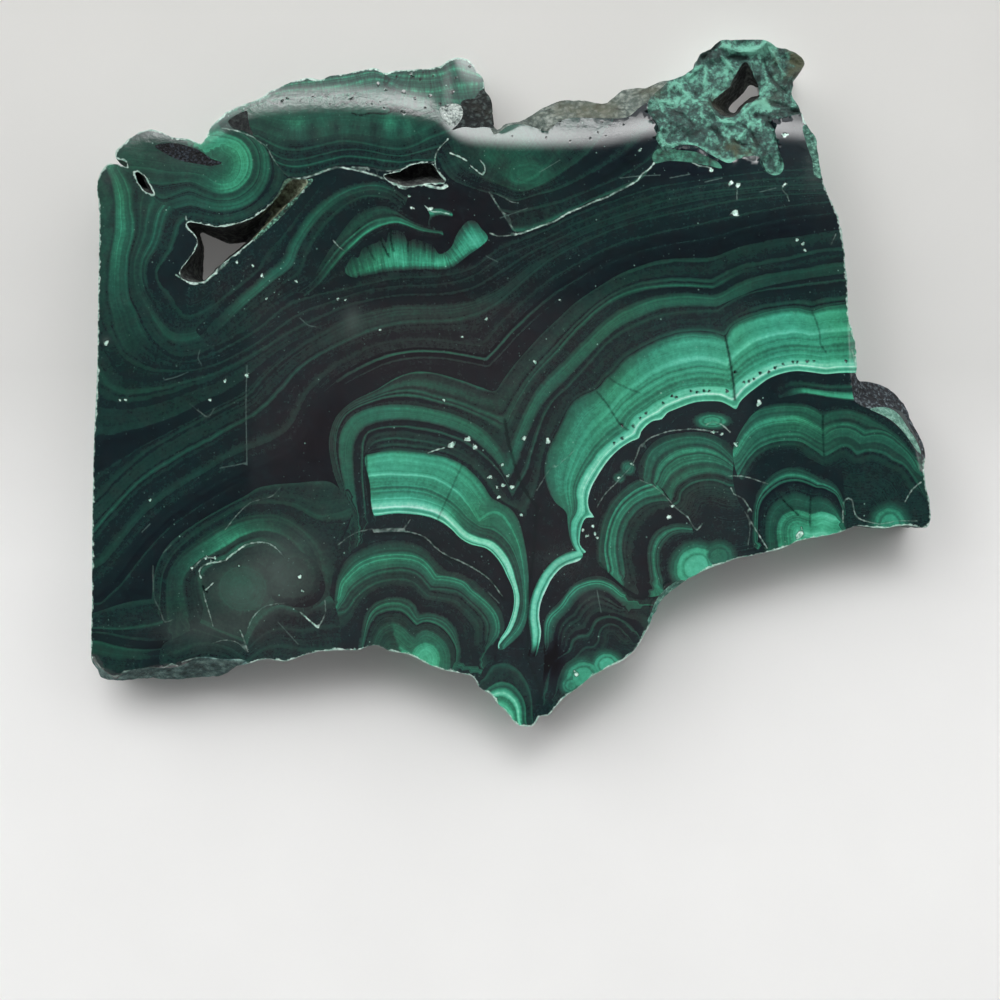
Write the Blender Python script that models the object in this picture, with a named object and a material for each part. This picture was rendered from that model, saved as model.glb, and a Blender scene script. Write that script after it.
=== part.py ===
"""A polished malachite slab: one piece of banded stone, lying on its sawn back. The face is ground
flat and polished, and rolls over a rounded shoulder to the natural skin along the far edge. A rough
crystalline crust caps the far right corner. Two gaps go right through, and two clefts go part way.

Positions on the slab are plan points: (right, down) in the 1000 unit square of a picture that looks
straight down on the face from VIEW_HEIGHT. They are turned into real sizes by SLAB_WIDTH."""

import math

import bmesh
import bpy
from mathutils import Vector, noise

# Driving dimensions, in metres
SLAB_WIDTH = 0.1256
THICKNESS = 0.009
VIEW_HEIGHT = 0.170

# The plan's own size and centre, in plan units
PLAN_SPAN = 838.0
PLAN_CENTRE = (500.0, 500.0)
UNIT = SLAB_WIDTH / PLAN_SPAN

# Heights and depths, in metres
SHOULDER_REACH = 0.008
SHOULDER_SLOPE = 0.9
DEEPEST_SHOULDER = 0.0055
DEEPEST_CRUST_SHOULDER = 0.0016
CRUST_DEPTH = 0.0007
CRUST_LUMP = 0.0007
CRUST_LUMP_SIZE = 0.0026
SIDE_ROUGHNESS = 0.00035
SIDE_LUMP_SIZE = 0.003
CUT_PAST = 0.001

# Mesh spacing, in metres
CELL = 0.003
CRUST_CELL = 0.0011
SIDE_ROWS = 3

MALACHITE_GREEN = (0.02, 0.16, 0.09, 1.0)
POLISH_ROUGHNESS = 0.12

# The outline, clockwise from the near left corner
SAWN_LEFT_EDGE = [(92, 660), (92, 600), (92, 545), (94, 440), (97, 370), (99, 300), (100, 204)]
LEFT_LOBES = [
    (97, 191), (98, 181), (102, 171), (108, 164), (118, 165), (127, 167), (127, 163), (116, 158),
    (116, 151), (123, 144), (135, 135), (148, 130), (158, 131), (172, 137), (190, 139), (201, 143),
    (207, 136), (212, 126), (218, 120),
]
UPPER_BLOCK = [
    (227, 112), (240, 106), (260, 98), (271, 91), (285, 85), (297, 80), (310, 78), (320, 80),
    (330, 76), (350, 73), (370, 68), (378, 69), (383, 73), (400, 70), (425, 69), (440, 66),
    (455, 58), (470, 61), (476, 70), (482, 77), (485, 90), (490, 98), (493, 110), (491, 117),
    (495, 128),
]
SKIN_EDGE = [
    (500, 129), (506, 124), (520, 122), (532, 115), (546, 107), (562, 101), (585, 101), (604, 104),
    (612, 99), (621, 91), (636, 88), (645, 88), (660, 82), (674, 79), (690, 71), (697, 63),
]
CRUST_EDGE = [
    (700, 54), (710, 49), (720, 41), (740, 40), (766, 40), (779, 48), (790, 50), (801, 57),
    (805, 64), (799, 71), (793, 76), (793, 86), (791, 93), (797, 104), (802, 114), (808, 127),
    (816, 138),
]
BROKEN_RIGHT_EDGE = [
    (818, 152), (822, 176), (829, 197), (840, 223), (844, 250), (847, 280), (849, 318), (853, 334),
    (857, 358), (858, 380),
]
RIGHT_LOBE = [
    (870, 382), (883, 386), (896, 395), (905, 406), (912, 423), (921, 440), (925, 455), (924, 465),
    (926, 485), (930, 505), (928, 526),
]
NEAR_RIGHT_EDGE = [
    (905, 525), (882, 528), (857, 526), (838, 533), (816, 537), (798, 541), (779, 549), (758, 554),
    (736, 559), (718, 565), (701, 572), (683, 582), (673, 590), (661, 601), (653, 616), (645, 633),
    (635, 649), (623, 660), (606, 668), (590, 678), (576, 689), (562, 699), (554, 709), (548, 715),
]
NEAR_POINT = [(539, 717), (534, 725), (525, 727), (515, 722), (507, 712), (497, 702), (491, 694)]
NEAR_LEFT_EDGE = [
    (481, 689), (472, 676), (454, 672), (438, 668), (424, 662), (410, 655), (390, 651), (376, 645),
    (359, 649), (340, 650), (320, 651), (303, 655), (286, 661), (266, 659), (246, 664), (234, 667),
    (222, 675), (200, 677), (180, 679), (150, 678), (118, 680), (102, 678), (96, 668),
]
OUTLINE = (
    SAWN_LEFT_EDGE + LEFT_LOBES + UPPER_BLOCK + SKIN_EDGE + CRUST_EDGE + BROKEN_RIGHT_EDGE
    + RIGHT_LOBE + NEAR_RIGHT_EDGE + NEAR_POINT + NEAR_LEFT_EDGE
)

# Where the polished face starts to roll over, from left to right
SHOULDER_CREST = [
    (60, 150), (115, 152), (150, 144), (196, 150), (222, 136), (250, 120), (300, 114), (400, 117),
    (436, 127), (460, 146), (500, 152), (600, 151), (636, 145), (665, 140), (775, 142), (860, 150),
]

# The crust's border, clockwise from its left end
CRUST = [
    (668, 84), (700, 50), (760, 30), (815, 40), (810, 74), (796, 92), (803, 112), (773, 118),
    (783, 138), (784, 165), (772, 174), (760, 158), (742, 160), (728, 163), (700, 148), (668, 151),
    (658, 138), (650, 114), (668, 100),
]

# Worn and natural rims that slope away outside the polished face: drop per distance out, the line
# where the slope starts, and plan points that close its area well outside the stone
RIMS = {
    "natural_skin": (
        0.45,
        [(497, 134), (530, 122), (556, 117), (600, 117), (636, 110), (650, 101), (672, 82)],
        [(690, 40), (500, 60)],
    ),
    "right_shelf": (
        1.0,
        [(846, 262), (849, 330), (852, 384), (855, 401), (873, 410), (893, 420), (907, 434),
         (917, 450), (922, 472)],
        [(960, 472), (960, 262)],
    ),
    "near_left_chips": (
        1.6,
        [(94, 655), (104, 669), (116, 676), (130, 670), (152, 667), (178, 664), (200, 658),
         (240, 661)],
        [(250, 720), (60, 720), (60, 655)],
    ),
    "near_right_chip": (1.6, [(680, 580), (668, 585), (655, 600), (650, 614)], [(700, 640), (710, 590)]),
}

# Gaps in the face. The mouth is on the polished face and the floor lies at the given depth; both are
# plan points as seen from above, and each floor point lies below the mouth point of the same place.
GAPS = {
    "corner_gap": (
        THICKNESS + CUT_PAST,
        [(187, 223), (222, 227), (254, 217), (276, 199), (290, 181), (308, 181), (280, 212),
         (246, 245), (222, 264), (202, 282), (180, 276), (198, 242)],
        [(201, 233), (215, 238), (230, 244), (240, 243), (246, 243), (247, 244), (240, 248),
         (234, 253), (220, 266), (204, 281), (203, 268), (204, 248)],
    ),
    "crust_gap": (
        THICKNESS + CUT_PAST,
        [(745, 62), (754, 76), (759, 97), (745, 105), (735, 116), (725, 117), (712, 103), (728, 88)],
        [(747, 91), (753, 94), (758, 98), (745, 105), (735, 114), (731, 118), (725, 115), (738, 101)],
    ),
    "left_cleft": (
        0.004,
        [(135, 172), (141, 173), (149, 184), (153, 194), (146, 192), (138, 182)],
        [(140, 177), (143, 178), (147, 185), (150, 191), (147, 190), (142, 183)],
    ),
    "upper_cleft": (
        0.003,
        [(384, 176), (400, 171), (418, 163), (433, 165), (438, 173), (445, 182), (428, 183),
         (404, 186)],
        [(396, 178), (405, 174), (420, 168), (430, 169), (434, 174), (437, 179), (426, 180),
         (408, 182)],
    ),
}


def plan_to_metres(point, depth=0.0):
    """Where a plan point really is, for something that lies this far below the polished face."""
    spread = UNIT * (1 + depth / VIEW_HEIGHT)
    return Vector(((point[0] - PLAN_CENTRE[0]) * spread, (PLAN_CENTRE[1] - point[1]) * spread))


def metres_to_plan(x, y):
    return PLAN_CENTRE[0] + x / UNIT, PLAN_CENTRE[1] - y / UNIT


def inside(point, border):
    """Whether a plan point lies in a closed border."""
    x, y = point
    found = False
    for (ax, ay), (bx, by) in zip(border, border[1:] + border[:1]):
        if (ay > y) != (by > y) and x < ax + (y - ay) * (bx - ax) / (by - ay):
            found = not found
    return found


def distance(point, line):
    """From a plan point to the nearest stretch of an open line, in metres."""
    place = Vector(point)
    nearest = math.inf
    for start, end in zip(line, line[1:]):
        along = Vector(end) - Vector(start)
        share = (place - Vector(start)).dot(along) / along.length_squared
        nearest = min(nearest, (place - Vector(start) - along * min(1, max(0, share))).length)
    return nearest * UNIT


def height_on(line, right):
    """The second coordinate of a left-to-right line, at this first coordinate."""
    for (ax, ay), (bx, by) in zip(line, line[1:]):
        if ax <= right <= bx:
            return ay + (by - ay) * (right - ax) / (bx - ax)
    return line[0][1] if right < line[0][0] else line[-1][1]


def lumps(point, size, amount):
    """Rounded random lumps of about this size, from 0 to amount deep."""
    place = Vector((point[0] * UNIT / size, point[1] * UNIT / size, 0.5))
    return amount * (0.5 + 0.5 * noise.noise(place))


def shoulder_drop(point):
    """The hyperbola on which the polished face rolls over, beyond its crest."""
    beyond = (height_on(SHOULDER_CREST, point[0]) - point[1]) * UNIT
    if beyond <= 0:
        return 0.0
    drop = SHOULDER_SLOPE * SHOULDER_REACH * (math.hypot(1, beyond / SHOULDER_REACH) - 1)
    deepest = DEEPEST_CRUST_SHOULDER if inside(point, CRUST) else DEEPEST_SHOULDER
    return deepest * (1 - math.exp(-drop / deepest))


def rim_drop(point):
    """The slopes of the rims that a plan point lies on."""
    drop = 0.0
    for slope, line, closing in RIMS.values():
        if inside(point, line + closing):
            drop += slope * distance(point, line)
    return drop


def drop_of(point):
    """How far the upper surface lies below the polished face, at a plan point."""
    drop = shoulder_drop(point) + rim_drop(point)
    if inside(point, CRUST):
        drop += CRUST_DEPTH + lumps(point, CRUST_LUMP_SIZE, CRUST_LUMP)
    return min(drop, 0.7 * THICKNESS)


def collection(name):
    made = bpy.data.collections.new(name)
    bpy.context.scene.collection.children.link(made)
    return made


def blank(parts):
    """The slab's outline as a flat plate of full thickness."""
    curve = bpy.data.curves.new("outline", "CURVE")
    curve.dimensions = "2D"
    curve.fill_mode = "BOTH"
    curve.extrude = THICKNESS / 2
    spline = curve.splines.new("POLY")
    spline.points.add(len(OUTLINE) - 1)
    for made, point in zip(spline.points, OUTLINE):
        made.co = (*plan_to_metres(point), 0, 1)
    spline.use_cyclic_u = True
    outline = bpy.data.objects.new("outline", curve)
    parts.objects.link(outline)
    outline.location.z = THICKNESS / 2
    bpy.context.view_layer.update()
    graph = bpy.context.evaluated_depsgraph_get()
    mesh = bpy.data.meshes.new_from_object(outline.evaluated_get(graph))
    mesh.transform(outline.matrix_world)
    bpy.data.objects.remove(outline)
    welded = bmesh.new()
    welded.from_mesh(mesh)
    bmesh.ops.remove_doubles(welded, verts=welded.verts, dist=1e-6)
    welded.to_mesh(mesh)
    welded.free()
    slab = bpy.data.objects.new("malachite_slab", mesh)
    parts.objects.link(slab)
    return slab


def gap_cutter(name, depth, mouth, floor, cutters):
    """A loft from just above the mouth to the floor of a gap."""
    body = bmesh.new()
    rings = []
    for points, seen_depth, height in (
        (mouth, 0.0, THICKNESS + CUT_PAST),
        (mouth, 0.0, THICKNESS - CUT_PAST / 2),
        (floor, min(depth, THICKNESS), THICKNESS - depth),
    ):
        rings.append([body.verts.new((*plan_to_metres(p, seen_depth), height)) for p in points])
    body.faces.new(rings[0])
    body.faces.new(rings[-1])
    for upper, lower in zip(rings, rings[1:]):
        for i in range(len(upper)):
            body.faces.new((upper[i - 1], upper[i], lower[i], lower[i - 1]))
    bmesh.ops.recalc_face_normals(body, faces=body.faces)
    mesh = bpy.data.meshes.new(name)
    body.to_mesh(mesh)
    body.free()
    cutter = bpy.data.objects.new(name, mesh)
    cutters.objects.link(cutter)
    cutter.hide_render = True
    cutter.display_type = "WIRE"
    return cutter


def cut_gaps(slab, cutters):
    """Cuts every gap and keeps the result as the slab's own mesh."""
    for name, (depth, mouth, floor) in GAPS.items():
        cut = slab.modifiers.new(name, "BOOLEAN")
        cut.operation = "DIFFERENCE"
        cut.object = gap_cutter(name, depth, mouth, floor, cutters)
    bpy.context.view_layer.update()
    graph = bpy.context.evaluated_depsgraph_get()
    slab.data = bpy.data.meshes.new_from_object(slab.evaluated_get(graph))
    slab.modifiers.clear()


def slice_grid(body, faces_of, spacing, axis, low, high):
    """Cuts the chosen faces along planes square to one axis, a spacing apart."""
    normal = Vector((0, 0, 0))
    normal[axis] = 1
    for step in range(math.ceil(low / spacing), math.floor(high / spacing) + 1):
        faces = faces_of(body)
        edges = {edge for face in faces for edge in face.edges}
        points = {vert for face in faces for vert in face.verts}
        bmesh.ops.bisect_plane(
            body,
            geom=[*points, *edges, *faces],
            plane_co=normal * step * spacing,
            plane_no=normal,
            dist=1e-6,
        )


def crust_top(body):
    """The upper faces over the crust."""
    return [
        face
        for face in body.faces
        if face.normal.z > 0.9
        and inside(metres_to_plan(*face.calc_center_median().xy), CRUST)
    ]


def settle(body):
    """Gives the plate its real upper surface and its rough sides."""
    for vert in body.verts:
        point = metres_to_plan(vert.co.x, vert.co.y)
        share = vert.co.z / THICKNESS
        drop = drop_of(point)
        on_side = 0.05 < share < 0.95
        vert.co.x *= 1 + drop / VIEW_HEIGHT
        vert.co.y *= 1 + drop / VIEW_HEIGHT
        vert.co.z = share * (THICKNESS - drop)
        if on_side:
            push = noise.noise_vector(vert.co / SIDE_LUMP_SIZE)
            vert.co.x += SIDE_ROUGHNESS * push.x
            vert.co.y += SIDE_ROUGHNESS * push.y


def centre_on_box(body):
    """Moves the middle of the slab's box to the axis, so that it rests on the origin."""
    for axis in (0, 1):
        values = [vert.co[axis] for vert in body.verts]
        middle = (min(values) + max(values)) / 2
        for vert in body.verts:
            vert.co[axis] -= middle


def shape_surface(slab):
    """Divides the plate finely enough to follow the stone's surface, then shapes it."""
    body = bmesh.new()
    body.from_mesh(slab.data)
    reach = PLAN_SPAN * UNIT
    for axis in (0, 1):
        slice_grid(body, lambda b: b.faces[:], CELL, axis, -reach, reach)
    slice_grid(body, lambda b: b.faces[:], THICKNESS / SIDE_ROWS, 2, 0.001, THICKNESS - 0.001)
    crust = [plan_to_metres(point) for point in CRUST]
    for axis in (0, 1):
        values = [point[axis] for point in crust]
        slice_grid(body, crust_top, CRUST_CELL, axis, min(values), max(values))
    back = [edge for edge in body.edges if all(abs(vert.co.z) < 1e-7 for vert in edge.verts)]
    points = {vert for edge in back for vert in edge.verts}
    bmesh.ops.dissolve_limit(body, angle_limit=math.radians(1), verts=[*points], edges=back)
    settle(body)
    centre_on_box(body)
    bmesh.ops.triangulate(body, faces=body.faces)
    bmesh.ops.recalc_face_normals(body, faces=body.faces)
    body.to_mesh(slab.data)
    body.free()


def polished_malachite():
    material = bpy.data.materials.new("malachite")
    material.use_nodes = True
    shader = material.node_tree.nodes["Principled BSDF"]
    shader.inputs["Base Color"].default_value = MALACHITE_GREEN
    shader.inputs["Roughness"].default_value = POLISH_ROUGHNESS
    shader.inputs["Metallic"].default_value = 0.0
    return material


def main():
    for old in list(bpy.data.objects):
        bpy.data.objects.remove(old)
    parts = collection("malachite_slab")
    cutters = collection("cutters")
    slab = blank(parts)
    cut_gaps(slab, cutters)
    shape_surface(slab)
    slab.data.materials.clear()
    slab.data.materials.append(polished_malachite())
    slab.data.shade_smooth()
    slab.data.set_sharp_from_angle(angle=math.radians(35))


main()
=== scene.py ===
"""A polished malachite slab, photographed from straight above on a pale table. The stone is one body:
a flat polished face with growth layers, a rounded shoulder, natural skin, a rough crust, two gaps that
go through and two clefts that don't.

Positions on the stone are plan points: (right, down) in the 1000 unit square that the camera sees on
the face. The growth layers are drawn as fronts, in the order in which they grew."""

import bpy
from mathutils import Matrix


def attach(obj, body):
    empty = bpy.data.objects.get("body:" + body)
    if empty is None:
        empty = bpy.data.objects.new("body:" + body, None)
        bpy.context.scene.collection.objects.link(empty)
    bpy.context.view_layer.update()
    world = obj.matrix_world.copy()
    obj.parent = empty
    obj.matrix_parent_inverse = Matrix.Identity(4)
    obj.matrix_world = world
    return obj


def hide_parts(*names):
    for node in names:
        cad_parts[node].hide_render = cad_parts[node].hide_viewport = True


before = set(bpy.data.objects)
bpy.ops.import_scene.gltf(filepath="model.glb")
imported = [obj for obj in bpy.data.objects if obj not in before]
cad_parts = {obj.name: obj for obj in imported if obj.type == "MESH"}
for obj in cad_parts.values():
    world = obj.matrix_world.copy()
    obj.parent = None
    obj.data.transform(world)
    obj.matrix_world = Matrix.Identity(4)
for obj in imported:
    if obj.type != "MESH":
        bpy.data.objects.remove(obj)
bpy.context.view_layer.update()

import math
import random

import bpy
import numpy as np
from mathutils import Vector, kdtree, noise
from mathutils.geometry import delaunay_2d_cdt

random.seed(7)
noise.seed_set(7)

# Sizes of the slab, in metres, the same as the solid's
SLAB_WIDTH = 0.1256
THICKNESS = 0.009
VIEW_HEIGHT = 0.170
# The slab's width in plan units, and the length of one unit
PLAN_SPAN = 838.0
UNIT = SLAB_WIDTH / PLAN_SPAN
PLAN_CENTRE = np.array([500.0, 500.0])
BOX_MIDDLE = np.array([0.001457, 0.018255])
DEEPEST_DROP = 0.7 * THICKNESS

# The camera stands over the middle of the plan square, which fills its picture
VIEW_AXIS = -BOX_MIDDLE
PLAN_SIDE = 1000
SENSOR_WIDTH = 36.0

# The rounded shoulder, the crust and the rims, in metres
SHOULDER_REACH = 0.008
SHOULDER_SLOPE = 0.9
DEEPEST_SHOULDER = 0.0068
DEEPEST_CRUST_SHOULDER = 0.0016
CRUST_DEPTH = 0.0007
CRUST_LUMP = 0.0008
RIDGE_HEIGHT = 0.0005
SKIN_LUMP = 0.00035
SIDE_LUMP = 0.0003
CHIP_DEPTH = 0.00012

# Random lumps: their size in metres, their share of the height and their seed
CRUST_LUMPS = [(0.0046, 1.0, 0.5), (0.0012, 0.45, 4.5)]
CRUST_BUMPS = [(0.0022, 0.8, 8.5)]
SKIN_LUMPS = [(0.0021, 1.0, 2.5), (0.0008, 0.5, 6.5)]
FINE_WALL_LUMP = 0.0016
COARSE_WALL_LUMP = 0.004

# How far a broken edge strays and the size of its bays, in plan units
OUTLINE_ROUGHNESS = (0.9, 7.0)
GAP_ROUGHNESS = (0.8, 5.0)
# The straight sawn edge: left of the first number, between the other two
SAWN_EDGE = (101, 215, 655)

# How worn each kind of surface is, from polished to broken
FACE_WEAR = 0.0
BACK_WEAR = 0.6
WALL_WEAR = 0.9
SIDE_WEAR = 1.0

# Spacing of the mesh, in plan units
FACE_SPACING = 3.3
CRUST_SPACING = 2.0
BACK_SPACING = 7.0
LINE_SPACING = 3.2
EDGE_SPACING = 3.0
PATCH_SPACING = 2.6
GAP_SPACING = 2.5
CLEFT_SPACING = 4.0
CREST_SPACING = 6.0
# Lines keep this far from the rims, and loose points this share of their spacing from other points
LINE_CLEARANCE = 1.2
POINT_CLEARANCE = 0.62
SHARP_ANGLE = math.radians(38)
SIDE_ROWS = 7
WALL_ROWS = 6
# Beyond this distance a mark doesn't show
MARK_REACH = 15
FAR = 50.0
# The front along which the sweep's place is measured, the middle one in the other layers
SWEEP_GUIDE = 4

# The outline, clockwise from the near left corner
SAWN_LEFT_EDGE = [(92, 660), (92, 600), (92, 545), (94, 440), (97, 370), (98, 300), (99, 240), (99, 204)]
LEFT_LOBES = [
    (97, 191), (98, 181), (102, 171), (108, 164), (118, 165), (127, 167), (127, 163), (116, 158),
    (116, 151), (123, 144), (135, 135), (148, 130), (158, 131), (172, 137), (190, 139), (201, 143),
    (207, 136), (212, 126), (218, 120),
]
UPPER_BLOCK = [
    (227, 112), (240, 106), (260, 98), (271, 91), (285, 85), (297, 80), (310, 78), (320, 80), (330, 76),
    (350, 73), (370, 68), (378, 69), (383, 73), (400, 70), (425, 69), (440, 66), (455, 58), (470, 61),
    (476, 70), (482, 77), (485, 90), (490, 98), (493, 110), (491, 117), (495, 128),
]
SKIN_EDGE = [
    (500, 129), (506, 124), (520, 122), (532, 115), (546, 107), (562, 101), (585, 101), (604, 104),
    (612, 99), (621, 91), (636, 88), (645, 88), (660, 82), (674, 79), (690, 71), (697, 63),
]
CRUST_EDGE = [
    (700, 54), (710, 49), (720, 41), (740, 40), (766, 40), (779, 48), (790, 50), (801, 57), (805, 64),
    (799, 71), (793, 76), (793, 86), (791, 93), (797, 104), (802, 114), (808, 127), (816, 138),
]
BROKEN_RIGHT_EDGE = [
    (818, 152), (822, 176), (829, 197), (840, 223), (844, 250), (847, 280), (849, 318), (853, 334),
    (857, 358), (858, 380),
]
RIGHT_LOBE = [
    (870, 382), (883, 386), (896, 395), (905, 406), (912, 423), (921, 440), (925, 455), (924, 465),
    (926, 485), (930, 505), (928, 526),
]
NEAR_RIGHT_EDGE = [
    (905, 525), (882, 528), (857, 526), (838, 533), (816, 537), (798, 541), (779, 549), (758, 554),
    (736, 559), (718, 565), (701, 572), (683, 582), (673, 590), (661, 601), (653, 616), (645, 633),
    (635, 649), (623, 660), (606, 668), (590, 678), (576, 689), (562, 699), (554, 709), (548, 715),
]
NEAR_POINT = [(539, 717), (534, 725), (525, 727), (515, 722), (507, 712), (497, 702), (491, 694)]
NEAR_LEFT_EDGE = [
    (481, 689), (472, 676), (454, 672), (438, 668), (424, 662), (410, 655), (390, 651), (376, 645),
    (359, 649), (340, 650), (320, 651), (303, 655), (286, 661), (266, 659), (246, 664), (234, 667),
    (222, 675), (200, 677), (180, 679), (150, 678), (118, 680), (102, 678), (96, 668),
]
OUTLINE = (
    SAWN_LEFT_EDGE + LEFT_LOBES + UPPER_BLOCK + SKIN_EDGE + CRUST_EDGE + BROKEN_RIGHT_EDGE
    + RIGHT_LOBE + NEAR_RIGHT_EDGE + NEAR_POINT + NEAR_LEFT_EDGE
)

# Where the polished face starts to roll over, from left to right
SHOULDER_CREST = [
    (60, 150), (115, 152), (150, 144), (196, 150), (222, 136), (250, 121), (300, 115), (400, 118),
    (436, 127), (460, 146), (500, 152), (600, 151), (636, 145), (665, 140), (775, 142), (860, 150),
]

# Rims that slope away outside the polished face: drop per distance out, the line where the slope
# starts, and plan points that close its area well outside the stone
RIMS = {
    "natural_skin": (
        0.45,
        [(497, 134), (530, 122), (556, 117), (600, 117), (636, 110), (650, 101), (672, 82)],
        [(690, 40), (500, 60)],
    ),
    "right_shelf": (
        1.0,
        [(846, 262), (849, 330), (852, 384), (855, 401), (873, 410), (893, 420), (907, 434), (917, 450),
         (922, 472)],
        [(960, 472), (960, 262)],
    ),
    "near_left_chips": (
        1.6,
        [(94, 655), (104, 669), (116, 676), (130, 670), (152, 667), (178, 664), (200, 658), (240, 661)],
        [(250, 720), (60, 720), (60, 655)],
    ),
    "near_right_chip": (1.6, [(680, 580), (668, 585), (655, 600), (650, 614)], [(700, 640), (710, 590)]),
}

# Gaps in the face: depth in metres, then the mouth on the polished face and the floor below it, both
# as plan points seen from above
GAPS = {
    "corner_gap": (
        THICKNESS,
        [(187, 223), (222, 227), (254, 217), (276, 199), (290, 181), (308, 181), (280, 212),
         (246, 245), (222, 264), (202, 282), (180, 276), (198, 242)],
        [(201, 233), (215, 238), (230, 244), (240, 243), (246, 243), (247, 244), (240, 248),
         (234, 253), (220, 266), (204, 281), (203, 268), (204, 248)],
    ),
    "crust_gap": (
        THICKNESS,
        [(745, 62), (754, 76), (759, 97), (745, 105), (735, 116), (725, 117), (712, 103), (728, 88)],
        [(747, 91), (753, 94), (758, 98), (745, 105), (735, 114), (731, 118), (725, 115), (738, 101)],
    ),
    "left_cleft": (
        0.004,
        [(135, 172), (141, 173), (149, 184), (153, 194), (146, 192), (138, 182)],
        [(140, 177), (143, 178), (147, 185), (150, 191), (147, 190), (142, 183)],
    ),
    "upper_cleft": (
        0.003,
        [(384, 176), (400, 171), (418, 163), (433, 165), (438, 173), (445, 182), (428, 183),
         (404, 186)],
        [(396, 178), (405, 174), (420, 168), (430, 169), (434, 174), (437, 179), (426, 180),
         (408, 182)],
    ),
}

# The sloping arm of the corner gap, where its wall catches light and is painted lighter than the other gap
# walls as painted light
LIT_GAP_SLOPE = [(262, 206), (278, 186), (284, 172), (322, 170), (306, 200), (272, 234), (252, 250), (244, 238)]

# Areas that aren't banded stone, as borders that may run on outside the outline
PATCHES = {
    "skin": [
        (494, 134), (508, 126), (520, 124), (533, 127), (547, 131), (558, 122), (570, 118), (598, 118),
        (627, 117), (640, 107), (648, 102), (660, 95), (674, 78), (690, 30), (494, 50),
    ],
    "violet_crystals": [
        (155, 146), (172, 143), (190, 147), (202, 152), (210, 158), (222, 163), (212, 166), (198, 164),
        (182, 161), (168, 155),
    ],
    "brown_pocket": [
        (228, 121), (233, 117), (240, 113), (247, 111), (248, 118), (250, 127), (253, 135), (244, 131),
        (233, 128),
    ],
    "dark_chip": [
        (462, 101), (468, 99), (475, 98), (480, 91), (486, 88), (500, 92), (500, 112), (499, 124),
        (493, 128), (484, 127), (474, 128), (464, 127), (452, 130), (458, 124), (462, 117), (460, 110),
    ],
    "pitted_white": [
        (440, 108), (450, 104), (460, 105), (463, 113), (460, 121), (452, 127), (445, 122), (441, 115),
    ],
    "dark_shelf": [
        (852, 376), (852, 384), (855, 401), (873, 409), (890, 408), (903, 413), (910, 426), (920, 444),
        (924, 458), (950, 450), (900, 370),
    ],
    "light_shelf": [
        (870, 409), (884, 407), (893, 410), (900, 416), (908, 428), (917, 442), (921, 454), (918, 452),
        (908, 438), (898, 426), (888, 418), (878, 413),
    ],
    "light_strip": [
        (656, 150), (664, 148), (678, 150), (696, 152), (708, 157), (719, 163), (722, 168), (705, 165),
        (688, 162), (668, 161), (655, 163), (652, 158),
    ],
    "gap_rim": [
        (313, 179), (303, 181), (295, 188), (287, 198), (277, 207), (268, 218), (259, 227), (250, 238),
        (255, 240), (266, 231), (277, 221), (287, 211), (296, 201), (303, 191), (311, 184),
    ],
    "gap_moss": [
        (285, 180), (292, 178), (300, 180), (294, 188), (285, 198), (276, 208), (268, 214), (262, 214),
        (272, 202), (280, 190),
    ],
    "crust": [
        (669, 80), (649, 100), (648, 112), (658, 126), (656, 138), (660, 146), (665, 151), (680, 145),
        (697, 146), (706, 152), (717, 158), (729, 163), (738, 159), (757, 156), (763, 163), (766, 171),
        (772, 175), (780, 174), (784, 166), (778, 148), (775, 131), (771, 121), (781, 118), (794, 115),
        (806, 112), (830, 60), (790, 20), (700, 20),
    ],
    "rough_strip": [
        (803, 126), (810, 124), (822, 140), (826, 160), (822, 178), (815, 176), (812, 160), (806, 142),
    ],
    "near_left_break": [
        (85, 650), (97, 666), (106, 672), (116, 679), (125, 672), (145, 668), (177, 667), (202, 657),
        (222, 659), (247, 662), (250, 700), (80, 700),
    ],
    "near_right_break": [
        (682, 580), (669, 586), (657, 599), (651, 613), (648, 622), (670, 630), (700, 590),
    ],
}

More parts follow.
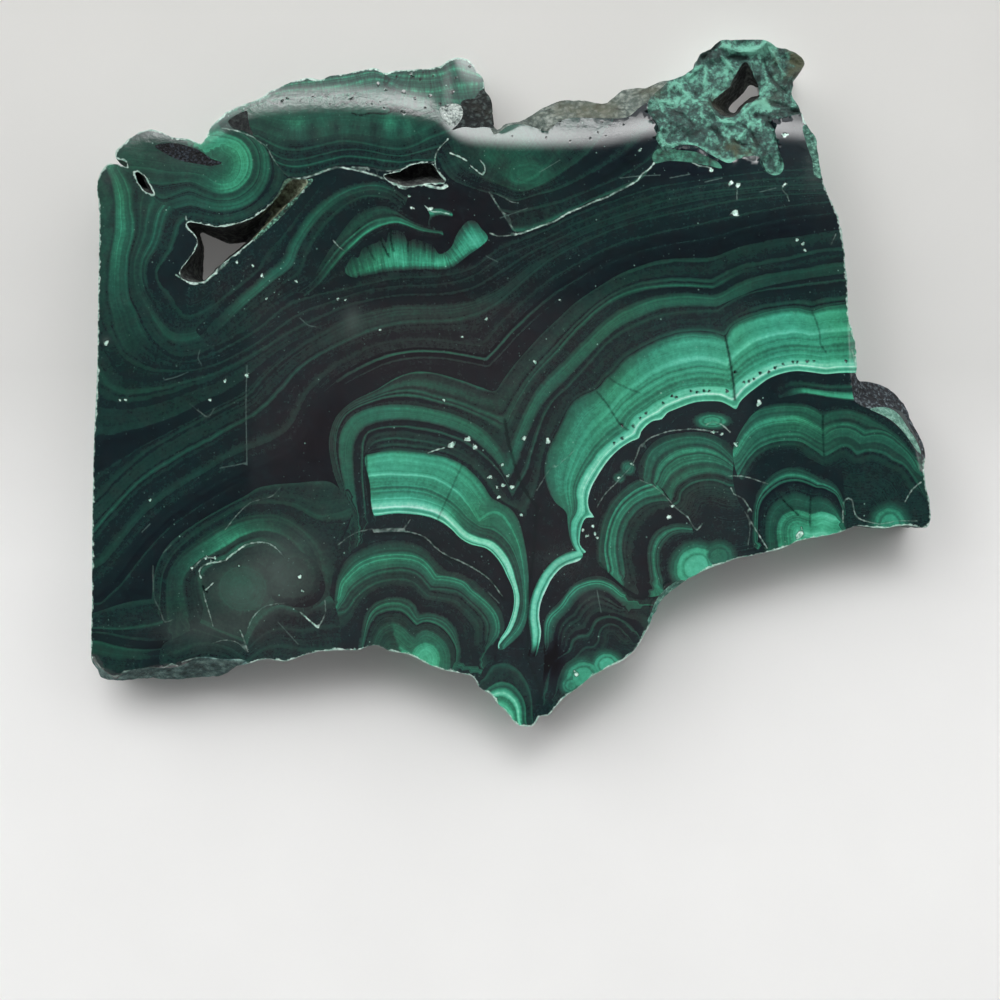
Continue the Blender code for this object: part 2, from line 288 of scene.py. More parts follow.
# The growth layers in the stone. Each layer is a border and the fronts at which it grew, in order.
# A point given twice running is a cusp, where two lobes meet. A border of None is the whole slab.
LAYERS = {
    "sweep": (None, [
        [(196, 214), (181, 222), (176, 235), (171, 249), (163, 261), (157, 272), (160, 284), (169, 294),
         (178, 307), (185, 315), (200, 312), (216, 303), (232, 290), (245, 280), (257, 270), (268, 253),
         (285, 233), (302, 210), (315, 192), (323, 182), (380, 166), (440, 166), (500, 175), (560, 170),
         (620, 160), (680, 150), (760, 144), (840, 140)],
        [(172, 200), (164, 210), (160, 222), (157, 235), (152, 248), (145, 260), (143, 273), (146, 288),
         (154, 303), (164, 318), (173, 325), (186, 326), (200, 323), (216, 313), (232, 301), (250, 289),
         (258, 284), (272, 275), (285, 265), (290, 258), (300, 240), (318, 220), (330, 204), (345, 187),
         (390, 176), (450, 182), (500, 190), (560, 182), (620, 170), (680, 159), (760, 152), (840, 147)],
        [(163, 196), (154, 209), (149, 222), (147, 235), (142, 248), (137, 261), (136, 276), (139, 292),
         (148, 309), (157, 325), (167, 337), (177, 341), (190, 340), (207, 334), (224, 324), (240, 311),
         (256, 298), (282, 280), (298, 268), (307, 250), (325, 227), (345, 203), (400, 196), (460, 200),
         (500, 208), (560, 198), (620, 182), (680, 169), (760, 161), (840, 155)],
        [(118, 168), (126, 180), (130, 194), (131, 208), (134, 222), (133, 236), (129, 252), (127, 275),
         (129, 297), (136, 313), (144, 330), (152, 342), (162, 352), (173, 359), (192, 360), (214, 352),
         (240, 338), (262, 324), (284, 306), (308, 296), (345, 288), (400, 277), (440, 275), (470, 268),
         (500, 248), (540, 232), (575, 215), (607, 203), (645, 190), (700, 180), (760, 172), (830, 168)],
        [(104, 166), (110, 180), (113, 195), (114, 212), (113, 230), (110, 250), (108, 270), (107, 290),
         (109, 310), (114, 330), (122, 348), (135, 361), (152, 368), (170, 370), (192, 370), (216, 364),
         (244, 350), (272, 332), (300, 313), (330, 302), (365, 291), (400, 286), (440, 284), (470, 277),
         (500, 258), (540, 241), (575, 224), (607, 211), (645, 198), (700, 186), (760, 180), (832, 176)],
        [(92, 360), (100, 375), (108, 385), (118, 391), (132, 393), (150, 391), (170, 387), (190, 381),
         (214, 374), (240, 362), (264, 348), (290, 332), (318, 318), (345, 306), (370, 300), (400, 295),
         (440, 294), (472, 288), (500, 272), (528, 254), (556, 240), (585, 227), (620, 215), (660, 202),
         (700, 193), (760, 187), (834, 183)],
        [(92, 433), (108, 433), (125, 431), (145, 426), (165, 419), (185, 411), (205, 400), (225, 392),
         (244, 380), (262, 364), (280, 350), (300, 339), (322, 327), (345, 317), (370, 309), (400, 304),
         (440, 303), (474, 298), (500, 284), (528, 264), (556, 249), (585, 234), (620, 221), (660, 209),
         (700, 200), (760, 192), (836, 188)],
        [(92, 502), (104, 493), (118, 477), (134, 463), (152, 449), (172, 437), (192, 425), (212, 414),
         (234, 403), (250, 394), (264, 377), (280, 362), (300, 347), (322, 334), (345, 321), (370, 313),
         (400, 308), (440, 307), (474, 302), (502, 289), (528, 268), (556, 252), (585, 238), (620, 224),
         (660, 212), (700, 203), (745, 195), (790, 191), (836, 190)],
        [(92, 531), (104, 518), (120, 500), (138, 482), (158, 467), (180, 454), (200, 443), (220, 432),
         (240, 422), (256, 412), (267, 402), (277, 391), (287, 380), (298, 369), (314, 357), (334, 346),
         (355, 336), (370, 330), (390, 325), (415, 321), (440, 321), (462, 318), (482, 312), (502, 299),
         (526, 278), (550, 259), (576, 245), (600, 234), (622, 226), (645, 219), (672, 213), (700, 207),
         (722, 202), (748, 198), (790, 194), (838, 192)],
        [(94, 566), (105, 558), (121, 538), (141, 514), (162, 496), (182, 482), (202, 471), (222, 458),
         (242, 449), (262, 441), (277, 435), (289, 425), (297, 410), (303, 397), (313, 384), (327, 371),
         (343, 361), (362, 351), (382, 344), (405, 341), (440, 341), (462, 344), (481, 346), (481, 346),
         (490, 337), (502, 322), (520, 305), (540, 288), (560, 274), (580, 262), (602, 251), (630, 240),
         (665, 232), (700, 224), (750, 213), (800, 205), (840, 201)],
        [(96, 592), (112, 577), (128, 556), (147, 533), (167, 514), (187, 500), (207, 488), (227, 476),
         (247, 466), (268, 458), (286, 450), (299, 438), (307, 422), (313, 408), (324, 395), (338, 383),
         (354, 373), (372, 364), (390, 357), (412, 353), (440, 353), (465, 357), (487, 361), (487, 361),
         (500, 348), (514, 332), (532, 315), (550, 300), (570, 286), (590, 274), (612, 262), (642, 250),
         (675, 243), (705, 238), (750, 226), (800, 216), (840, 212)],
    ]),
    "eye_bank": (
        [(158, 203), (146, 190), (133, 176), (119, 167), (100, 158), (100, 110), (222, 90), (226, 114),
         (250, 130), (262, 141), (272, 156), (281, 168), (290, 180), (278, 202), (254, 219), (222, 229),
         (187, 225), (184, 215), (172, 207)], [
        [(130, 166), (150, 168), (172, 172), (192, 173), (206, 176), (215, 182), (224, 184), (234, 181),
         (240, 172), (241, 160), (236, 150), (228, 146)],
        [(140, 181), (158, 183), (176, 182), (192, 181), (204, 186), (216, 190), (228, 190), (239, 185),
         (247, 175), (250, 161), (245, 148), (236, 140), (220, 136)],
        [(148, 189), (162, 198), (175, 194), (190, 189), (203, 194), (217, 198), (232, 197), (245, 190),
         (255, 178), (258, 163), (254, 148), (245, 137), (230, 130)],
        [(154, 197), (163, 203), (176, 199), (190, 196), (204, 201), (218, 204), (234, 203), (249, 196),
         (260, 183), (264, 166), (262, 150), (254, 138), (240, 128)],
        [(158, 205), (165, 210), (178, 207), (191, 204), (205, 208), (219, 211), (236, 209), (252, 202),
         (264, 189), (270, 171), (269, 155), (261, 142), (248, 128)],
        [(163, 212), (180, 215), (193, 214), (206, 217), (220, 219), (238, 216), (256, 207), (270, 194),
         (279, 178), (277, 163), (268, 148), (256, 134)],
        [(176, 222), (195, 222), (207, 225), (221, 226), (240, 222), (258, 213), (273, 200), (286, 184),
         (286, 168), (276, 152), (262, 138)],
    ]),
    "upper_bank": (
        [(220, 126), (237, 131), (253, 137), (259, 142), (267, 149), (273, 159), (281, 170), (290, 180),
         (302, 179), (317, 174), (337, 167), (360, 170), (380, 176), (403, 187), (417, 183), (432, 186),
         (443, 187), (447, 185), (442, 177), (436, 168), (435, 159), (440, 149), (448, 139), (454, 130),
         (462, 100), (300, 60), (222, 100)], [
        [(276, 170), (290, 177), (302, 178), (317, 175), (333, 167), (350, 165), (370, 167), (385, 171),
         (398, 170), (410, 165), (425, 165), (440, 172)],
        [(268, 153), (278, 162), (292, 166), (310, 164), (330, 159), (345, 156), (365, 157), (385, 160),
         (402, 162), (415, 160), (430, 160), (442, 160)],
        [(264, 144), (271, 152), (281, 158), (293, 160), (308, 158), (324, 154), (342, 150), (365, 150),
         (385, 154), (402, 156), (418, 152), (432, 148), (446, 145)],
        [(258, 136), (270, 143), (284, 149), (300, 150), (316, 147), (330, 143), (344, 141), (362, 143),
         (382, 147), (402, 149), (418, 144), (430, 138), (446, 132)],
        [(250, 126), (268, 133), (284, 138), (300, 140), (318, 137), (332, 134), (350, 133), (370, 135),
         (390, 138), (410, 136), (428, 128), (444, 120)],
        [(240, 110), (262, 117), (282, 122), (300, 123), (320, 120), (340, 118), (360, 119), (380, 121),
         (400, 122), (420, 118), (440, 108)],
    ]),
    "worn_rim": (
        [(216, 122), (226, 117), (240, 113), (262, 104), (280, 100), (310, 102), (350, 99), (380, 101),
         (410, 107), (440, 110), (460, 112), (466, 102), (478, 100), (482, 94), (500, 92), (500, 40),
         (300, 50), (200, 100)], [
        [(214, 128), (240, 118), (262, 108), (285, 104), (320, 105), (355, 102), (385, 104), (412, 109),
         (440, 113), (462, 112), (484, 104)],
        [(214, 122), (240, 113), (262, 103), (285, 97), (320, 97), (350, 93), (372, 90), (384, 88),
         (400, 93), (420, 97), (440, 98), (462, 100), (486, 96)],
        [(214, 118), (240, 108), (262, 98), (285, 91), (320, 88), (350, 84), (370, 79), (384, 80),
         (400, 88), (415, 91), (435, 91), (452, 87), (466, 84), (480, 83)],
        [(214, 112), (240, 103), (264, 93), (285, 86), (320, 81), (350, 77), (370, 73), (384, 75),
         (400, 76), (420, 77), (440, 75), (455, 70), (466, 72), (478, 76)],
        [(214, 106), (240, 98), (264, 88), (285, 78), (320, 74), (350, 69), (380, 66), (400, 66), (440, 60),
         (456, 50), (480, 60)],
    ]),
    "inner_bank": (
        [(454, 130), (448, 139), (440, 149), (435, 159), (436, 168), (442, 177), (447, 185), (462, 192),
         (476, 200), (489, 193), (495, 203), (501, 213), (508, 223), (515, 232), (541, 227), (568, 213),
         (593, 200), (608, 196), (624, 188), (640, 180), (647, 173), (655, 164), (668, 151), (658, 126),
         (640, 118), (520, 118)], [
        [(450, 205), (475, 215), (497, 226), (515, 232), (541, 227), (568, 213), (600, 198), (640, 180),
         (672, 150)],
        [(446, 190), (470, 200), (492, 207), (512, 212), (536, 208), (560, 202), (590, 190), (622, 176),
         (650, 158), (670, 135)],
        [(440, 160), (452, 178), (474, 188), (498, 194), (514, 200), (535, 195), (556, 189), (582, 178),
         (608, 164), (632, 148), (650, 128)],
        [(452, 138), (458, 160), (472, 172), (490, 180), (506, 187), (520, 191), (538, 186), (556, 176),
         (574, 164), (590, 150), (604, 132)],
        [(470, 130), (480, 150), (492, 164), (505, 176), (516, 184), (530, 180), (545, 168), (556, 156),
         (566, 142), (574, 126)],
        [(490, 120), (500, 142), (510, 156), (520, 164), (532, 160), (542, 150), (548, 138), (552, 122)],
    ]),
    "outer_arch": (
        [(196, 330), (212, 314), (230, 296), (248, 281), (264, 267), (280, 254), (286, 240), (294, 226),
         (306, 210), (321, 197), (338, 186), (359, 179), (379, 178), (395, 182), (408, 192), (402, 208),
         (392, 204), (378, 202), (366, 202), (354, 207), (342, 214), (330, 226), (318, 241), (310, 255),
         (300, 275), (282, 289), (264, 303), (248, 318), (230, 334), (212, 346), (203, 339)], [
        [(202, 334), (219, 317), (236, 300), (252, 286), (268, 272), (284, 258), (290, 244), (298, 230),
         (310, 214), (324, 201), (340, 191), (360, 184), (378, 183), (392, 187), (403, 194)],
        [(207, 340), (225, 323), (242, 307), (258, 293), (275, 279), (291, 266), (299, 247), (307, 233),
         (319, 217), (332, 205), (346, 196), (362, 190), (378, 189), (391, 193), (401, 200)],
        [(211, 345), (229, 329), (246, 313), (262, 299), (280, 284), (298, 271), (306, 251), (314, 237),
         (326, 221), (339, 209), (352, 201), (364, 196), (378, 196), (390, 199), (399, 206)],
    ]),
    "high_arch": (
        [(298, 292), (312, 279), (322, 262), (332, 246), (344, 229), (357, 214), (371, 206), (386, 203),
         (399, 208), (409, 216), (422, 223), (440, 227), (443, 236), (425, 237), (408, 232), (396, 229),
         (384, 231), (373, 238), (361, 248), (349, 260), (337, 272), (325, 283), (309, 297)], [
        [(296, 290), (310, 278), (321, 260), (331, 244), (343, 228), (356, 215), (370, 208), (385, 206),
         (398, 212), (408, 219), (422, 225), (440, 229)],
        [(299, 293), (314, 281), (327, 264), (338, 250), (350, 238), (362, 228), (374, 221), (386, 218),
         (397, 217), (407, 221), (421, 227), (440, 231)],
        [(303, 297), (318, 284), (331, 268), (342, 255), (353, 244), (364, 234), (376, 227), (388, 223),
         (398, 222), (408, 225), (421, 230), (440, 233)],
        [(306, 300), (321, 287), (334, 272), (345, 259), (356, 248), (367, 238), (379, 231), (390, 227),
         (399, 226), (408, 229), (421, 233), (440, 236)],
    ]),
    "hook": (
        [(423, 203), (430, 207), (440, 208), (452, 212), (452, 217), (441, 217), (435, 222), (432, 229),
         (428, 224), (430, 215)], [
        [(422, 203), (430, 208), (440, 208), (453, 213)],
        [(430, 230), (431, 220), (437, 216), (453, 217)],
    ]),
    "feathers": (
        [(345, 272), (348, 263), (353, 256), (358, 258), (362, 249), (370, 245), (378, 242), (382, 237),
         (386, 243), (389, 232), (396, 230), (404, 234), (408, 242), (413, 239), (424, 242), (433, 246),
         (439, 254), (446, 252), (452, 246), (456, 236), (461, 228), (468, 221), (475, 221), (481, 228),
         (488, 238), (480, 247), (470, 254), (460, 262), (452, 268), (438, 270), (420, 270), (400, 271),
         (385, 273), (370, 275), (355, 278)], [
        [(320, 276), (336, 262), (350, 251), (364, 242), (378, 234), (390, 228), (402, 228), (412, 234),
         (424, 238), (436, 244), (443, 242), (449, 230), (459, 218), (474, 213), (490, 224), (499, 240)],
        [(330, 290), (342, 285), (356, 280), (371, 276), (386, 273), (400, 271), (420, 270), (438, 270),
         (452, 268), (462, 261), (472, 254), (482, 248), (492, 243)],
    ]),
    "mantle": (
        [(352, 512), (343, 495), (335, 477), (331, 460), (329, 445), (331, 430), (337, 416), (352, 402),
         (376, 390), (396, 378), (415, 372), (434, 373), (463, 381), (480, 387), (495, 391), (503, 380),
         (515, 364), (530, 347), (545, 331), (560, 317), (575, 303), (600, 286), (620, 274), (640, 266),
         (660, 260), (690, 258), (712, 257), (740, 247), (770, 240), (800, 236), (838, 230), (860, 228),
         (950, 380), (950, 540), (700, 760), (480, 760), (300, 680), (332, 640), (328, 600), (334, 560)], [
        [(352, 512), (343, 495), (335, 477), (331, 460), (329, 445), (331, 430), (337, 416), (352, 402),
         (376, 390), (396, 378), (415, 372), (434, 373), (463, 381), (480, 387), (495, 391), (495, 391),
         (503, 380), (515, 364), (530, 347), (545, 331), (560, 317), (575, 303), (600, 286), (620, 274),
         (640, 266), (660, 260), (690, 258), (712, 257), (740, 247), (770, 240), (800, 236), (838, 230),
         (860, 228)],
        [(356, 512), (347, 495), (340, 476), (336, 460), (334, 445), (336, 428), (343, 414), (356, 405),
         (374, 398), (385, 394), (400, 391), (420, 392), (440, 398), (460, 403), (480, 411), (506, 421),
         (506, 421), (512, 408), (520, 394), (530, 378), (542, 364), (560, 345), (575, 328), (588, 315),
         (603, 303), (620, 293), (640, 287), (660, 284), (690, 284), (713, 285), (713, 285), (722, 280),
         (740, 271), (760, 266), (780, 262), (800, 257), (820, 253), (843, 251), (862, 250)],
        [(350, 512), (345, 490), (341, 470), (339, 452), (341, 433), (352, 417), (373, 408), (396, 406),
         (415, 407), (434, 410), (463, 419), (487, 434), (501, 453), (507, 466), (507, 466), (512, 448),
         (519, 428), (528, 408), (537, 392), (548, 379), (562, 366), (577, 350), (591, 336), (605, 323),
         (620, 312), (640, 303), (660, 297), (690, 295), (714, 297), (714, 297), (722, 294), (736, 286),
         (751, 280), (770, 275), (790, 272), (810, 269), (830, 265), (862, 262)],
        [(358, 512), (355, 485), (354, 465), (354, 450), (357, 438), (363, 430), (375, 424), (396, 421),
         (415, 421), (434, 424), (453, 430), (470, 438), (484, 449), (497, 463), (508, 483), (508, 483),
         (518, 462), (524, 444), (531, 426), (540, 408), (552, 393), (565, 380), (578, 366), (592, 351),
         (606, 337), (620, 326), (640, 316), (660, 308), (690, 305), (716, 306), (716, 306), (724, 303),
         (740, 296), (760, 288), (790, 281), (820, 276), (862, 271)],
        [(366, 512), (363, 480), (363, 455), (364, 440), (368, 433), (378, 429), (396, 427), (415, 428),
         (434, 431), (450, 436), (463, 441), (477, 450), (490, 461), (503, 477), (512, 496), (512, 496),
         (526, 472), (533, 450), (539, 430), (546, 413), (556, 398), (568, 387), (580, 374), (594, 358),
         (608, 343), (621, 333), (640, 323), (660, 316), (690, 312), (718, 311), (718, 311), (730, 302),
         (745, 295), (760, 291), (790, 287), (820, 283), (862, 279)],
        [(375, 516), (370, 484), (366, 456), (385, 452), (407, 452), (430, 455), (448, 459), (463, 466),
         (475, 476), (484, 487), (495, 500), (510, 509), (520, 522), (526, 540), (526, 540), (535, 505),
         (541, 490), (544, 471), (546, 458), (550, 447), (555, 435), (562, 421), (571, 404), (581, 396),
         (598, 388), (606, 378), (614, 371), (623, 360), (642, 347), (667, 336), (694, 331), (713, 332),
         (725, 336), (725, 336), (732, 326), (747, 318), (770, 311), (797, 308), (812, 311), (825, 307),
         (862, 302)],
    ]),
    "great_band": (
        [(566, 512), (556, 503), (549, 492), (545, 480), (544, 471), (546, 458), (549, 448), (555, 435),
         (562, 421), (571, 404), (581, 396), (598, 388), (606, 378), (614, 371), (623, 360), (642, 347),
         (667, 336), (694, 331), (713, 332), (725, 336), (732, 326), (747, 318), (770, 311), (797, 308),
         (812, 311), (825, 307), (862, 302), (862, 372), (838, 373), (825, 374), (810, 372), (795, 371),
         (780, 374), (768, 379), (757, 387), (748, 394), (740, 402), (736, 409), (730, 406), (722, 402),
         (712, 401), (697, 402), (686, 405), (676, 409), (667, 413), (662, 419), (653, 421), (646, 426),
         (641, 432), (639, 438), (632, 441), (622, 447), (612, 456), (604, 466), (597, 477), (592, 486),
         (589, 495), (588, 503), (590, 511), (594, 517), (586, 518), (582, 525), (580, 535), (580, 545),
         (586, 552), (578, 553), (571, 541), (568, 526)], [
        [(572, 545), (564, 530), (560, 516), (554, 503), (549, 492), (545, 480), (544, 471), (546, 458),
         (549, 448), (555, 435), (562, 421), (571, 404), (581, 396), (598, 388), (606, 378), (614, 371),
         (623, 360), (642, 347), (667, 336), (694, 331), (713, 332), (725, 336), (725, 336), (732, 326),
         (747, 318), (770, 311), (797, 308), (812, 311), (812, 311), (825, 307), (862, 302)],
        [(574, 548), (569, 536), (568, 524), (570, 512), (568, 500), (567, 488), (569, 476), (574, 462),
         (580, 448), (588, 436), (598, 424), (608, 414), (618, 402), (630, 391), (644, 380), (662, 370),
         (682, 363), (700, 361), (714, 362), (727, 366), (727, 366), (738, 354), (752, 344), (772, 337),
         (795, 334), (814, 336), (814, 336), (828, 333), (862, 330)],
        [(577, 551), (572, 540), (571, 530), (572, 521), (577, 512), (578, 503), (577, 493), (580, 483),
         (586, 472), (594, 461), (603, 450), (613, 441), (622, 435), (629, 430), (632, 423), (638, 417),
         (648, 411), (656, 405), (666, 399), (680, 393), (697, 389), (712, 388), (724, 389), (732, 394),
         (732, 394), (738, 385), (748, 377), (760, 370), (775, 363), (795, 360), (812, 361), (825, 363),
         (838, 362), (862, 361)],
        [(586, 552), (580, 545), (580, 535), (582, 525), (586, 518), (594, 517), (590, 511), (588, 503),
         (589, 495), (592, 486), (597, 477), (604, 466), (612, 456), (622, 447), (632, 441), (639, 438),
         (641, 432), (646, 426), (653, 421), (662, 419), (667, 413), (676, 409), (686, 405), (697, 402),
         (712, 401), (722, 402), (730, 405), (736, 409), (736, 409), (740, 402), (748, 394), (757, 387),
         (768, 379), (780, 374), (795, 371), (810, 372), (825, 374), (838, 373), (862, 372)],
    ]),
    "cut_block": (
        [(375, 516), (370, 484), (366, 455), (385, 451), (407, 451), (430, 454), (448, 458), (463, 465),
         (475, 475), (484, 486), (491, 497), (501, 503), (511, 509), (519, 521), (524, 540), (528, 565),
         (529, 590), (528, 615), (522, 632), (510, 645), (499, 650), (499, 640), (506, 630), (511, 618),
         (514, 604), (513, 590), (506, 574), (499, 561), (487, 549), (470, 544), (460, 538), (450, 528),
         (437, 520), (425, 516), (407, 514), (392, 514)], [
        [(366, 455), (385, 451), (407, 451), (430, 454), (448, 458), (463, 465), (475, 475), (484, 486),
         (491, 497), (501, 503), (511, 509), (519, 521), (524, 540), (528, 565), (529, 590), (528, 615),
         (522, 632), (508, 646)],
        [(368, 471), (390, 469), (410, 470), (430, 473), (446, 479), (459, 488), (469, 500), (476, 512),
         (479, 521), (479, 521), (486, 514), (496, 511), (505, 517), (513, 530), (519, 545), (523, 565),
         (525, 590), (525, 612), (519, 628), (506, 643)],
        [(371, 488), (395, 486), (415, 487), (432, 491), (447, 499), (460, 509), (470, 519), (480, 526),
         (492, 529), (503, 536), (512, 548), (519, 566), (523, 588), (523, 607), (518, 625), (505, 641)],
        [(373, 501), (395, 500), (415, 500), (430, 503), (445, 510), (457, 521), (468, 532), (480, 537),
         (493, 541), (504, 551), (512, 566), (517, 583), (520, 600), (517, 617), (511, 631), (502, 642)],
        [(375, 516), (392, 514), (407, 514), (425, 516), (437, 520), (450, 528), (460, 538), (470, 544),
         (487, 549), (499, 561), (506, 574), (513, 590), (514, 604), (511, 618), (506, 630), (499, 641)],
    ]),
    "facing_band": (
        [(572, 551), (562, 555), (552, 562), (542, 574), (535, 587), (530, 602), (528, 616), (530, 632),
         (531, 645), (528, 656), (535, 657), (539, 645), (541, 632), (539, 616), (541, 602), (546, 590),
         (553, 577), (564, 566), (580, 560), (583, 554)], [
        [(574, 549), (562, 553), (551, 560), (541, 572), (534, 586), (529, 601), (527, 616), (529, 632),
         (530, 645), (527, 656)],
        [(580, 561), (564, 567), (554, 577), (547, 590), (542, 602), (540, 616), (542, 632), (540, 645),
         (536, 658)],
    ]),
    "ribbon": (
        [(780, 383), (795, 380), (815, 382), (830, 384), (860, 382), (860, 404), (845, 400), (822, 397),
         (800, 394), (788, 397), (779, 398)], [
        [(776, 384), (795, 379), (815, 381), (830, 383), (862, 381)],
        [(776, 402), (790, 397), (802, 394), (822, 397), (845, 400), (862, 402)],
    ]),
    "left_lobes": (
        [(330, 612), (330, 590), (337, 568), (350, 552), (368, 541), (395, 536), (416, 539), (432, 549),
         (444, 562), (458, 568), (476, 575), (491, 587), (503, 604), (505, 625), (499, 642), (480, 700),
         (340, 660)], [
        [(334, 600), (337, 578), (346, 560), (360, 549), (378, 542), (396, 540), (412, 542), (428, 551),
         (439, 564), (447, 571), (447, 571), (460, 573), (474, 580), (474, 580), (485, 590), (495, 601),
         (503, 615), (505, 630), (500, 645)],
        [(338, 597), (341, 583), (348, 574), (358, 565), (370, 559), (385, 556), (395, 555), (410, 556),
         (420, 559), (428, 565), (436, 577), (436, 577), (445, 577), (455, 579), (465, 583), (472, 591),
         (472, 591), (480, 597), (488, 604), (495, 613), (499, 624), (498, 635), (492, 643)],
        [(343, 603), (352, 590), (365, 580), (380, 574), (395, 571), (410, 572), (420, 578), (430, 590),
         (430, 590), (445, 590), (458, 593), (470, 603), (470, 603), (478, 611), (487, 625), (486, 640)],
        [(362, 645), (364, 630), (366, 620), (369, 611), (376, 604), (385, 600), (395, 599), (405, 601),
         (412, 606), (418, 617), (418, 617), (430, 615), (440, 617), (447, 621), (453, 628), (457, 638),
         (458, 655), (455, 668)],
        [(363, 645), (366, 634), (370, 622), (376, 614), (385, 610), (395, 609), (403, 611), (410, 617),
         (417, 624), (417, 624), (423, 621), (430, 621), (440, 625), (448, 632), (454, 641), (457, 650),
         (456, 665)],
        [(374, 648), (377, 636), (384, 628), (393, 625), (402, 628), (409, 635), (414, 642), (414, 642),
         (419, 634), (426, 631), (436, 635), (444, 642), (449, 652), (450, 668)],
        [(385, 650), (392, 642), (400, 648), (412, 655), (412, 655), (416, 648), (423, 644), (430, 645),
         (436, 650), (439, 658), (437, 668)],
    ]),
    "pendant_lobe": (
        [(478, 692), (484, 668), (494, 660), (508, 660), (519, 667), (528, 680), (533, 697), (537, 712),
         (537, 735), (505, 735)], [
        [(484, 678), (493, 665), (507, 663), (519, 671), (528, 684), (532, 700), (533, 718)],
        [(484, 692), (492, 686), (502, 683), (512, 686), (520, 694), (525, 705), (526, 720)],
        [(488, 697), (495, 694), (504, 693), (512, 698), (517, 706), (519, 720)],
        [(493, 705), (500, 704), (507, 708), (512, 714), (513, 722)],
    ]),
    "facing_lobe": (
        [(545, 712), (543, 690), (544, 660), (544, 635), (544, 622), (549, 612), (558, 603), (564, 596),
         (574, 584), (586, 578), (600, 576), (614, 582), (624, 590), (640, 600), (655, 600), (660, 660),
         (560, 720)], [
        [(546, 645), (546, 632), (547, 622), (551, 615), (558, 609), (563, 603), (563, 603), (568, 595),
         (576, 587), (585, 583), (593, 581), (600, 581), (612, 586), (622, 594)],
        [(556, 655), (556, 636), (558, 625), (563, 618), (571, 611), (571, 611), (577, 602), (585, 595),
         (594, 591), (603, 592), (612, 597), (620, 604)],
        [(546, 690), (550, 670), (556, 660), (563, 655), (570, 650), (572, 642), (578, 636), (587, 635),
         (591, 632), (591, 632), (594, 624), (600, 619), (608, 617), (616, 618), (624, 622), (632, 630)],
        [(556, 690), (560, 675), (566, 664), (575, 658), (580, 652), (586, 647), (594, 646), (598, 640),
         (598, 640), (600, 630), (608, 624), (618, 626), (626, 634)],
    ]),
    "right_fan": (
        [(597, 562), (596, 550), (596, 540), (600, 520), (609, 503), (624, 488), (638, 479), (644, 477),
         (658, 486), (667, 497), (676, 508), (690, 521), (700, 531), (712, 545), (712, 592), (668, 594),
         (650, 597), (636, 594), (622, 585), (609, 573)], [
        [(603, 575), (600, 560), (600, 545), (602, 530), (606, 516), (613, 503), (623, 492), (634, 484),
         (645, 479)],
        [(608, 570), (605, 550), (606, 538), (609, 525), (614, 513), (621, 502), (630, 494), (640, 488),
         (652, 484)],
        [(622, 572), (619, 545), (620, 535), (624, 522), (631, 512), (640, 504), (650, 500), (660, 499),
         (669, 500)],
        [(634, 575), (630, 555), (632, 540), (637, 528), (645, 517), (656, 509), (670, 505)],
        [(651, 578), (649, 562), (649, 550), (652, 540), (658, 532), (667, 527), (678, 525), (692, 527)],
        [(661, 583), (657, 570), (656, 558), (658, 547), (664, 538), (672, 532), (682, 530), (696, 531)],
        [(673, 585), (672, 560), (678, 550), (688, 543), (697, 542), (706, 548), (709, 558)],
    ]),
    "right_bank": (
        [(640, 480), (638, 468), (642, 457), (650, 446), (660, 438), (674, 434), (690, 432), (706, 433),
         (720, 438), (732, 447), (733, 480), (738, 500), (750, 520), (752, 560), (700, 560), (690, 521),
         (676, 508), (660, 487)], [
        [(644, 476), (647, 460), (653, 450), (662, 444), (672, 440), (685, 437.5), (697, 437), (708, 439),
         (718, 444), (726, 451), (734, 460)],
        [(655, 480), (657, 470), (662, 462), (670, 455), (680, 450), (692, 448), (704, 448), (714, 451),
         (724, 457), (734, 466)],
        [(663, 487), (668, 478), (676, 470), (686, 465), (698, 462), (710, 462), (722, 465), (734, 471)],
        [(672, 497), (674, 489), (680, 482), (690, 476), (700, 473), (711, 472), (720, 473), (732, 478)],
    ]),
    "far_bank": (
        [(737, 474), (733, 450), (737, 438), (745, 424), (753, 414), (763, 407), (777, 403), (791, 402),
         (806, 404), (822, 410), (832, 407), (850, 406), (865, 408), (880, 415), (900, 430), (915, 444),
         (922, 462), (932, 505), (930, 530), (850, 530), (840, 470), (824, 466), (808, 458), (795, 454),
         (780, 456), (765, 462), (752, 470), (742, 480)], [
        [(733, 440), (742, 426), (752, 415), (762, 410), (775, 407), (790, 406), (803, 407), (815, 411),
         (823, 416), (823, 416), (832, 412), (840, 411), (850, 411), (860, 414), (870, 419), (885, 428),
         (900, 440), (914, 457)],
        [(736, 454), (740, 447), (746, 437), (754, 429), (765, 424), (778, 421), (792, 420), (803, 422),
         (812, 426), (823, 433), (823, 433), (827, 429), (835, 426), (845, 425), (855, 427), (865, 433),
         (865, 433), (875, 431), (885, 432), (895, 438), (905, 447), (912, 455), (918, 466)],
        [(738, 476), (742, 467), (748, 458), (756, 450), (766, 444), (778, 441), (790, 440), (800, 441),
         (810, 446), (824, 456), (824, 456), (830, 453), (836, 449), (843, 446), (850, 447), (857, 454),
         (857, 454), (866, 451), (875, 451), (885, 454), (892, 459), (905, 466), (916, 482)],
    ]),
    "far_lobe": (
        [(752, 545), (752, 520), (754, 503), (758, 490), (768, 478), (780, 470), (792, 467), (806, 468),
         (820, 475), (835, 484), (843, 498), (846, 520), (846, 560)], [
        [(754, 545), (754, 520), (757, 500), (762, 488), (770, 479), (780, 472), (790, 469), (800, 470),
         (810, 474), (820, 480), (835, 487), (842, 500)],
        [(756, 540), (756, 518), (758, 503), (764, 493), (772, 486), (780, 481), (790, 478.5), (800, 479),
         (810, 482), (817, 486), (817, 486), (823, 486), (830, 489), (838, 495), (844, 510)],
        [(764, 545), (763, 530), (765, 515), (770, 504), (780, 496), (792, 490), (802, 491), (812, 495),
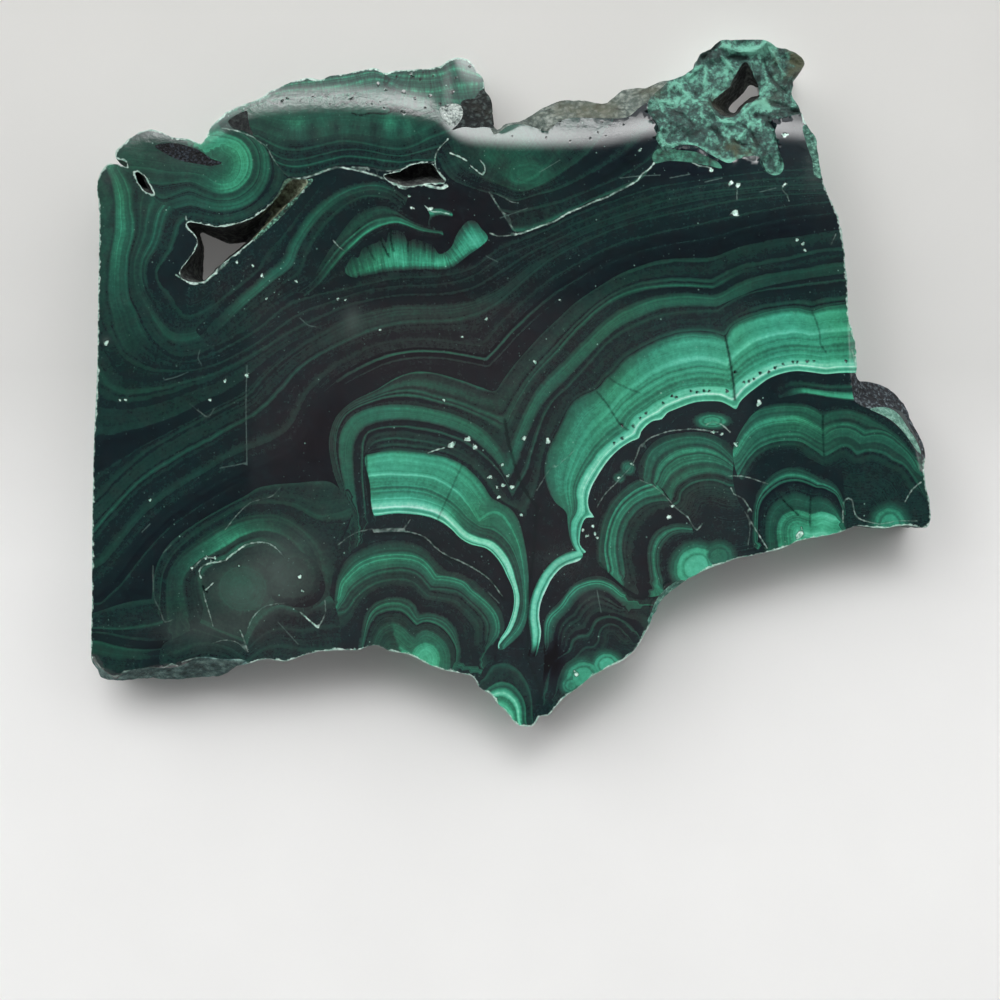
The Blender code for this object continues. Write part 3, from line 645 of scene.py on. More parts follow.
         (812, 495), (820, 494), (830, 499), (836, 507), (840, 515)],
        [(778, 545), (777, 528), (782, 517), (790, 512), (797, 510), (812, 514), (812, 514), (822, 512),
         (835, 516)],
    ]),
    "near_lobe": (
        [(150, 640), (152, 595), (154, 576), (160, 558), (170, 543), (182, 533), (198, 522), (222, 508),
         (245, 496), (258, 488), (272, 485), (297, 483), (330, 482), (345, 496), (352, 512), (345, 530),
         (336, 560), (330, 600), (336, 655), (250, 672), (160, 650)], [
        [(150, 625), (153, 595), (154, 578), (159, 561), (167, 548), (180, 535), (198, 522), (222, 508),
         (245, 496), (258, 488), (272, 485), (297, 483), (330, 482), (350, 486)],
        [(158, 620), (160, 592), (162, 576), (169, 560), (180, 546), (200, 530), (222, 518), (237, 508),
         (256, 502), (280, 502), (297, 505), (311, 513), (320, 517), (340, 513), (356, 508)],
        [(168, 615), (167, 592), (169, 576), (180, 557), (197, 543), (222, 528), (240, 520), (260, 516),
         (280, 518), (297, 527), (308, 537), (318, 552), (324, 575)],
        [(186, 612), (182, 592), (182, 580), (193, 564), (213, 553), (230, 543), (243, 535), (260, 530),
         (280, 533), (292, 540), (303, 552), (310, 574)],
        [(206, 605), (202, 590), (201, 576), (206, 567), (216, 562), (228, 558), (238, 549), (248, 545),
         (263, 542), (277, 546), (287, 556), (294, 574)],
        [(222, 604), (218, 592), (222, 581), (232, 574), (244, 571), (256, 573), (266, 580), (270, 592),
         (266, 604)],
    ]),
    "near_strips": (
        [(80, 618), (97, 612), (125, 603), (153, 599), (157, 612), (163, 622), (168, 640), (162, 660),
         (150, 690), (80, 690)], [
        [(80, 616), (97, 611), (125, 603), (153, 599), (172, 594)],
        [(80, 629), (97, 628), (115, 629), (135, 627), (158, 623), (174, 618)],
        [(80, 634), (97, 632), (112, 634), (130, 638), (155, 640), (174, 638)],
        [(80, 641), (97, 641), (112, 645), (130, 649), (155, 649), (174, 646)],
        [(80, 655), (97, 655), (112, 658), (130, 660), (155, 660), (174, 658)],
    ]),
    "near_pocket": (
        [(205, 598), (212, 619), (224, 629), (243, 636), (247, 645), (252, 625), (262, 612), (277, 605),
         (290, 607), (302, 612), (318, 605), (330, 596), (338, 660), (280, 670), (190, 668), (160, 664),
         (163, 645), (180, 636), (200, 622)], [
        [(178, 600), (196, 618), (214, 628), (232, 636), (247, 642), (247, 642), (256, 622), (266, 611),
         (280, 605), (300, 609), (330, 598)],
        [(176, 626), (196, 630), (214, 636), (232, 642), (246, 650), (246, 650), (262, 636), (280, 628),
         (300, 630), (332, 626)],
        [(176, 652), (200, 644), (222, 646), (236, 652), (246, 662), (246, 662), (262, 650), (282, 646),
         (305, 650), (334, 650)],
    ]),
    "first_disc": (
        [(203, 592), (205, 580), (212, 571), (224, 565), (240, 560), (254, 561), (266, 568), (272, 580),
         (272, 594), (267, 603), (256, 612), (249, 622), (246, 634), (243, 637), (226, 632), (213, 626),
         (209, 612), (205, 602)], [
        [(274, 612), (277, 590), (270, 569), (255, 557), (238, 555), (220, 560), (207, 573), (203, 590),
         (207, 608), (218, 623), (234, 630), (252, 628)],
        [(262, 602), (266, 588), (261, 575), (250, 568), (238, 567), (227, 572), (220, 582), (220, 594),
         (226, 604), (236, 610), (248, 610)],
        [(250, 594), (252, 587), (248, 580), (242, 577), (235, 579), (231, 585), (232, 593), (237, 598),
         (244, 598)],
    ]),
    "second_disc": (
        [(266, 566), (274, 555), (288, 549), (302, 552), (315, 562), (323, 576), (325, 590), (320, 600),
         (308, 607), (294, 607), (281, 603), (272, 598), (272, 584)], [
        [(268, 607), (285, 611), (304, 611), (320, 603), (329, 588), (328, 570), (318, 555), (302, 546),
         (284, 545), (268, 553)],
        [(280, 595), (296, 596), (309, 590), (314, 577), (310, 564), (298, 557), (286, 558), (276, 564)],
        [(286, 582), (294, 583), (300, 577), (298, 570), (291, 568), (286, 573)],
    ]),
}

# Pale healed fissures: half the width in plan units, how strong they show, then the line
FISSURES = [
    (0.5, 0.75, [(222, 128), (237, 131), (253, 137)]),
    (0.3, 0.4, [(253, 137), (258, 141), (267, 147), (272, 157), (280, 168), (288, 176), (300, 179)]),
    (0.8, 0.7, [(300, 179), (308, 177), (317, 174), (327, 170), (337, 167)]),
    (0.7, 0.85, [(337, 167), (345, 168), (360, 171), (380, 177), (393, 182), (400, 187)]),
    (1.3, 1.0, [(400, 187), (405, 188), (412, 184), (417, 183), (433, 187), (443, 188), (447, 186)]),
    (0.4, 0.8, [(448, 139), (438, 150), (435, 159), (436, 167), (440, 174), (447, 185)]),
    (0.3, 0.5, [(352, 167), (370, 168), (385, 171), (398, 170), (410, 166), (415, 163), (425, 164),
                (433, 162)]),
    (0.5, 0.9, [(450, 153), (460, 157), (467, 161)]),
    (0.4, 0.8, [(471, 166), (477, 171), (483, 175), (485, 172), (484, 165), (480, 160)]),
    (0.4, 0.5, [(489, 192), (494, 200), (501, 210), (506, 218), (511, 226), (515, 231)]),
    (0.3, 0.5, [(497, 194), (505, 198), (512, 202), (518, 203)]),
    (0.3, 0.5, [(503, 212), (508, 216), (511, 222)]),
    (0.4, 0.7, [(490, 233), (497, 236), (514, 235)]),
    (0.6, 0.85, [(514, 235), (525, 232), (541, 226), (555, 221), (568, 213), (580, 208), (593, 202),
                 (607, 197), (620, 190), (628, 186), (638, 180), (642, 174), (648, 170), (655, 162),
                 (663, 153)]),
    (0.5, 0.7, [(186, 216), (187, 222), (195, 236)]),
    (0.6, 0.85, [(176, 275), (184, 280), (193, 284), (200, 283), (203, 280)]),
    (1.0, 0.6, [(264, 231), (250, 243), (238, 252), (226, 263), (214, 274), (204, 283)]),
    (0.4, 0.45, [(254, 217), (246, 224), (236, 230), (222, 227)]),
    (0.3, 0.4, [(225, 530), (237, 515), (250, 503), (262, 499), (272, 496), (281, 487)]),
    (0.3, 0.45, [(597, 507), (605, 494), (617, 482), (632, 465), (637, 455), (641, 445), (646, 448)]),
    (0.3, 0.5, [(640, 446), (652, 437), (660, 434), (670, 431), (680, 430), (690, 429), (710, 431),
                (718, 432)]),
    (0.3, 0.35, [(640, 480), (655, 487), (668, 499), (676, 508), (688, 517)]),
    (0.4, 0.65, [(688, 517), (693, 526), (697, 530), (702, 524)]),
    (0.3, 0.6, [(728, 476), (740, 476), (750, 478), (768, 484)]),
    (0.4, 0.65, [(731, 488), (734, 494), (742, 498), (752, 512)]),
    (0.4, 0.7, [(745, 512), (750, 520), (756, 530), (767, 548)]),
    (0.3, 0.4, [(748, 515), (750, 530), (748, 545)]),
    (0.5, 0.6, [(843, 522), (843, 510), (844, 502), (848, 498), (852, 500), (854, 510), (857, 517),
                (865, 521)]),
    (0.3, 0.45, [(865, 521), (880, 524), (897, 521), (917, 521)]),
    (0.4, 0.6, [(905, 502), (912, 490), (921, 482)]),
    (0.3, 0.35, [(537, 490), (546, 475), (553, 465)]),
    (0.3, 0.35, [(556, 467), (566, 458), (575, 450)]),
    (0.5, 0.8, [(428, 453), (436, 450), (444, 448)]),
    (0.3, 0.35, [(402, 530), (406, 526), (410, 520)]),
    (0.3, 0.4, [(737, 184), (737, 200)]),
    (0.4, 0.7, [(785, 183), (782, 189), (787, 195), (789, 201)]),
    (0.3, 0.5, [(836, 234), (831, 245)]),
    (0.6, 0.8, [(663, 150), (668, 151), (674, 150)]),
    (0.5, 0.6, [(692, 162), (700, 166), (708, 167), (713, 170)]),
    (0.5, 0.8, [(425, 206), (431, 211), (441, 212), (449, 214)]),
    (0.5, 0.6, [(706, 425), (713, 422), (722, 425), (730, 432)]),
    (0.5, 0.4, [(852, 350), (856, 366), (858, 380)]),
    (0.3, 0.3, [(190, 404), (200, 412), (208, 417), (214, 409)]),
    (0.5, 0.9, [(201, 578), (199, 571), (203, 566), (211, 563), (219, 562), (226, 560)]),
    (0.6, 0.85, [(226, 560), (231, 555), (237, 551), (244, 546), (253, 543), (262, 542)]),
    (0.4, 0.55, [(262, 542), (270, 544), (278, 550), (285, 558)]),
    (0.5, 0.8, [(205, 590), (209, 587), (213, 583)]),
    (0.4, 0.6, [(192, 570), (197, 564), (204, 558), (214, 558)]),
    (0.4, 0.5, [(203, 592), (206, 602), (209, 612), (213, 626)]),
    (0.5, 0.7, [(240, 630), (243, 637), (246, 646), (248, 652)]),
    (0.4, 0.45, [(248, 628), (254, 616), (264, 607), (274, 604), (286, 603)]),
    (0.3, 0.4, [(213, 643), (226, 640), (238, 643), (247, 652)]),
    (0.6, 0.95, [(300, 612), (309, 620), (318, 628)]),
    (0.4, 0.5, [(318, 628), (325, 614), (325, 600)]),
    (1.6, 0.45, [(375, 531), (388, 530), (402, 530)]),
    (0.4, 0.5, [(402, 531), (414, 533), (426, 538), (436, 548), (448, 556), (462, 562), (478, 571),
                (490, 580), (502, 596)]),
    (0.3, 0.45, [(338, 545), (347, 538), (358, 532), (372, 529)]),
    (0.5, 0.25, [(153, 566), (153, 580), (155, 600), (160, 610), (165, 622), (172, 620)]),
    (0.6, 0.5, [(94, 657), (99, 666), (107, 674), (116, 677)]),
    (0.6, 0.6, [(116, 677), (124, 672), (136, 670), (150, 668), (164, 668), (172, 664), (178, 666)]),
    (0.5, 0.45, [(182, 662), (196, 658), (214, 659), (236, 661), (256, 663)]),
    (0.4, 0.5, [(345, 251), (338, 246), (333, 240)]),
]

# Dark joints between lobes, in the same form
SEAMS = [
    (0.5, 0.95, [(336, 106), (342, 101), (347, 104), (351, 100), (357, 103)]),
    (0.6, 0.95, [(366, 103), (373, 101), (378, 105), (384, 102), (390, 108), (396, 106), (403, 111),
                 (411, 110)]),
    (0.4, 0.8, [(282, 102), (287, 98), (293, 100)]),
    (0.4, 0.8, [(386, 76), (384, 83), (388, 89), (395, 91)]),
    (0.9, 0.85, [(725, 336), (728, 350), (731, 366), (733, 380), (735, 400)]),
    (0.3, 0.6, [(812, 311), (819, 330), (821, 345), (826, 352)]),
    (0.4, 0.7, [(597, 392), (607, 404), (612, 412), (620, 424), (628, 430)]),
    (0.4, 0.6, [(608, 377), (615, 382), (627, 388), (640, 393)]),
    (1.2, 0.7, [(505, 420), (508, 440), (512, 455), (518, 475), (526, 492), (537, 507)]),
    (0.8, 0.6, [(537, 507), (533, 560), (528, 600), (528, 640), (527, 655), (533, 672), (540, 690),
                (540, 700), (537, 703)]),
    (0.9, 0.85, [(372, 533), (385, 534), (402, 533), (420, 537), (432, 541), (443, 555), (455, 561),
                 (470, 565), (482, 573), (493, 583), (504, 600)]),
    (0.7, 0.7, [(600, 563), (607, 572), (620, 585), (632, 597), (650, 596)]),
    (0.7, 0.7, [(600, 180), (612, 173), (624, 165), (640, 158)]),
    (0.6, 0.8, [(783, 500), (790, 507), (798, 515)]),
    (0.6, 0.7, [(811, 495), (810, 510), (810, 525)]),
    (0.5, 0.7, [(823, 416), (823, 435), (824, 456)]),
    (0.7, 0.8, [(366, 454), (367, 475), (369, 495), (372, 515)]),
    (0.3, 0.6, [(464, 461), (458, 474), (452, 488), (446, 501), (438, 519)]),
    (0.6, 0.9, [(380, 237), (384, 247), (389, 257)]),
    (0.5, 0.9, [(391, 229), (391, 240), (394, 251)]),
    (0.5, 0.8, [(408, 240), (408, 251)]),
    (0.4, 0.7, [(368, 247), (371, 254), (375, 260)]),
    (0.4, 0.6, [(425, 243), (424, 250)]),
    (0.8, 0.9, [(396, 108), (402, 107), (408, 109), (416, 112), (426, 113), (434, 111)]),
    (0.5, 0.9, [(352, 113), (360, 115), (372, 113), (384, 114), (394, 111), (404, 113), (420, 116)]),
    (0.4, 0.9, [(268, 101), (277, 104), (284, 99), (281, 104)]),
    (0.4, 0.9, [(322, 94), (326, 97), (330, 94)]),
    (0.4, 0.9, [(353, 96), (356, 92), (352, 99)]),
    (0.5, 0.8, [(383, 73), (389, 80), (386, 84)]),
    (0.6, 0.9, [(200, 560), (207, 557), (214, 560)]),
    (0.8, 0.9, [(203, 586), (204, 590), (207, 592)]),
    (0.5, 0.6, [(248, 232), (257, 224), (268, 213)]),
]

# Fine scratches in the polish
SCRATCHES = [
    [(200, 350), (198, 358), (201, 364)],
    [(164, 380), (176, 377), (188, 372)],
    [(220, 468), (246, 463)],
    [(247, 365), (246, 400), (247, 465)],
    [(278, 622), (288, 633), (298, 644)],
    [(597, 590), (601, 612)],
    [(620, 178), (640, 176), (660, 175)],
    [(670, 178), (690, 174)],
    [(705, 182), (722, 178)],
    [(760, 192), (776, 188)],
    [(488, 592), (499, 603)],
    [(142, 532), (150, 524)],
    [(163, 553), (171, 545)],
    [(300, 318), (308, 325), (316, 327)],
    [(486, 256), (498, 262)],
    [(500, 218), (528, 208)],
    [(540, 172), (560, 160)],
]

# Ridges of pale crystals on the crust: half the width, how strong they show, then the line
RIDGES = [
    (3.0, 0.9, [(668, 90), (676, 84), (684, 92), (692, 98), (700, 106), (704, 116), (708, 125)]),
    (2.2, 0.8, [(700, 106), (712, 112), (722, 121), (735, 122), (745, 112), (757, 103), (768, 108)]),
    (2.6, 0.7, [(662, 128), (660, 136), (664, 144), (676, 145), (697, 145)]),
    (2.0, 0.9, [(668, 145), (682, 144), (697, 146), (707, 153), (718, 158), (731, 162), (740, 159),
                (752, 155)]),
    (3.4, 1.4, [(722, 46), (734, 50), (748, 52), (760, 48), (766, 43)]),
    (1.8, 0.9, [(722, 56), (728, 64), (733, 70)]),
    (2.2, 0.9, [(690, 76), (698, 68), (704, 66), (706, 74), (704, 84)]),
    (1.6, 0.8, [(752, 62), (752, 74), (756, 86), (759, 94)]),
    (1.5, 0.6, [(766, 44), (774, 56), (780, 68), (788, 78)]),
    (1.8, 0.7, [(759, 158), (762, 168), (772, 176), (780, 172), (783, 164)]),
    (1.5, 0.6, [(738, 140), (746, 130), (752, 120)]),
    (1.4, 0.6, [(648, 101), (660, 101), (672, 104)]),
]

# Deep creases in the crust, in the same form; they are cut into the relief and painted darker as painted
# shade
CREASES = [
    (2.4, 0.9, [(712, 127), (718, 134), (722, 141)]),
    (1.8, 0.9, [(732, 141), (740, 144), (746, 146)]),
    (2.0, 0.8, [(709, 98), (714, 106), (722, 116)]),
    (2.2, 0.8, [(756, 116), (764, 116), (772, 122), (776, 130)]),
    (2.4, 0.9, [(772, 103), (784, 106), (798, 114)]),
    (1.6, 0.8, [(703, 58), (712, 50), (720, 44)]),
    (1.8, 0.7, [(728, 58), (736, 56), (746, 58)]),
    (1.5, 0.7, [(672, 152), (688, 150), (704, 156)]),
    (1.6, 0.7, [(742, 124), (752, 134), (758, 146)]),
    (2.0, 0.7, [(784, 58), (790, 60), (800, 66)]),
    (1.6, 0.7, [(764, 60), (768, 72), (776, 84), (786, 92)]),
    (1.6, 0.6, [(672, 112), (684, 116), (694, 126)]),
]

# Small chips that show pale stone: centre, radius, and how long they are for their width
PALE_CHIPS = [
    ((452, 445), 3.6, 1.7), ((468, 439), 2.8, 1.5), ((475, 447), 2.6, 1.3), ((490, 477), 2.0, 1.6),
    ((508, 476), 1.6, 1.5), ((497, 487), 1.7, 2.0), ((503, 485), 1.8, 1.3), ((512, 487), 2.2, 1.6),
    ((499, 497), 1.8, 1.6), ((502, 465), 1.8, 1.9), ((521, 515), 1.7, 1.4), ((524, 438), 2.1, 1.6),
    ((548, 441), 2.6, 1.5), ((535, 362), 1.8, 1.7), ((486, 319), 1.5, 1.6), ((462, 337), 1.3, 1.9),
    ((735, 213), 3.6, 1.4), ((731, 183), 2.4, 1.8), ((738, 185), 2.2, 1.3), ((106, 343), 2.4, 1.6),
    ((247, 375), 2.0, 1.4), ((210, 400), 1.3, 1.6), ((225, 381), 1.5, 1.8), ((120, 400), 1.2, 2.0),
    ((126, 400), 1.2, 1.6), ((300, 577), 1.9, 1.5), ((669, 517), 2.3, 1.6), ((672, 506), 1.7, 1.6),
    ((736, 444), 2.0, 1.5), ((759, 403), 2.7, 1.6), ((632, 464), 1.4, 1.6), ((619, 478), 1.3, 1.8),
    ((587, 536), 1.5, 1.7), ((595, 534), 1.5, 1.5), ((597, 538), 1.3, 1.8), ((583, 530), 1.3, 1.6),
    ((593, 526), 1.5, 1.5), ((684, 155), 2.0, 1.8), ((678, 152), 1.7, 1.5), ((192, 568), 1.2, 1.9),
    ((206, 558), 1.5, 2.1), ((215, 558), 1.3, 1.8), ((302, 591), 1.3, 2.0), ((239, 566), 1.1, 1.4),
    ((711, 170), 2.0, 1.5), ((409, 196), 1.2, 1.6), ((412, 208), 1.8, 2.4), ((430, 209), 2.2, 1.8),
    ((803, 244), 1.6, 1.8), ((785, 184), 1.5, 1.4), ((345, 300), 1.0, 2.0), ((338, 299), 1.2, 1.5),
    ((266, 299), 1.2, 1.4), ((296, 281), 1.4, 1.8), ((237, 262), 1.4, 1.8), ((262, 276), 1.6, 1.7),
    ((253, 266), 1.4, 1.3), ((785, 135), 2.6, 1.8), ((797, 240), 1.5, 1.6), ((805, 250), 1.4, 1.5),
    ((576, 674), 2.4, 1.6), ((713, 432), 1.7, 2.0), ((722, 434), 1.4, 1.8), ((855, 390), 1.4, 3.2),
    ((860, 396), 1.2, 3.4), ((800, 534), 4.2, 2.4), ((120, 118), 1.5, 1.5), ((640, 150), 1.6, 2.2),
    ((560, 300), 1.2, 1.8), ((444, 400), 1.3, 2.0), ((380, 330), 1.2, 1.8), ((150, 500), 1.1, 1.6),
]

# Dark pits, mostly in the palest growth
DARK_PITS = [
    ((646, 413), 1.6), ((640, 418), 1.3), ((633, 426), 1.8), ((622, 438), 1.9), ((614, 443), 1.4),
    ((663, 403), 1.5), ((672, 396), 1.3), ((676, 397), 1.5), ((691, 391), 1.3), ((697, 392), 1.4),
    ((704, 391), 1.5), ((709, 391), 1.3), ((727, 391), 1.7), ((744, 382), 1.5), ((749, 381), 1.4),
    ((754, 379), 1.4), ((760, 373), 1.7), ((769, 372), 1.4), ((775, 368), 1.7), ((783, 364), 1.4),
    ((793, 362), 1.5), ((797, 362), 1.4), ((807, 361), 1.7), ((814, 361), 1.2), ((846, 361), 1.5),
    ((412, 77), 1.9), ((420, 79), 1.7), ((452, 92), 2.2), ((622, 425), 2.0), ((735, 372), 1.6),
    ((430, 96), 1.6), ((404, 92), 1.8), ((578, 126), 1.4), ((560, 124), 1.2), ((602, 122), 1.5),
    ((598, 132), 1.2), ((546, 138), 1.3), ((606, 136), 1.4), ((425, 108), 1.6), ((440, 104), 1.4),
    ((380, 102), 1.2), ((366, 104), 1.3), ((415, 98), 1.4), ((449, 118), 1.8), ((456, 110), 1.6),
    ((444, 111), 1.3), ((397, 77), 1.4), ((433, 76), 1.3), ((456, 78), 1.2), ((470, 66), 1.5),
    ((282, 101), 1.6, 2.0), ((287, 98), 1.3, 1.6), ((300, 101), 1.2, 2.2), ((313, 97), 1.5, 2.0),
    ((330, 104), 1.2, 2.4), ((352, 99), 1.8, 1.8), ((372, 104), 1.4, 2.4), ((384, 108), 1.6, 2.2),
    ((403, 112), 1.7, 2.0), ((378, 84), 1.8, 1.6), ((386, 90), 1.5, 2.2), ((512, 136), 1.1, 2.0),
    ((570, 141), 1.3, 1.6), ((590, 139), 1.5, 1.8), ((624, 124), 1.3, 2.0),
]

# Hearts of small round growths: centre, radii where they fade out, and strength
EYES = [
    ((697, 568), (34, 34), 1.0), ((719, 557), (24, 22), 0.55), ((607, 665), (22, 20), 0.9),
    ((583, 677), (28, 26), 0.85), ((571, 685), (15, 14), 0.7), ((890, 524), (27, 27), 0.75),
    ((712, 421), (24, 11), 0.8), ((245, 588), (32, 30), 0.07), ((528, 174), (34, 18), 0.35),
    ((497, 718), (22, 22), 0.6), ((628, 468), (10, 10), 0.6), ((619, 478), (8, 7), 0.5),
]

# Iron staining: centre, radii, amount
EARTH = [
    ((738, 150), (13, 8), 1.6), ((792, 63), (15, 13), 1.9), ((560, 108), (60, 12), 0.6),
    ((652, 92), (18, 8), 0.6), ((600, 112), (30, 8), 0.4), ((720, 100), (14, 10), 0.5),
    ((768, 96), (16, 12), 0.3),
]

# Where the face has lost its polish: centre, radii, amount
WORN = [
    ((130, 150), (24, 12), 0.15), ((165, 139), (26, 6), 0.3), ((108, 180), (8, 16), 0.15),
    ((240, 104), (26, 12), 0.3), ((550, 118), (50, 8), 0.4), ((335, 103), (62, 7), 0.32),
    ((430, 114), (22, 8), 0.35), ((590, 130), (36, 6), 0.2), ((815, 160), (12, 40), 0.2),
    ((790, 106), (14, 6), 0.5),
]

# Grey haze under the polish
HAZE = [
    ((244, 592), (36, 30), 0.5), ((282, 575), (24, 24), 0.5), ((205, 632), (50, 16), 0.4),
    ((352, 320), (9, 13), 0.55), ((190, 158), (30, 10), 0.2), ((110, 175), (12, 14), 0.15),
    ((560, 560), (30, 16), 0.15), ((106, 340), (4, 3), 0.9), ((590, 595), (16, 10), 0.25),
    ((330, 130), (60, 14), 0.15), ((286, 548), (34, 18), 0.35),
]

# Where the dark stone is painted brown-grey rather than blue: mostly a painted reflection of what hangs over
# the face, partly the stone's own brown
BROWN_AND_REFLECTION = [
    ((430, 350), (150, 80), 1.1), ((300, 440), (60, 45), 0.8), ((560, 540), (110, 90), 0.7),
    ((690, 490), (50, 40), 0.5), ((265, 590), (70, 50), 0.8), ((420, 590), (80, 60), 0.5),
    ((290, 590), (30, 26), 0.6), ((640, 600), (50, 40), 0.5), ((455, 215), (80, 45), 0.8),
    ((250, 285), (50, 25), 0.5), ((220, 625), (60, 16), 0.6),
]

# Where the polish is strewn with fine flecks
FLECKED = [
    ((260, 300), (70, 50), 0.8), ((200, 360), (50, 40), 0.9), ((160, 540), (30, 50), 0.6),
    ((300, 600), (40, 40), 0.5), ((470, 190), (50, 40), 0.8), ((350, 280), (50, 20), 0.6),
    ((505, 480), (40, 40), 0.6), ((340, 530), (40, 20), 0.9), ((650, 590), (40, 20), 0.8),
    ((740, 540), (20, 30), 0.7), ((700, 170), (80, 14), 0.4), ((300, 130), (60, 14), 0.4),
]

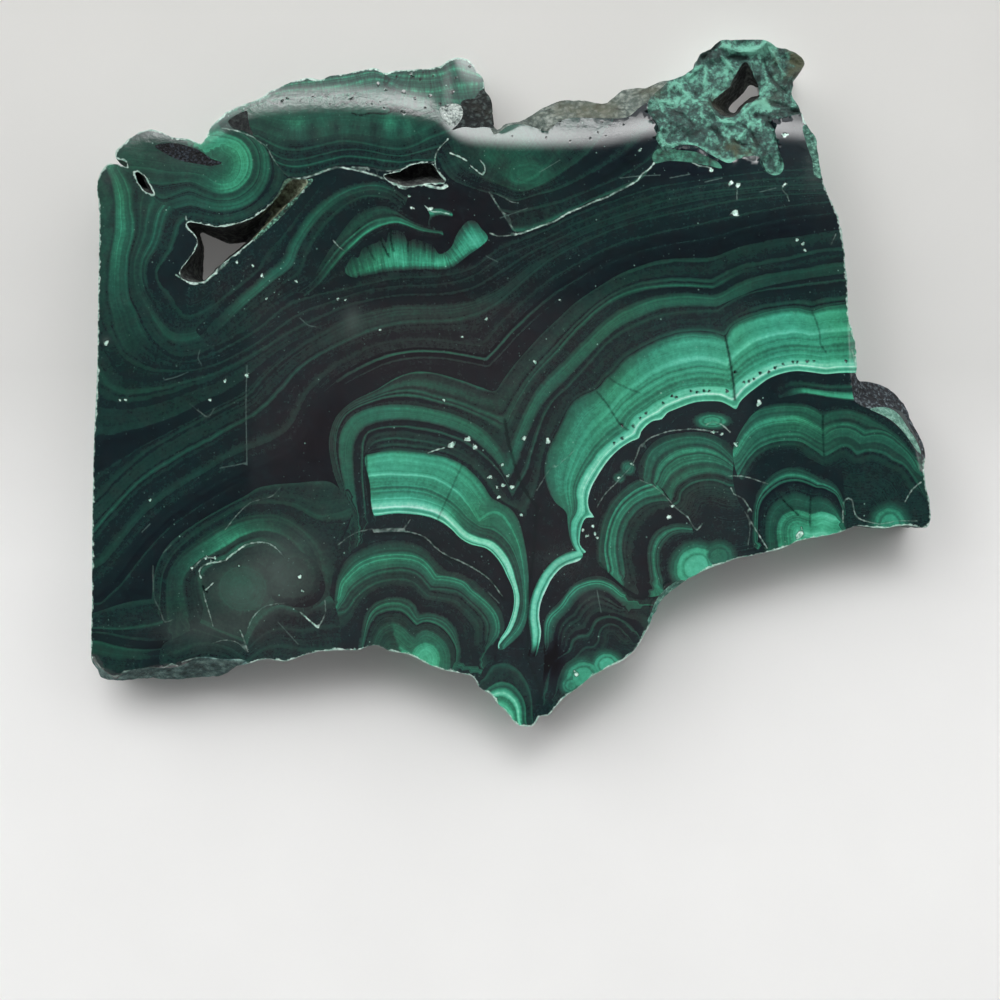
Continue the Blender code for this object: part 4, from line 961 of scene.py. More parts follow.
# How light the stone is through each layer, in steps from 0, black, to 10, white, given by growth: where
# it lies between the fronts. Each entry starts at a plan point, and a layer's entries blend along it.
BANDS = {
    "sweep": [
        ((110, 230), [
            (-1, 1.7), (-0.2, 1.8), (0.03, 3.5), (0.12, 2.8), (0.25, 2.2), (0.65, 2.3), (0.8, 3.1),
            (0.9, 4.2), (1, 3.1), (1.12, 3.4), (1.3, 4.7), (1.45, 3.8), (1.6, 3.1), (1.9, 2.7), (2.05, 3.2),
            (2.18, 4), (2.3, 3), (2.42, 2.6), (2.56, 3.3), (2.75, 2.1), (2.9, 3), (3.04, 4.7), (3.15, 3.7),
            (3.3, 4.5), (3.6, 5.4), (3.8, 4.9), (3.9, 4), (4, 2.5), (4.05, 3.6), (4.09, 2.9), (4.3, 2.6),
            (4.8, 3.2), (5, 3), (6, 2.4), (12, 1.8)]),
        ((118, 335), [
            (-1, 1.8), (-0.1, 2), (0.1, 2.9), (0.3, 2.2), (1, 2.2), (1.4, 2.3), (1.6, 3), (1.95, 3.5),
            (2.15, 2.6), (2.5, 2.7), (2.9, 2.2), (3.05, 3.2), (3.5, 2.9), (3.9, 3), (4, 2.2), (4.06, 2.9),
            (4.2, 2.2), (4.9, 2.6), (5, 3.4), (5.1, 2.3), (6, 2.4), (12, 1.8)]),
        ((150, 369), [
            (-1, 1.8), (-0.1, 2), (0.1, 2.9), (0.3, 2.2), (1, 2), (1.4, 2.2), (1.55, 3), (1.7, 3.4),
            (1.97, 3.5), (2.15, 2.6), (2.27, 2.4), (2.5, 2.7), (2.9, 2.1), (3.5, 2.3), (3.9, 1.9),
            (4.05, 2.9), (4.15, 2.1), (4.5, 1.9), (4.85, 2.3), (5, 3.3), (5.08, 2.1), (5.22, 2.8), (5.3, 2),
            (5.42, 1.8), (5.5, 2.3), (5.7, 2.6), (5.8, 2.3), (6, 2.6), (6.08, 1.8), (6.15, 1.4),
            (6.65, 1.6), (6.73, 2.6), (6.82, 1.8), (6.95, 2.7), (7.07, 1.9), (7.2, 2.6), (7.75, 2.6),
            (7.9, 2.1), (8.03, 4.1), (8.13, 2.1), (8.25, 2.5), (8.36, 1.9), (8.6, 1.9), (8.85, 2.4),
            (9.05, 3.1), (9.2, 2), (9.55, 2.2), (9.7, 2.1), (9.9, 1.5), (10.15, 1.9), (10.4, 1.35),
            (10.85, 1.4), (11.02, 2.8), (11.2, 1.9), (12, 1.5)]),
        ((244, 350), [
            (-1, 2.2), (-0.2, 2.2), (0.05, 3), (0.3, 2.3), (1, 2.5), (1.1, 3.2), (1.3, 2.8), (1.5, 3),
            (1.95, 3.2), (2.1, 2.4), (2.5, 2.5), (3, 2.1), (3.1, 2.7), (3.3, 2.1), (3.9, 1.9), (4.05, 3),
            (4.2, 2.1), (4.5, 1.9), (4.8, 2.3), (5, 3.2), (5.15, 2.2), (5.5, 2.4), (5.9, 2.5), (6.05, 1.9),
            (6.6, 2), (6.75, 2.8), (6.85, 2), (6.97, 2.9), (7.1, 2.1), (7.5, 2.4), (7.9, 2), (8.03, 3.6),
            (8.15, 2), (8.5, 1.8), (8.85, 2.3), (9.05, 3), (9.2, 2), (9.6, 2.1), (9.9, 1.6), (10.1, 2),
            (10.3, 1.5), (10.9, 1.3), (12, 1.2)]),
        ((400, 286), [
            (-1, 1.8), (2.9, 1.8), (3.05, 2.8), (3.3, 2.3), (3.9, 2), (4, 2.8), (4.2, 2.2), (4.9, 1.9),
            (5, 2.8), (5.2, 1.9), (6, 2), (6.8, 2.9), (7.05, 3.3), (7.2, 2.9), (7.4, 3.2), (7.7, 2.8),
            (7.8, 2.6), (8, 3.5), (8.1, 3), (8.2, 2.2), (8.33, 2.6), (8.5, 2.1), (8.85, 2.3), (9, 2.7),
            (9.1, 2.4), (9.55, 2.4), (9.7, 1), (9.87, 4.4), (9.95, 4.2), (10, 1.9), (10.1, 1.6),
            (10.3, 1.8), (10.42, 3.3), (10.55, 2), (10.9, 2.1), (12, 2.1)]),
        ((645, 198), [
            (-1, 1.3), (2, 1.5), (2.9, 1.8), (3, 2.6), (3.2, 2), (3.9, 2.2), (4, 3), (4.2, 2.2), (4.9, 2.3),
            (5, 3.2), (5.15, 2.4), (5.9, 2.3), (6, 2.9), (6.15, 2), (7, 2), (7.2, 2.3), (7.9, 2.1), (8, 3),
            (8.15, 2.1), (8.5, 1.9), (8.9, 1.9), (9, 2.6), (9.2, 1.6), (9.5, 1.5), (9.95, 1.4),
            (10.05, 2.1), (10.3, 1.3), (11, 1.3), (12, 1.3)]),
    ],
    "eye_bank": [
        ((170, 180), [
            (-2, 2.6), (-1, 2.8), (-0.1, 3), (0, 3.6), (0.3, 2.8), (0.8, 3), (1, 4), (1.2, 2.2), (1.6, 2.3),
            (2, 3.6), (2.3, 2.4), (2.7, 2.4), (3, 3.4), (3.5, 2.8), (4, 3.9), (4.2, 2.2), (4.8, 2),
            (5, 2.9), (5.3, 2), (6, 2.6), (6.3, 1.8), (7, 1.6)]),
        ((240, 200), [
            (-2, 4.4), (-1.2, 4.3), (-0.8, 4.7), (-0.3, 5.3), (0, 5.8), (0.4, 5.8), (0.8, 6), (0.95, 5.3),
            (1.05, 5.2), (1.2, 5.7), (1.35, 5), (1.55, 3.1), (1.9, 3.3), (2.15, 4.5), (2.4, 3.1),
            (2.75, 3.9), (3.1, 4.7), (3.4, 4), (3.75, 4.8), (4.05, 2.8), (4.3, 2.1), (4.7, 2.9), (5.1, 3.1),
            (5.5, 2.8), (6, 2), (6.3, 1.6), (7, 1.4)]),
    ],
    "upper_bank": [
        ((300, 158), [
            (-1, 1.8), (0, 1.9), (0.15, 2.8), (0.4, 2.1), (0.8, 2.4), (0.97, 4.6), (1.15, 2.5), (1.85, 2.3),
            (2, 4), (2.15, 2.3), (2.8, 2.5), (3, 4), (3.2, 2.6), (3.9, 2.8), (4, 3.4), (4.3, 3), (4.9, 3.4),
            (5.1, 3.8), (6, 3.6)]),
    ],
    "worn_rim": [
        ((350, 84), [
            (-1, 2.6), (0, 3), (0.4, 3.6), (1, 4.2), (1.2, 3.2), (1.7, 4), (2, 4.8), (2.3, 3.2), (2.8, 3.6),
            (3, 4.8), (3.4, 3), (4, 4.2), (4.5, 3), (6, 3)]),
    ],
    "inner_bank": [
        ((470, 180), [
            (-1, 2.4), (-0.1, 2.4), (0.1, 4.2), (0.3, 2.4), (0.9, 2), (1, 2.9), (1.2, 1.8), (1.9, 1.8),
            (2, 2.8), (2.2, 2), (2.9, 2.3), (3, 2.9), (3.3, 2.6), (4, 3), (5, 3.6), (6, 3.6)]),
        ((540, 186), [
            (-1, 2.4), (-0.1, 2.6), (0.1, 4.4), (0.3, 2.4), (0.9, 2.2), (1, 3.2), (1.2, 2), (1.9, 2),
            (2, 3.4), (2.2, 2.1), (2.9, 2.4), (3.05, 3.9), (3.4, 3), (3.9, 3.2), (4, 3.9), (4.3, 2.9),
            (5, 3.4), (6, 3.8)]),
        ((600, 160), [
            (-1, 2.4), (-0.1, 2.4), (0.1, 4), (0.3, 1.9), (0.9, 1.8), (1, 2.6), (1.2, 1.5), (1.9, 1.3),
            (2.1, 2.6), (2.3, 1.5), (2.9, 1.6), (3, 2.9), (3.3, 2.1), (4, 2.6), (5, 2.6), (6, 2.8)]),
    ],
    "outer_arch": [
        ((206, 338), [
            (-1, 2.1), (-0.1, 2.1), (0.1, 2.4), (0.5, 2.2), (1, 2.5), (1.3, 2.1), (2, 2.3), (3, 2.1)]),
        ((256, 294), [
            (-1, 1.9), (-0.2, 2), (0, 2.9), (0.35, 3.9), (0.6, 4.4), (0.75, 3.7), (0.9, 4.1), (1.05, 3),
            (1.2, 2.2), (1.6, 2.4), (1.9, 2.2), (2.05, 2.6), (2.3, 2.1), (3, 1.9)]),
        ((306, 235), [
            (-1, 1.8), (-0.2, 1.9), (0, 2.8), (0.3, 4), (0.55, 4.6), (0.68, 3.6), (0.85, 4.2), (1.05, 3.2),
            (1.2, 2.2), (1.6, 2.3), (1.9, 2.4), (2.05, 3), (2.3, 2.1), (3, 1.9)]),
        ((378, 189), [
            (-1, 1.8), (-0.2, 1.9), (0, 2.6), (0.3, 3.4), (0.45, 4.6), (0.6, 3.2), (0.8, 3), (1, 3.2),
            (1.1, 3.8), (1.25, 2.8), (1.6, 2.6), (1.9, 2.6), (2, 3.6), (2.15, 2.2), (3, 1.9)]),
        ((399, 199), [
            (-1, 1.9), (0, 2), (0.4, 2.8), (0.5, 3), (0.7, 2.2), (1.1, 2.8), (1.3, 2.1), (2, 2.5), (2.2, 2),
            (3, 1.9)]),
    ],
    "high_arch": [
        ((306, 288), [
            (-1, 1.8), (0.7, 2), (0.95, 2.6), (1.1, 2.2), (1.7, 2.2), (2, 2.9), (2.2, 2), (4, 1.8)]),
        ((334, 262), [
            (-1, 1.8), (0, 2), (0.4, 2.8), (0.8, 2.4), (1, 4.2), (1.2, 3), (1.4, 2.4), (1.75, 3.8),
            (2, 4.9), (2.2, 3.2), (2.4, 2.2), (4, 1.8)]),
        ((362, 233), [
            (-1, 1.9), (0, 2.2), (0.3, 3.1), (0.6, 3.6), (0.75, 3.2), (0.88, 2.3), (1, 5.4), (1.15, 4.2),
            (1.32, 2.4), (1.5, 3.4), (1.75, 5), (2, 6.2), (2.15, 5), (2.32, 2.6), (2.6, 2.1), (3, 1.9),
            (4, 1.8)]),
        ((396, 219), [
            (-1, 1.9), (0, 2.2), (0.3, 3.6), (0.5, 3.2), (0.75, 2.4), (0.95, 3.2), (1.05, 4.6), (1.3, 4.9),
            (1.55, 4.2), (1.8, 5.2), (2, 6.2), (2.15, 5), (2.35, 2.4), (3, 1.9), (4, 1.8)]),
        ((436, 231), [
            (-1, 1.9), (0, 2), (0.9, 2.2), (1.1, 3.4), (1.5, 3.6), (2, 5), (2.3, 2.4), (3, 1.9), (4, 1.8)]),
    ],
    "hook": [
        ((440, 214), [
            (-1, 2), (0, 2.2), (0.2, 4.6), (0.5, 6.4), (0.7, 5), (0.9, 2.8), (1, 2), (2, 1.8)]),
    ],
    "feathers": [
        ((400, 250), [
            (-1, 1.8), (0, 2), (0.15, 2.3), (0.3, 3.3), (0.45, 4.3), (0.6, 5.2), (0.76, 5.8), (0.88, 5.2),
            (0.95, 3.4), (1.02, 2), (2, 1.7)]),
    ],
    "mantle": [
        ((350, 480), [
            (-1, 2.2), (-0.1, 2.2), (0, 3.8), (0.12, 2.6), (0.5, 2.8), (0.85, 2.2), (1, 3.8), (1.15, 2.1),
            (1.3, 4), (1.45, 2.1), (1.9, 2), (2.05, 3.9), (2.4, 4.2), (2.85, 3.8), (3, 2.1), (3.3, 1.8),
            (3.7, 2), (3.95, 4), (4.1, 1.8), (4.3, 2.4), (4.5, 1.9), (5, 2.3), (5.2, 2), (8, 2)]),
        ((396, 427), [
            (-1, 2.2), (-0.2, 2.2), (-0.03, 4.5), (0.03, 4.3), (0.12, 2.6), (0.25, 2.6), (0.4, 3.4),
            (0.55, 3.8), (0.7, 3.5), (0.85, 2.6), (1, 4.1), (1.13, 2.2), (1.28, 4.6), (1.42, 2.2),
            (1.5, 1.8), (1.65, 2.2), (1.8, 2.8), (1.87, 2.3), (2, 4.2), (2.1, 5), (2.3, 4.7), (2.75, 4.7),
            (2.87, 3.8), (3, 2.1), (3.15, 1.7), (3.45, 2.1), (3.65, 1.8), (3.95, 4.4), (4.08, 1.5),
            (4.26, 2.9), (4.4, 2.2), (4.47, 4.3), (4.55, 2.1), (4.66, 2.3), (4.73, 3.8), (4.82, 1.9),
            (4.95, 3.2), (5.05, 1.8), (5.2, 2), (8, 2)]),
        ((503, 477), [
            (-1, 2.2), (-0.1, 2.1), (0, 3.6), (0.12, 2.4), (0.5, 3.2), (0.85, 2.5), (1, 4), (1.15, 2.6),
            (1.3, 3.6), (1.5, 2.6), (1.9, 2.6), (2.05, 3.8), (2.4, 4.4), (2.85, 3.6), (3.05, 2), (3.6, 2),
            (3.95, 3.8), (4.1, 1.7), (4.4, 2.3), (4.7, 3), (4.85, 1.9), (5.05, 1.8), (5.3, 1.9), (8, 2)]),
        ((608, 343), [
            (-1, 1.6), (-0.1, 1.8), (0, 3.2), (0.1, 2.4), (0.35, 2.7), (0.6, 3), (0.8, 2.1), (0.9, 3.6),
            (1, 2), (1.12, 4.4), (1.28, 2.2), (1.8, 2.2), (2, 3.4), (2.25, 4.4), (2.6, 4.2), (2.95, 3.8),
            (3.15, 2.4), (3.5, 2), (3.95, 3.4), (4.1, 2), (4.5, 2.4), (4.7, 2), (4.9, 3), (5.03, 1.9),
            (8, 1.8)]),
        ((690, 312), [
            (-1, 1.3), (-0.35, 1.4), (0.02, 2.6), (0.1, 3.5), (0.18, 1.7), (0.35, 2.4), (0.6, 2.3),
            (0.72, 1.6), (0.84, 4.1), (0.93, 1.8), (1.02, 3.2), (1.15, 5), (1.28, 2.6), (1.38, 1.3),
            (1.8, 2.2), (2, 3.4), (2.2, 4.7), (2.4, 4.1), (2.6, 4.5), (2.95, 4), (3.15, 2.8), (3.4, 2),
            (3.75, 2.4), (3.98, 3.2), (4.12, 2.3), (4.25, 2), (4.5, 2.4), (4.65, 2), (4.85, 2.8), (4.95, 4),
            (5.04, 2), (5.3, 1.6), (8, 1.8)]),
        ((790, 287), [
            (-1, 1.4), (-0.1, 1.6), (0, 2.2), (0.2, 2.6), (0.5, 2.2), (0.75, 1.7), (0.9, 3.2), (1, 2),
            (1.1, 1.8), (1.4, 2.4), (1.75, 1.7), (1.95, 2.8), (2.05, 3.6), (2.3, 3.1), (2.7, 2.8),
            (2.9, 3.1), (3.05, 2.6), (3.2, 1.7), (3.7, 1.9), (3.95, 3.7), (4.1, 1.6), (4.3, 2), (4.6, 2.1),
            (4.74, 3.7), (4.84, 1.9), (4.95, 3.4), (5.05, 2), (8, 1.8)]),
    ],
    "great_band": [
        ((549, 470), [
            (-1, 1.8), (0, 2.2), (0.1, 4.2), (0.3, 4.7), (0.5, 5.4), (0.8, 5.3), (0.95, 5.9), (1.1, 5.2),
            (1.2, 6.3), (1.35, 5.4), (1.5, 5.5), (1.6, 4.4), (1.72, 5.4), (1.85, 4.5), (1.95, 5.6),
            (2.03, 7.3), (2.25, 8), (2.45, 8.4), (2.6, 7.6), (2.68, 5.8), (2.8, 6.4), (2.93, 8.8),
            (3.02, 8.4), (3.08, 2), (3.2, 1), (4, 1)]),
        ((623, 360), [
            (-1, 1.8), (0, 2.2), (0.1, 4.3), (0.3, 4.9), (0.5, 5.8), (0.7, 5.6), (0.92, 6.6), (1.05, 5.6),
            (1.2, 5.3), (1.3, 6.4), (1.42, 5.2), (1.52, 5.8), (1.65, 4.7), (1.75, 5.6), (1.88, 5.2),
            (1.97, 6.8), (2.08, 7.7), (2.24, 7), (2.42, 8.8), (2.55, 8), (2.65, 5.8), (2.8, 6.2),
            (2.95, 8.6), (3.03, 7), (3.08, 2), (3.2, 1), (4, 1.2)]),
        ((690, 331), [
            (-1, 2), (-0.15, 1.8), (0.02, 2.3), (0.08, 4.3), (0.15, 5.5), (0.2, 5), (0.27, 5.8),
            (0.33, 6.5), (0.45, 6.2), (0.55, 5.9), (0.62, 6.1), (0.68, 5.9), (0.8, 6.7), (0.92, 7.5),
            (1, 6.7), (1.06, 5.9), (1.2, 5.5), (1.3, 6.5), (1.4, 5.2), (1.5, 6), (1.65, 5), (1.75, 5.7),
            (1.88, 5.6), (1.97, 7.3), (2.08, 7.9), (2.24, 6.8), (2.42, 9), (2.52, 8.6), (2.64, 6),
            (2.75, 5.9), (2.87, 6.6), (2.96, 8.3), (3.03, 6.5), (3.08, 2), (3.2, 1), (4, 1.2)]),
        ((790, 309), [
            (-1, 2), (-0.3, 1.9), (-0.12, 3.6), (-0.06, 2), (0, 4.6), (0.08, 4.4), (0.17, 5.7), (0.25, 6.4),
            (0.4, 6.2), (0.62, 5.7), (0.8, 6.4), (0.95, 7.3), (1.06, 5.9), (1.19, 5.6), (1.33, 6.2),
            (1.45, 5), (1.55, 5.6), (1.65, 5.4), (1.75, 6.4), (1.84, 5.8), (1.94, 6.3), (2.05, 7.6),
            (2.3, 7.9), (2.48, 8.9), (2.57, 7.8), (2.66, 6.3), (2.74, 5.9), (2.82, 6.5), (2.95, 8.4),
            (3.02, 7.5), (3.08, 2), (3.2, 1.1), (4, 1.2)]),
    ],
    "cut_block": [
        ((400, 487), [
            (-1, 1.8), (-0.05, 1.9), (0, 4), (0.1, 5.3), (0.2, 6.5), (0.3, 6.1), (0.5, 6.7), (0.75, 5.9),
            (0.92, 6.5), (1.1, 5.8), (1.2, 7), (1.28, 7.5), (1.4, 6), (1.5, 5.6), (1.8, 5.5), (1.93, 5.8),
            (2.05, 4.5), (2.2, 5.5), (2.55, 5.4), (2.7, 5.9), (2.88, 7), (2.97, 6.4), (3.1, 7.1),
            (3.25, 7.8), (3.4, 8.2), (3.5, 9.2), (3.58, 7.6), (3.66, 6), (3.75, 6.2), (3.87, 8.5),
            (3.97, 6.5), (4.04, 1.2), (5, 1.8)]),
        ((447, 499), [
            (-1, 1.8), (-0.05, 1.9), (0, 4), (0.1, 5.3), (0.2, 6), (0.35, 5.4), (0.5, 6.3), (0.75, 5.4),
            (0.92, 6), (1.1, 5.3), (1.25, 7), (1.4, 5.6), (1.8, 5.2), (1.93, 5.7), (2.05, 4.3), (2.25, 5.2),
            (2.6, 5.4), (2.85, 6.6), (2.97, 6), (3.12, 7.2), (3.3, 8.1), (3.5, 9), (3.6, 7.2), (3.68, 5.8),
            (3.78, 6.2), (3.9, 8.8), (4, 5.5), (4.05, 1.2), (5, 1.6)]),
        ((492, 529), [
            (-1, 1.8), (-0.05, 1.9), (0.1, 3.8), (0.35, 4.6), (0.6, 4.4), (0.95, 5.2), (1.05, 6),
            (1.2, 4.8), (1.5, 4.5), (1.7, 4.8), (1.9, 4), (2, 5.2), (2.15, 3.2), (2.5, 3.6), (2.9, 3.1),
            (3.05, 5), (3.15, 7.8), (3.5, 8.3), (3.72, 7.8), (3.82, 5), (3.93, 8.6), (4.02, 5.5),
            (4.06, 1.2), (5, 1)]),
    ],
    "facing_band": [
        ((540, 580), [
            (-1, 1.4), (0, 2), (0.2, 5.2), (0.3, 7.4), (0.45, 8), (0.62, 7.6), (0.72, 5.2), (0.86, 8.8),
            (0.97, 8.8), (1.05, 1.2), (2, 1)]),
    ],
    "ribbon": [
        ((783, 392), [
            (-1, 1.4), (0, 1.6), (0.28, 2.4), (0.5, 1.8), (0.78, 2.6), (1.05, 1.4), (2, 1.4)]),
        ((808, 392), [
            (-1, 1.4), (0, 1.8), (0.12, 2.2), (0.2, 3), (0.28, 3.9), (0.36, 2.6), (0.5, 2.2), (0.6, 5),
            (0.75, 6.2), (0.88, 6.2), (0.96, 2.6), (1.05, 1.4), (2, 1.4)]),
    ],
    "left_lobes": [
        ((366, 630), [
            (-1, 1.8), (0, 2.1), (0.15, 2.6), (0.27, 3.5), (0.45, 3.6), (0.55, 4.2), (0.7, 3.6),
            (0.85, 4.5), (1, 5.8), (1.1, 4.9), (1.22, 5.9), (1.36, 4.9), (1.55, 5.1), (1.68, 4.4),
            (1.8, 3.7), (1.93, 4.3), (2.05, 2.9), (2.1, 3.8), (2.17, 2.5), (2.28, 4.2), (2.34, 2.5),
            (2.45, 2.8), (2.55, 2), (2.9, 1.9), (3, 3.5), (3.2, 2.5), (3.4, 5.1), (3.6, 4.6), (3.8, 2.5),
            (4, 4.1), (4.12, 2.1), (4.3, 2.2), (4.53, 2.7), (4.65, 2.4), (4.8, 2.7), (5, 3.7), (5.15, 3.2),
            (5.5, 2.8), (6, 3.2), (7, 3.6)]),
        ((430, 630), [
            (-1, 1.8), (0, 2.1), (0.3, 3.1), (0.7, 3), (0.85, 4), (1, 5.6), (1.1, 4.4), (1.22, 5.4),
            (1.36, 4.2), (1.55, 4.2), (1.8, 2.7), (1.95, 3.8), (2.1, 2.4), (2.3, 3.2), (2.45, 2.2),
            (2.9, 2), (3, 4), (3.2, 3.2), (3.45, 4.6), (3.7, 3), (4, 5.2), (4.15, 2.2), (4.5, 2.8),
            (4.8, 2.6), (5, 4.2), (5.3, 4.4), (5.8, 4.6), (6, 6), (6.4, 6.6), (7, 6.4)]),
    ],
    "pendant_lobe": [
        ((505, 684), [
            (-1, 1.6), (0, 2.2), (0.1, 3.8), (0.3, 2.6), (0.9, 2.2), (1, 5), (1.2, 4.4), (1.35, 3.4),
            (1.5, 4.8), (1.8, 6.6), (2, 8.2), (2.15, 7.6), (2.3, 5.4), (2.6, 5.2), (2.9, 7.4), (3, 8.8),
            (4, 6)]),
    ],
    "facing_lobe": [
        ((560, 610), [
            (-1, 2.6), (-0.2, 3), (0, 6.2), (0.1, 4), (0.22, 6), (0.35, 4.4), (0.6, 4), (0.8, 3), (0.95, 2),
            (1.08, 1.7), (1.18, 3), (1.28, 1.8), (1.4, 3.2), (1.5, 1.9), (1.64, 2.9), (1.76, 1.9),
            (1.9, 1.7), (2, 4), (2.2, 2.2), (2.6, 2), (2.9, 1.9), (3, 3.3), (3.2, 2), (3.6, 2.6), (4, 2),
            (6, 2.2)]),
    ],
    "right_fan": [
        ((630, 555), [
            (-1, 2.2), (-0.2, 2.4), (0, 3.8), (0.3, 3.4), (0.8, 3.3), (0.93, 5.2), (1.03, 5.8), (1.12, 4.2),
            (1.2, 3), (1.3, 5.2), (1.37, 5.5), (1.5, 4.6), (1.7, 5.3), (1.85, 3.1), (1.95, 3.3),
            (2.06, 4.6), (2.2, 4), (2.33, 2.6), (2.5, 2.9), (2.67, 2.3), (2.92, 2.9), (3.05, 2.4),
            (3.4, 1.8), (3.88, 1.8), (4.03, 3.9), (4.25, 2.8), (4.5, 4.8), (4.65, 5.3), (4.85, 4.6),
            (4.98, 2.4), (5.06, 4.4), (5.2, 2.4), (5.6, 1.8), (6, 2.6), (6.3, 2), (8, 2.2)]),
    ],
    "right_bank": [
        ((668, 478), [
            (-1, 1.6), (-0.5, 2.2), (-0.15, 2.6), (0, 4.2), (0.2, 3.4), (0.4, 4.2), (0.75, 2.6),
            (0.85, 2.8), (1, 4.2), (1.1, 4.9), (1.28, 4.6), (1.38, 2.8), (1.5, 4.5), (1.65, 4), (1.95, 4.6),
            (2.2, 3), (2.4, 3.2), (2.65, 4.1), (2.9, 4.5), (3.05, 3.6), (3.2, 2.4), (3.5, 2.5), (3.62, 4.2),
            (3.8, 2.2), (4, 2.9), (4.5, 2.6), (6, 2)]),
    ],
    "far_bank": [
        ((790, 420), [
            (-1, 1.8), (-0.3, 2), (-0.08, 3.4), (0, 4.5), (0.14, 4.1), (0.28, 4.6), (0.43, 3.6), (0.6, 4.4),
            (0.75, 5.3), (0.93, 5.9), (1.04, 5.1), (1.1, 5.5), (1.22, 4.3), (1.38, 4.8), (1.55, 4.1),
            (1.75, 5), (1.87, 3.5), (2, 5.3), (2.12, 2.5), (2.35, 3.4), (2.55, 2.3), (3, 1.8), (4, 1.6),
            (6, 1.6)]),
        ((850, 426), [
            (-1, 2), (-0.2, 2.1), (0.1, 3.9), (0.28, 3.4), (0.38, 3.9), (0.6, 2.7), (0.7, 2.4), (0.83, 3.6),
            (0.97, 5), (1.05, 4.1), (1.1, 2.8), (1.2, 4.8), (1.3, 4.1), (1.45, 4.1), (1.7, 2.8),
            (1.84, 3.2), (1.97, 4.4), (2.12, 2), (2.3, 2.2), (2.5, 3), (2.75, 2.4), (3, 2.2), (4, 2.3),
            (6, 2.2)]),
    ],
    "far_lobe": [
        ((790, 491), [
            (-1, 1.7), (-0.15, 2.2), (0, 3.5), (0.2, 2.8), (0.4, 4.3), (0.6, 5.5), (0.82, 4.8), (0.97, 2.2),
            (1.03, 2.4), (1.12, 4.8), (1.19, 4.4), (1.28, 1.5), (1.38, 1.2), (1.5, 1.9), (2.05, 2.2),
            (2.2, 2.9), (2.4, 4.1), (2.6, 3.7), (2.85, 3.2), (2.93, 3.4), (3.02, 5), (3.25, 5.8),
            (3.38, 5.2), (3.58, 4.5), (3.75, 5.2), (4.1, 5.4), (4.35, 5.9), (4.67, 7.4), (4.9, 7.1),
            (5.1, 5.8), (5.3, 6.6), (6, 7)]),
    ],
    "near_lobe": [
        ((186, 600), [
            (-1, 1.5), (-0.2, 1.6), (0, 3), (0.2, 2.2), (0.5, 2.4), (0.9, 2.4), (1, 3.3), (1.2, 2),
            (1.7, 2.1), (2, 3), (2.3, 2.6), (2.8, 3), (3, 3.2), (3.2, 2.2), (3.8, 2.3), (4, 3.2),
            (4.3, 2.4), (5, 3.2), (6, 3.6), (7, 3.6)]),
        ((230, 543), [
            (-1, 1.2), (-0.3, 1.3), (0, 3.2), (0.15, 2.9), (0.25, 2.1), (0.4, 1.9), (0.6, 2.3), (0.9, 2.8),
            (1.15, 2.1), (1.4, 1.9), (1.7, 2.2), (2, 2.8), (2.1, 2.8), (2.2, 3.9), (2.3, 4.7), (2.4, 4.4),
            (2.6, 4.6), (2.8, 4.9), (2.96, 5.6), (3.03, 5), (3.1, 3.2), (3.4, 2.4), (3.5, 1.8), (3.6, 2.6),
            (3.72, 4.2), (3.95, 4.6), (4.05, 3.9), (4.12, 2.3), (4.35, 2.3), (4.55, 2.8), (4.8, 3.2),
            (5, 2.7), (5.2, 3.2), (5.5, 4.5), (5.8, 4.2), (6.5, 4.2), (7, 3.8)]),
        ((292, 540), [
            (-1, 1.4), (-0.2, 1.6), (0, 3.2), (0.2, 2.4), (0.7, 2.9), (0.9, 2.6), (1, 3.4), (1.2, 2.2),
            (1.7, 2.2), (2, 3.2), (2.3, 2.6), (2.8, 2.8), (3, 3.6), (3.2, 2.4), (3.7, 2.5), (4, 3.5),
            (4.3, 2.7), (5, 3.2), (6, 3.6), (7, 3.6)]),
    ],
    "near_strips": [
        ((110, 629), [
            (-1, 1.6), (-0.1, 1.8), (0, 2.9), (0.2, 2.2), (0.9, 2.1), (1, 3.9), (1.2, 2), (1.8, 1.9),
            (2, 3), (2.2, 1.8), (2.9, 2), (3.05, 3.9), (3.2, 3.2), (3.45, 2.8), (3.65, 3.3), (3.9, 2.6),
            (4.1, 2.2), (5, 2.4), (6, 1.8)]),
    ],
    "near_pocket": [
        ((214, 628), [
            (-1, 3), (-0.3, 2.8), (-0.1, 3.8), (0.1, 3.4), (0.25, 2.6), (0.4, 2.2), (0.9, 2.2), (1, 2.9),
            (1.2, 2.1), (1.8, 2.3), (2, 3), (2.2, 2.3), (4, 2.3)]),
    ],
    "first_disc": [
        ((226, 604), [
            (-1, 2.6), (-0.3, 2.8), (0, 2.7), (0.2, 2.5), (0.5, 2.7), (0.8, 2.9), (0.95, 3.1), (1.03, 3.7),
            (1.14, 3.3), (1.5, 3.4), (1.7, 3.35), (2, 3.7), (3, 3.8)]),
    ],
    "second_disc": [
        ((296, 596), [
            (-1, 2.2), (-0.1, 1.9), (0.1, 1.4), (0.4, 1.5), (0.6, 2.2), (0.8, 2), (1, 2.9), (1.5, 2.7),
            (1.8, 3.1), (2, 2.8), (3, 3)]),
        ((298, 557), [
            (-1, 2.2), (0, 2.4), (0.3, 2.8), (0.6, 2.5), (1, 3), (1.5, 2.7), (1.8, 3.1), (2, 2.8), (3, 3)]),
    ],
}
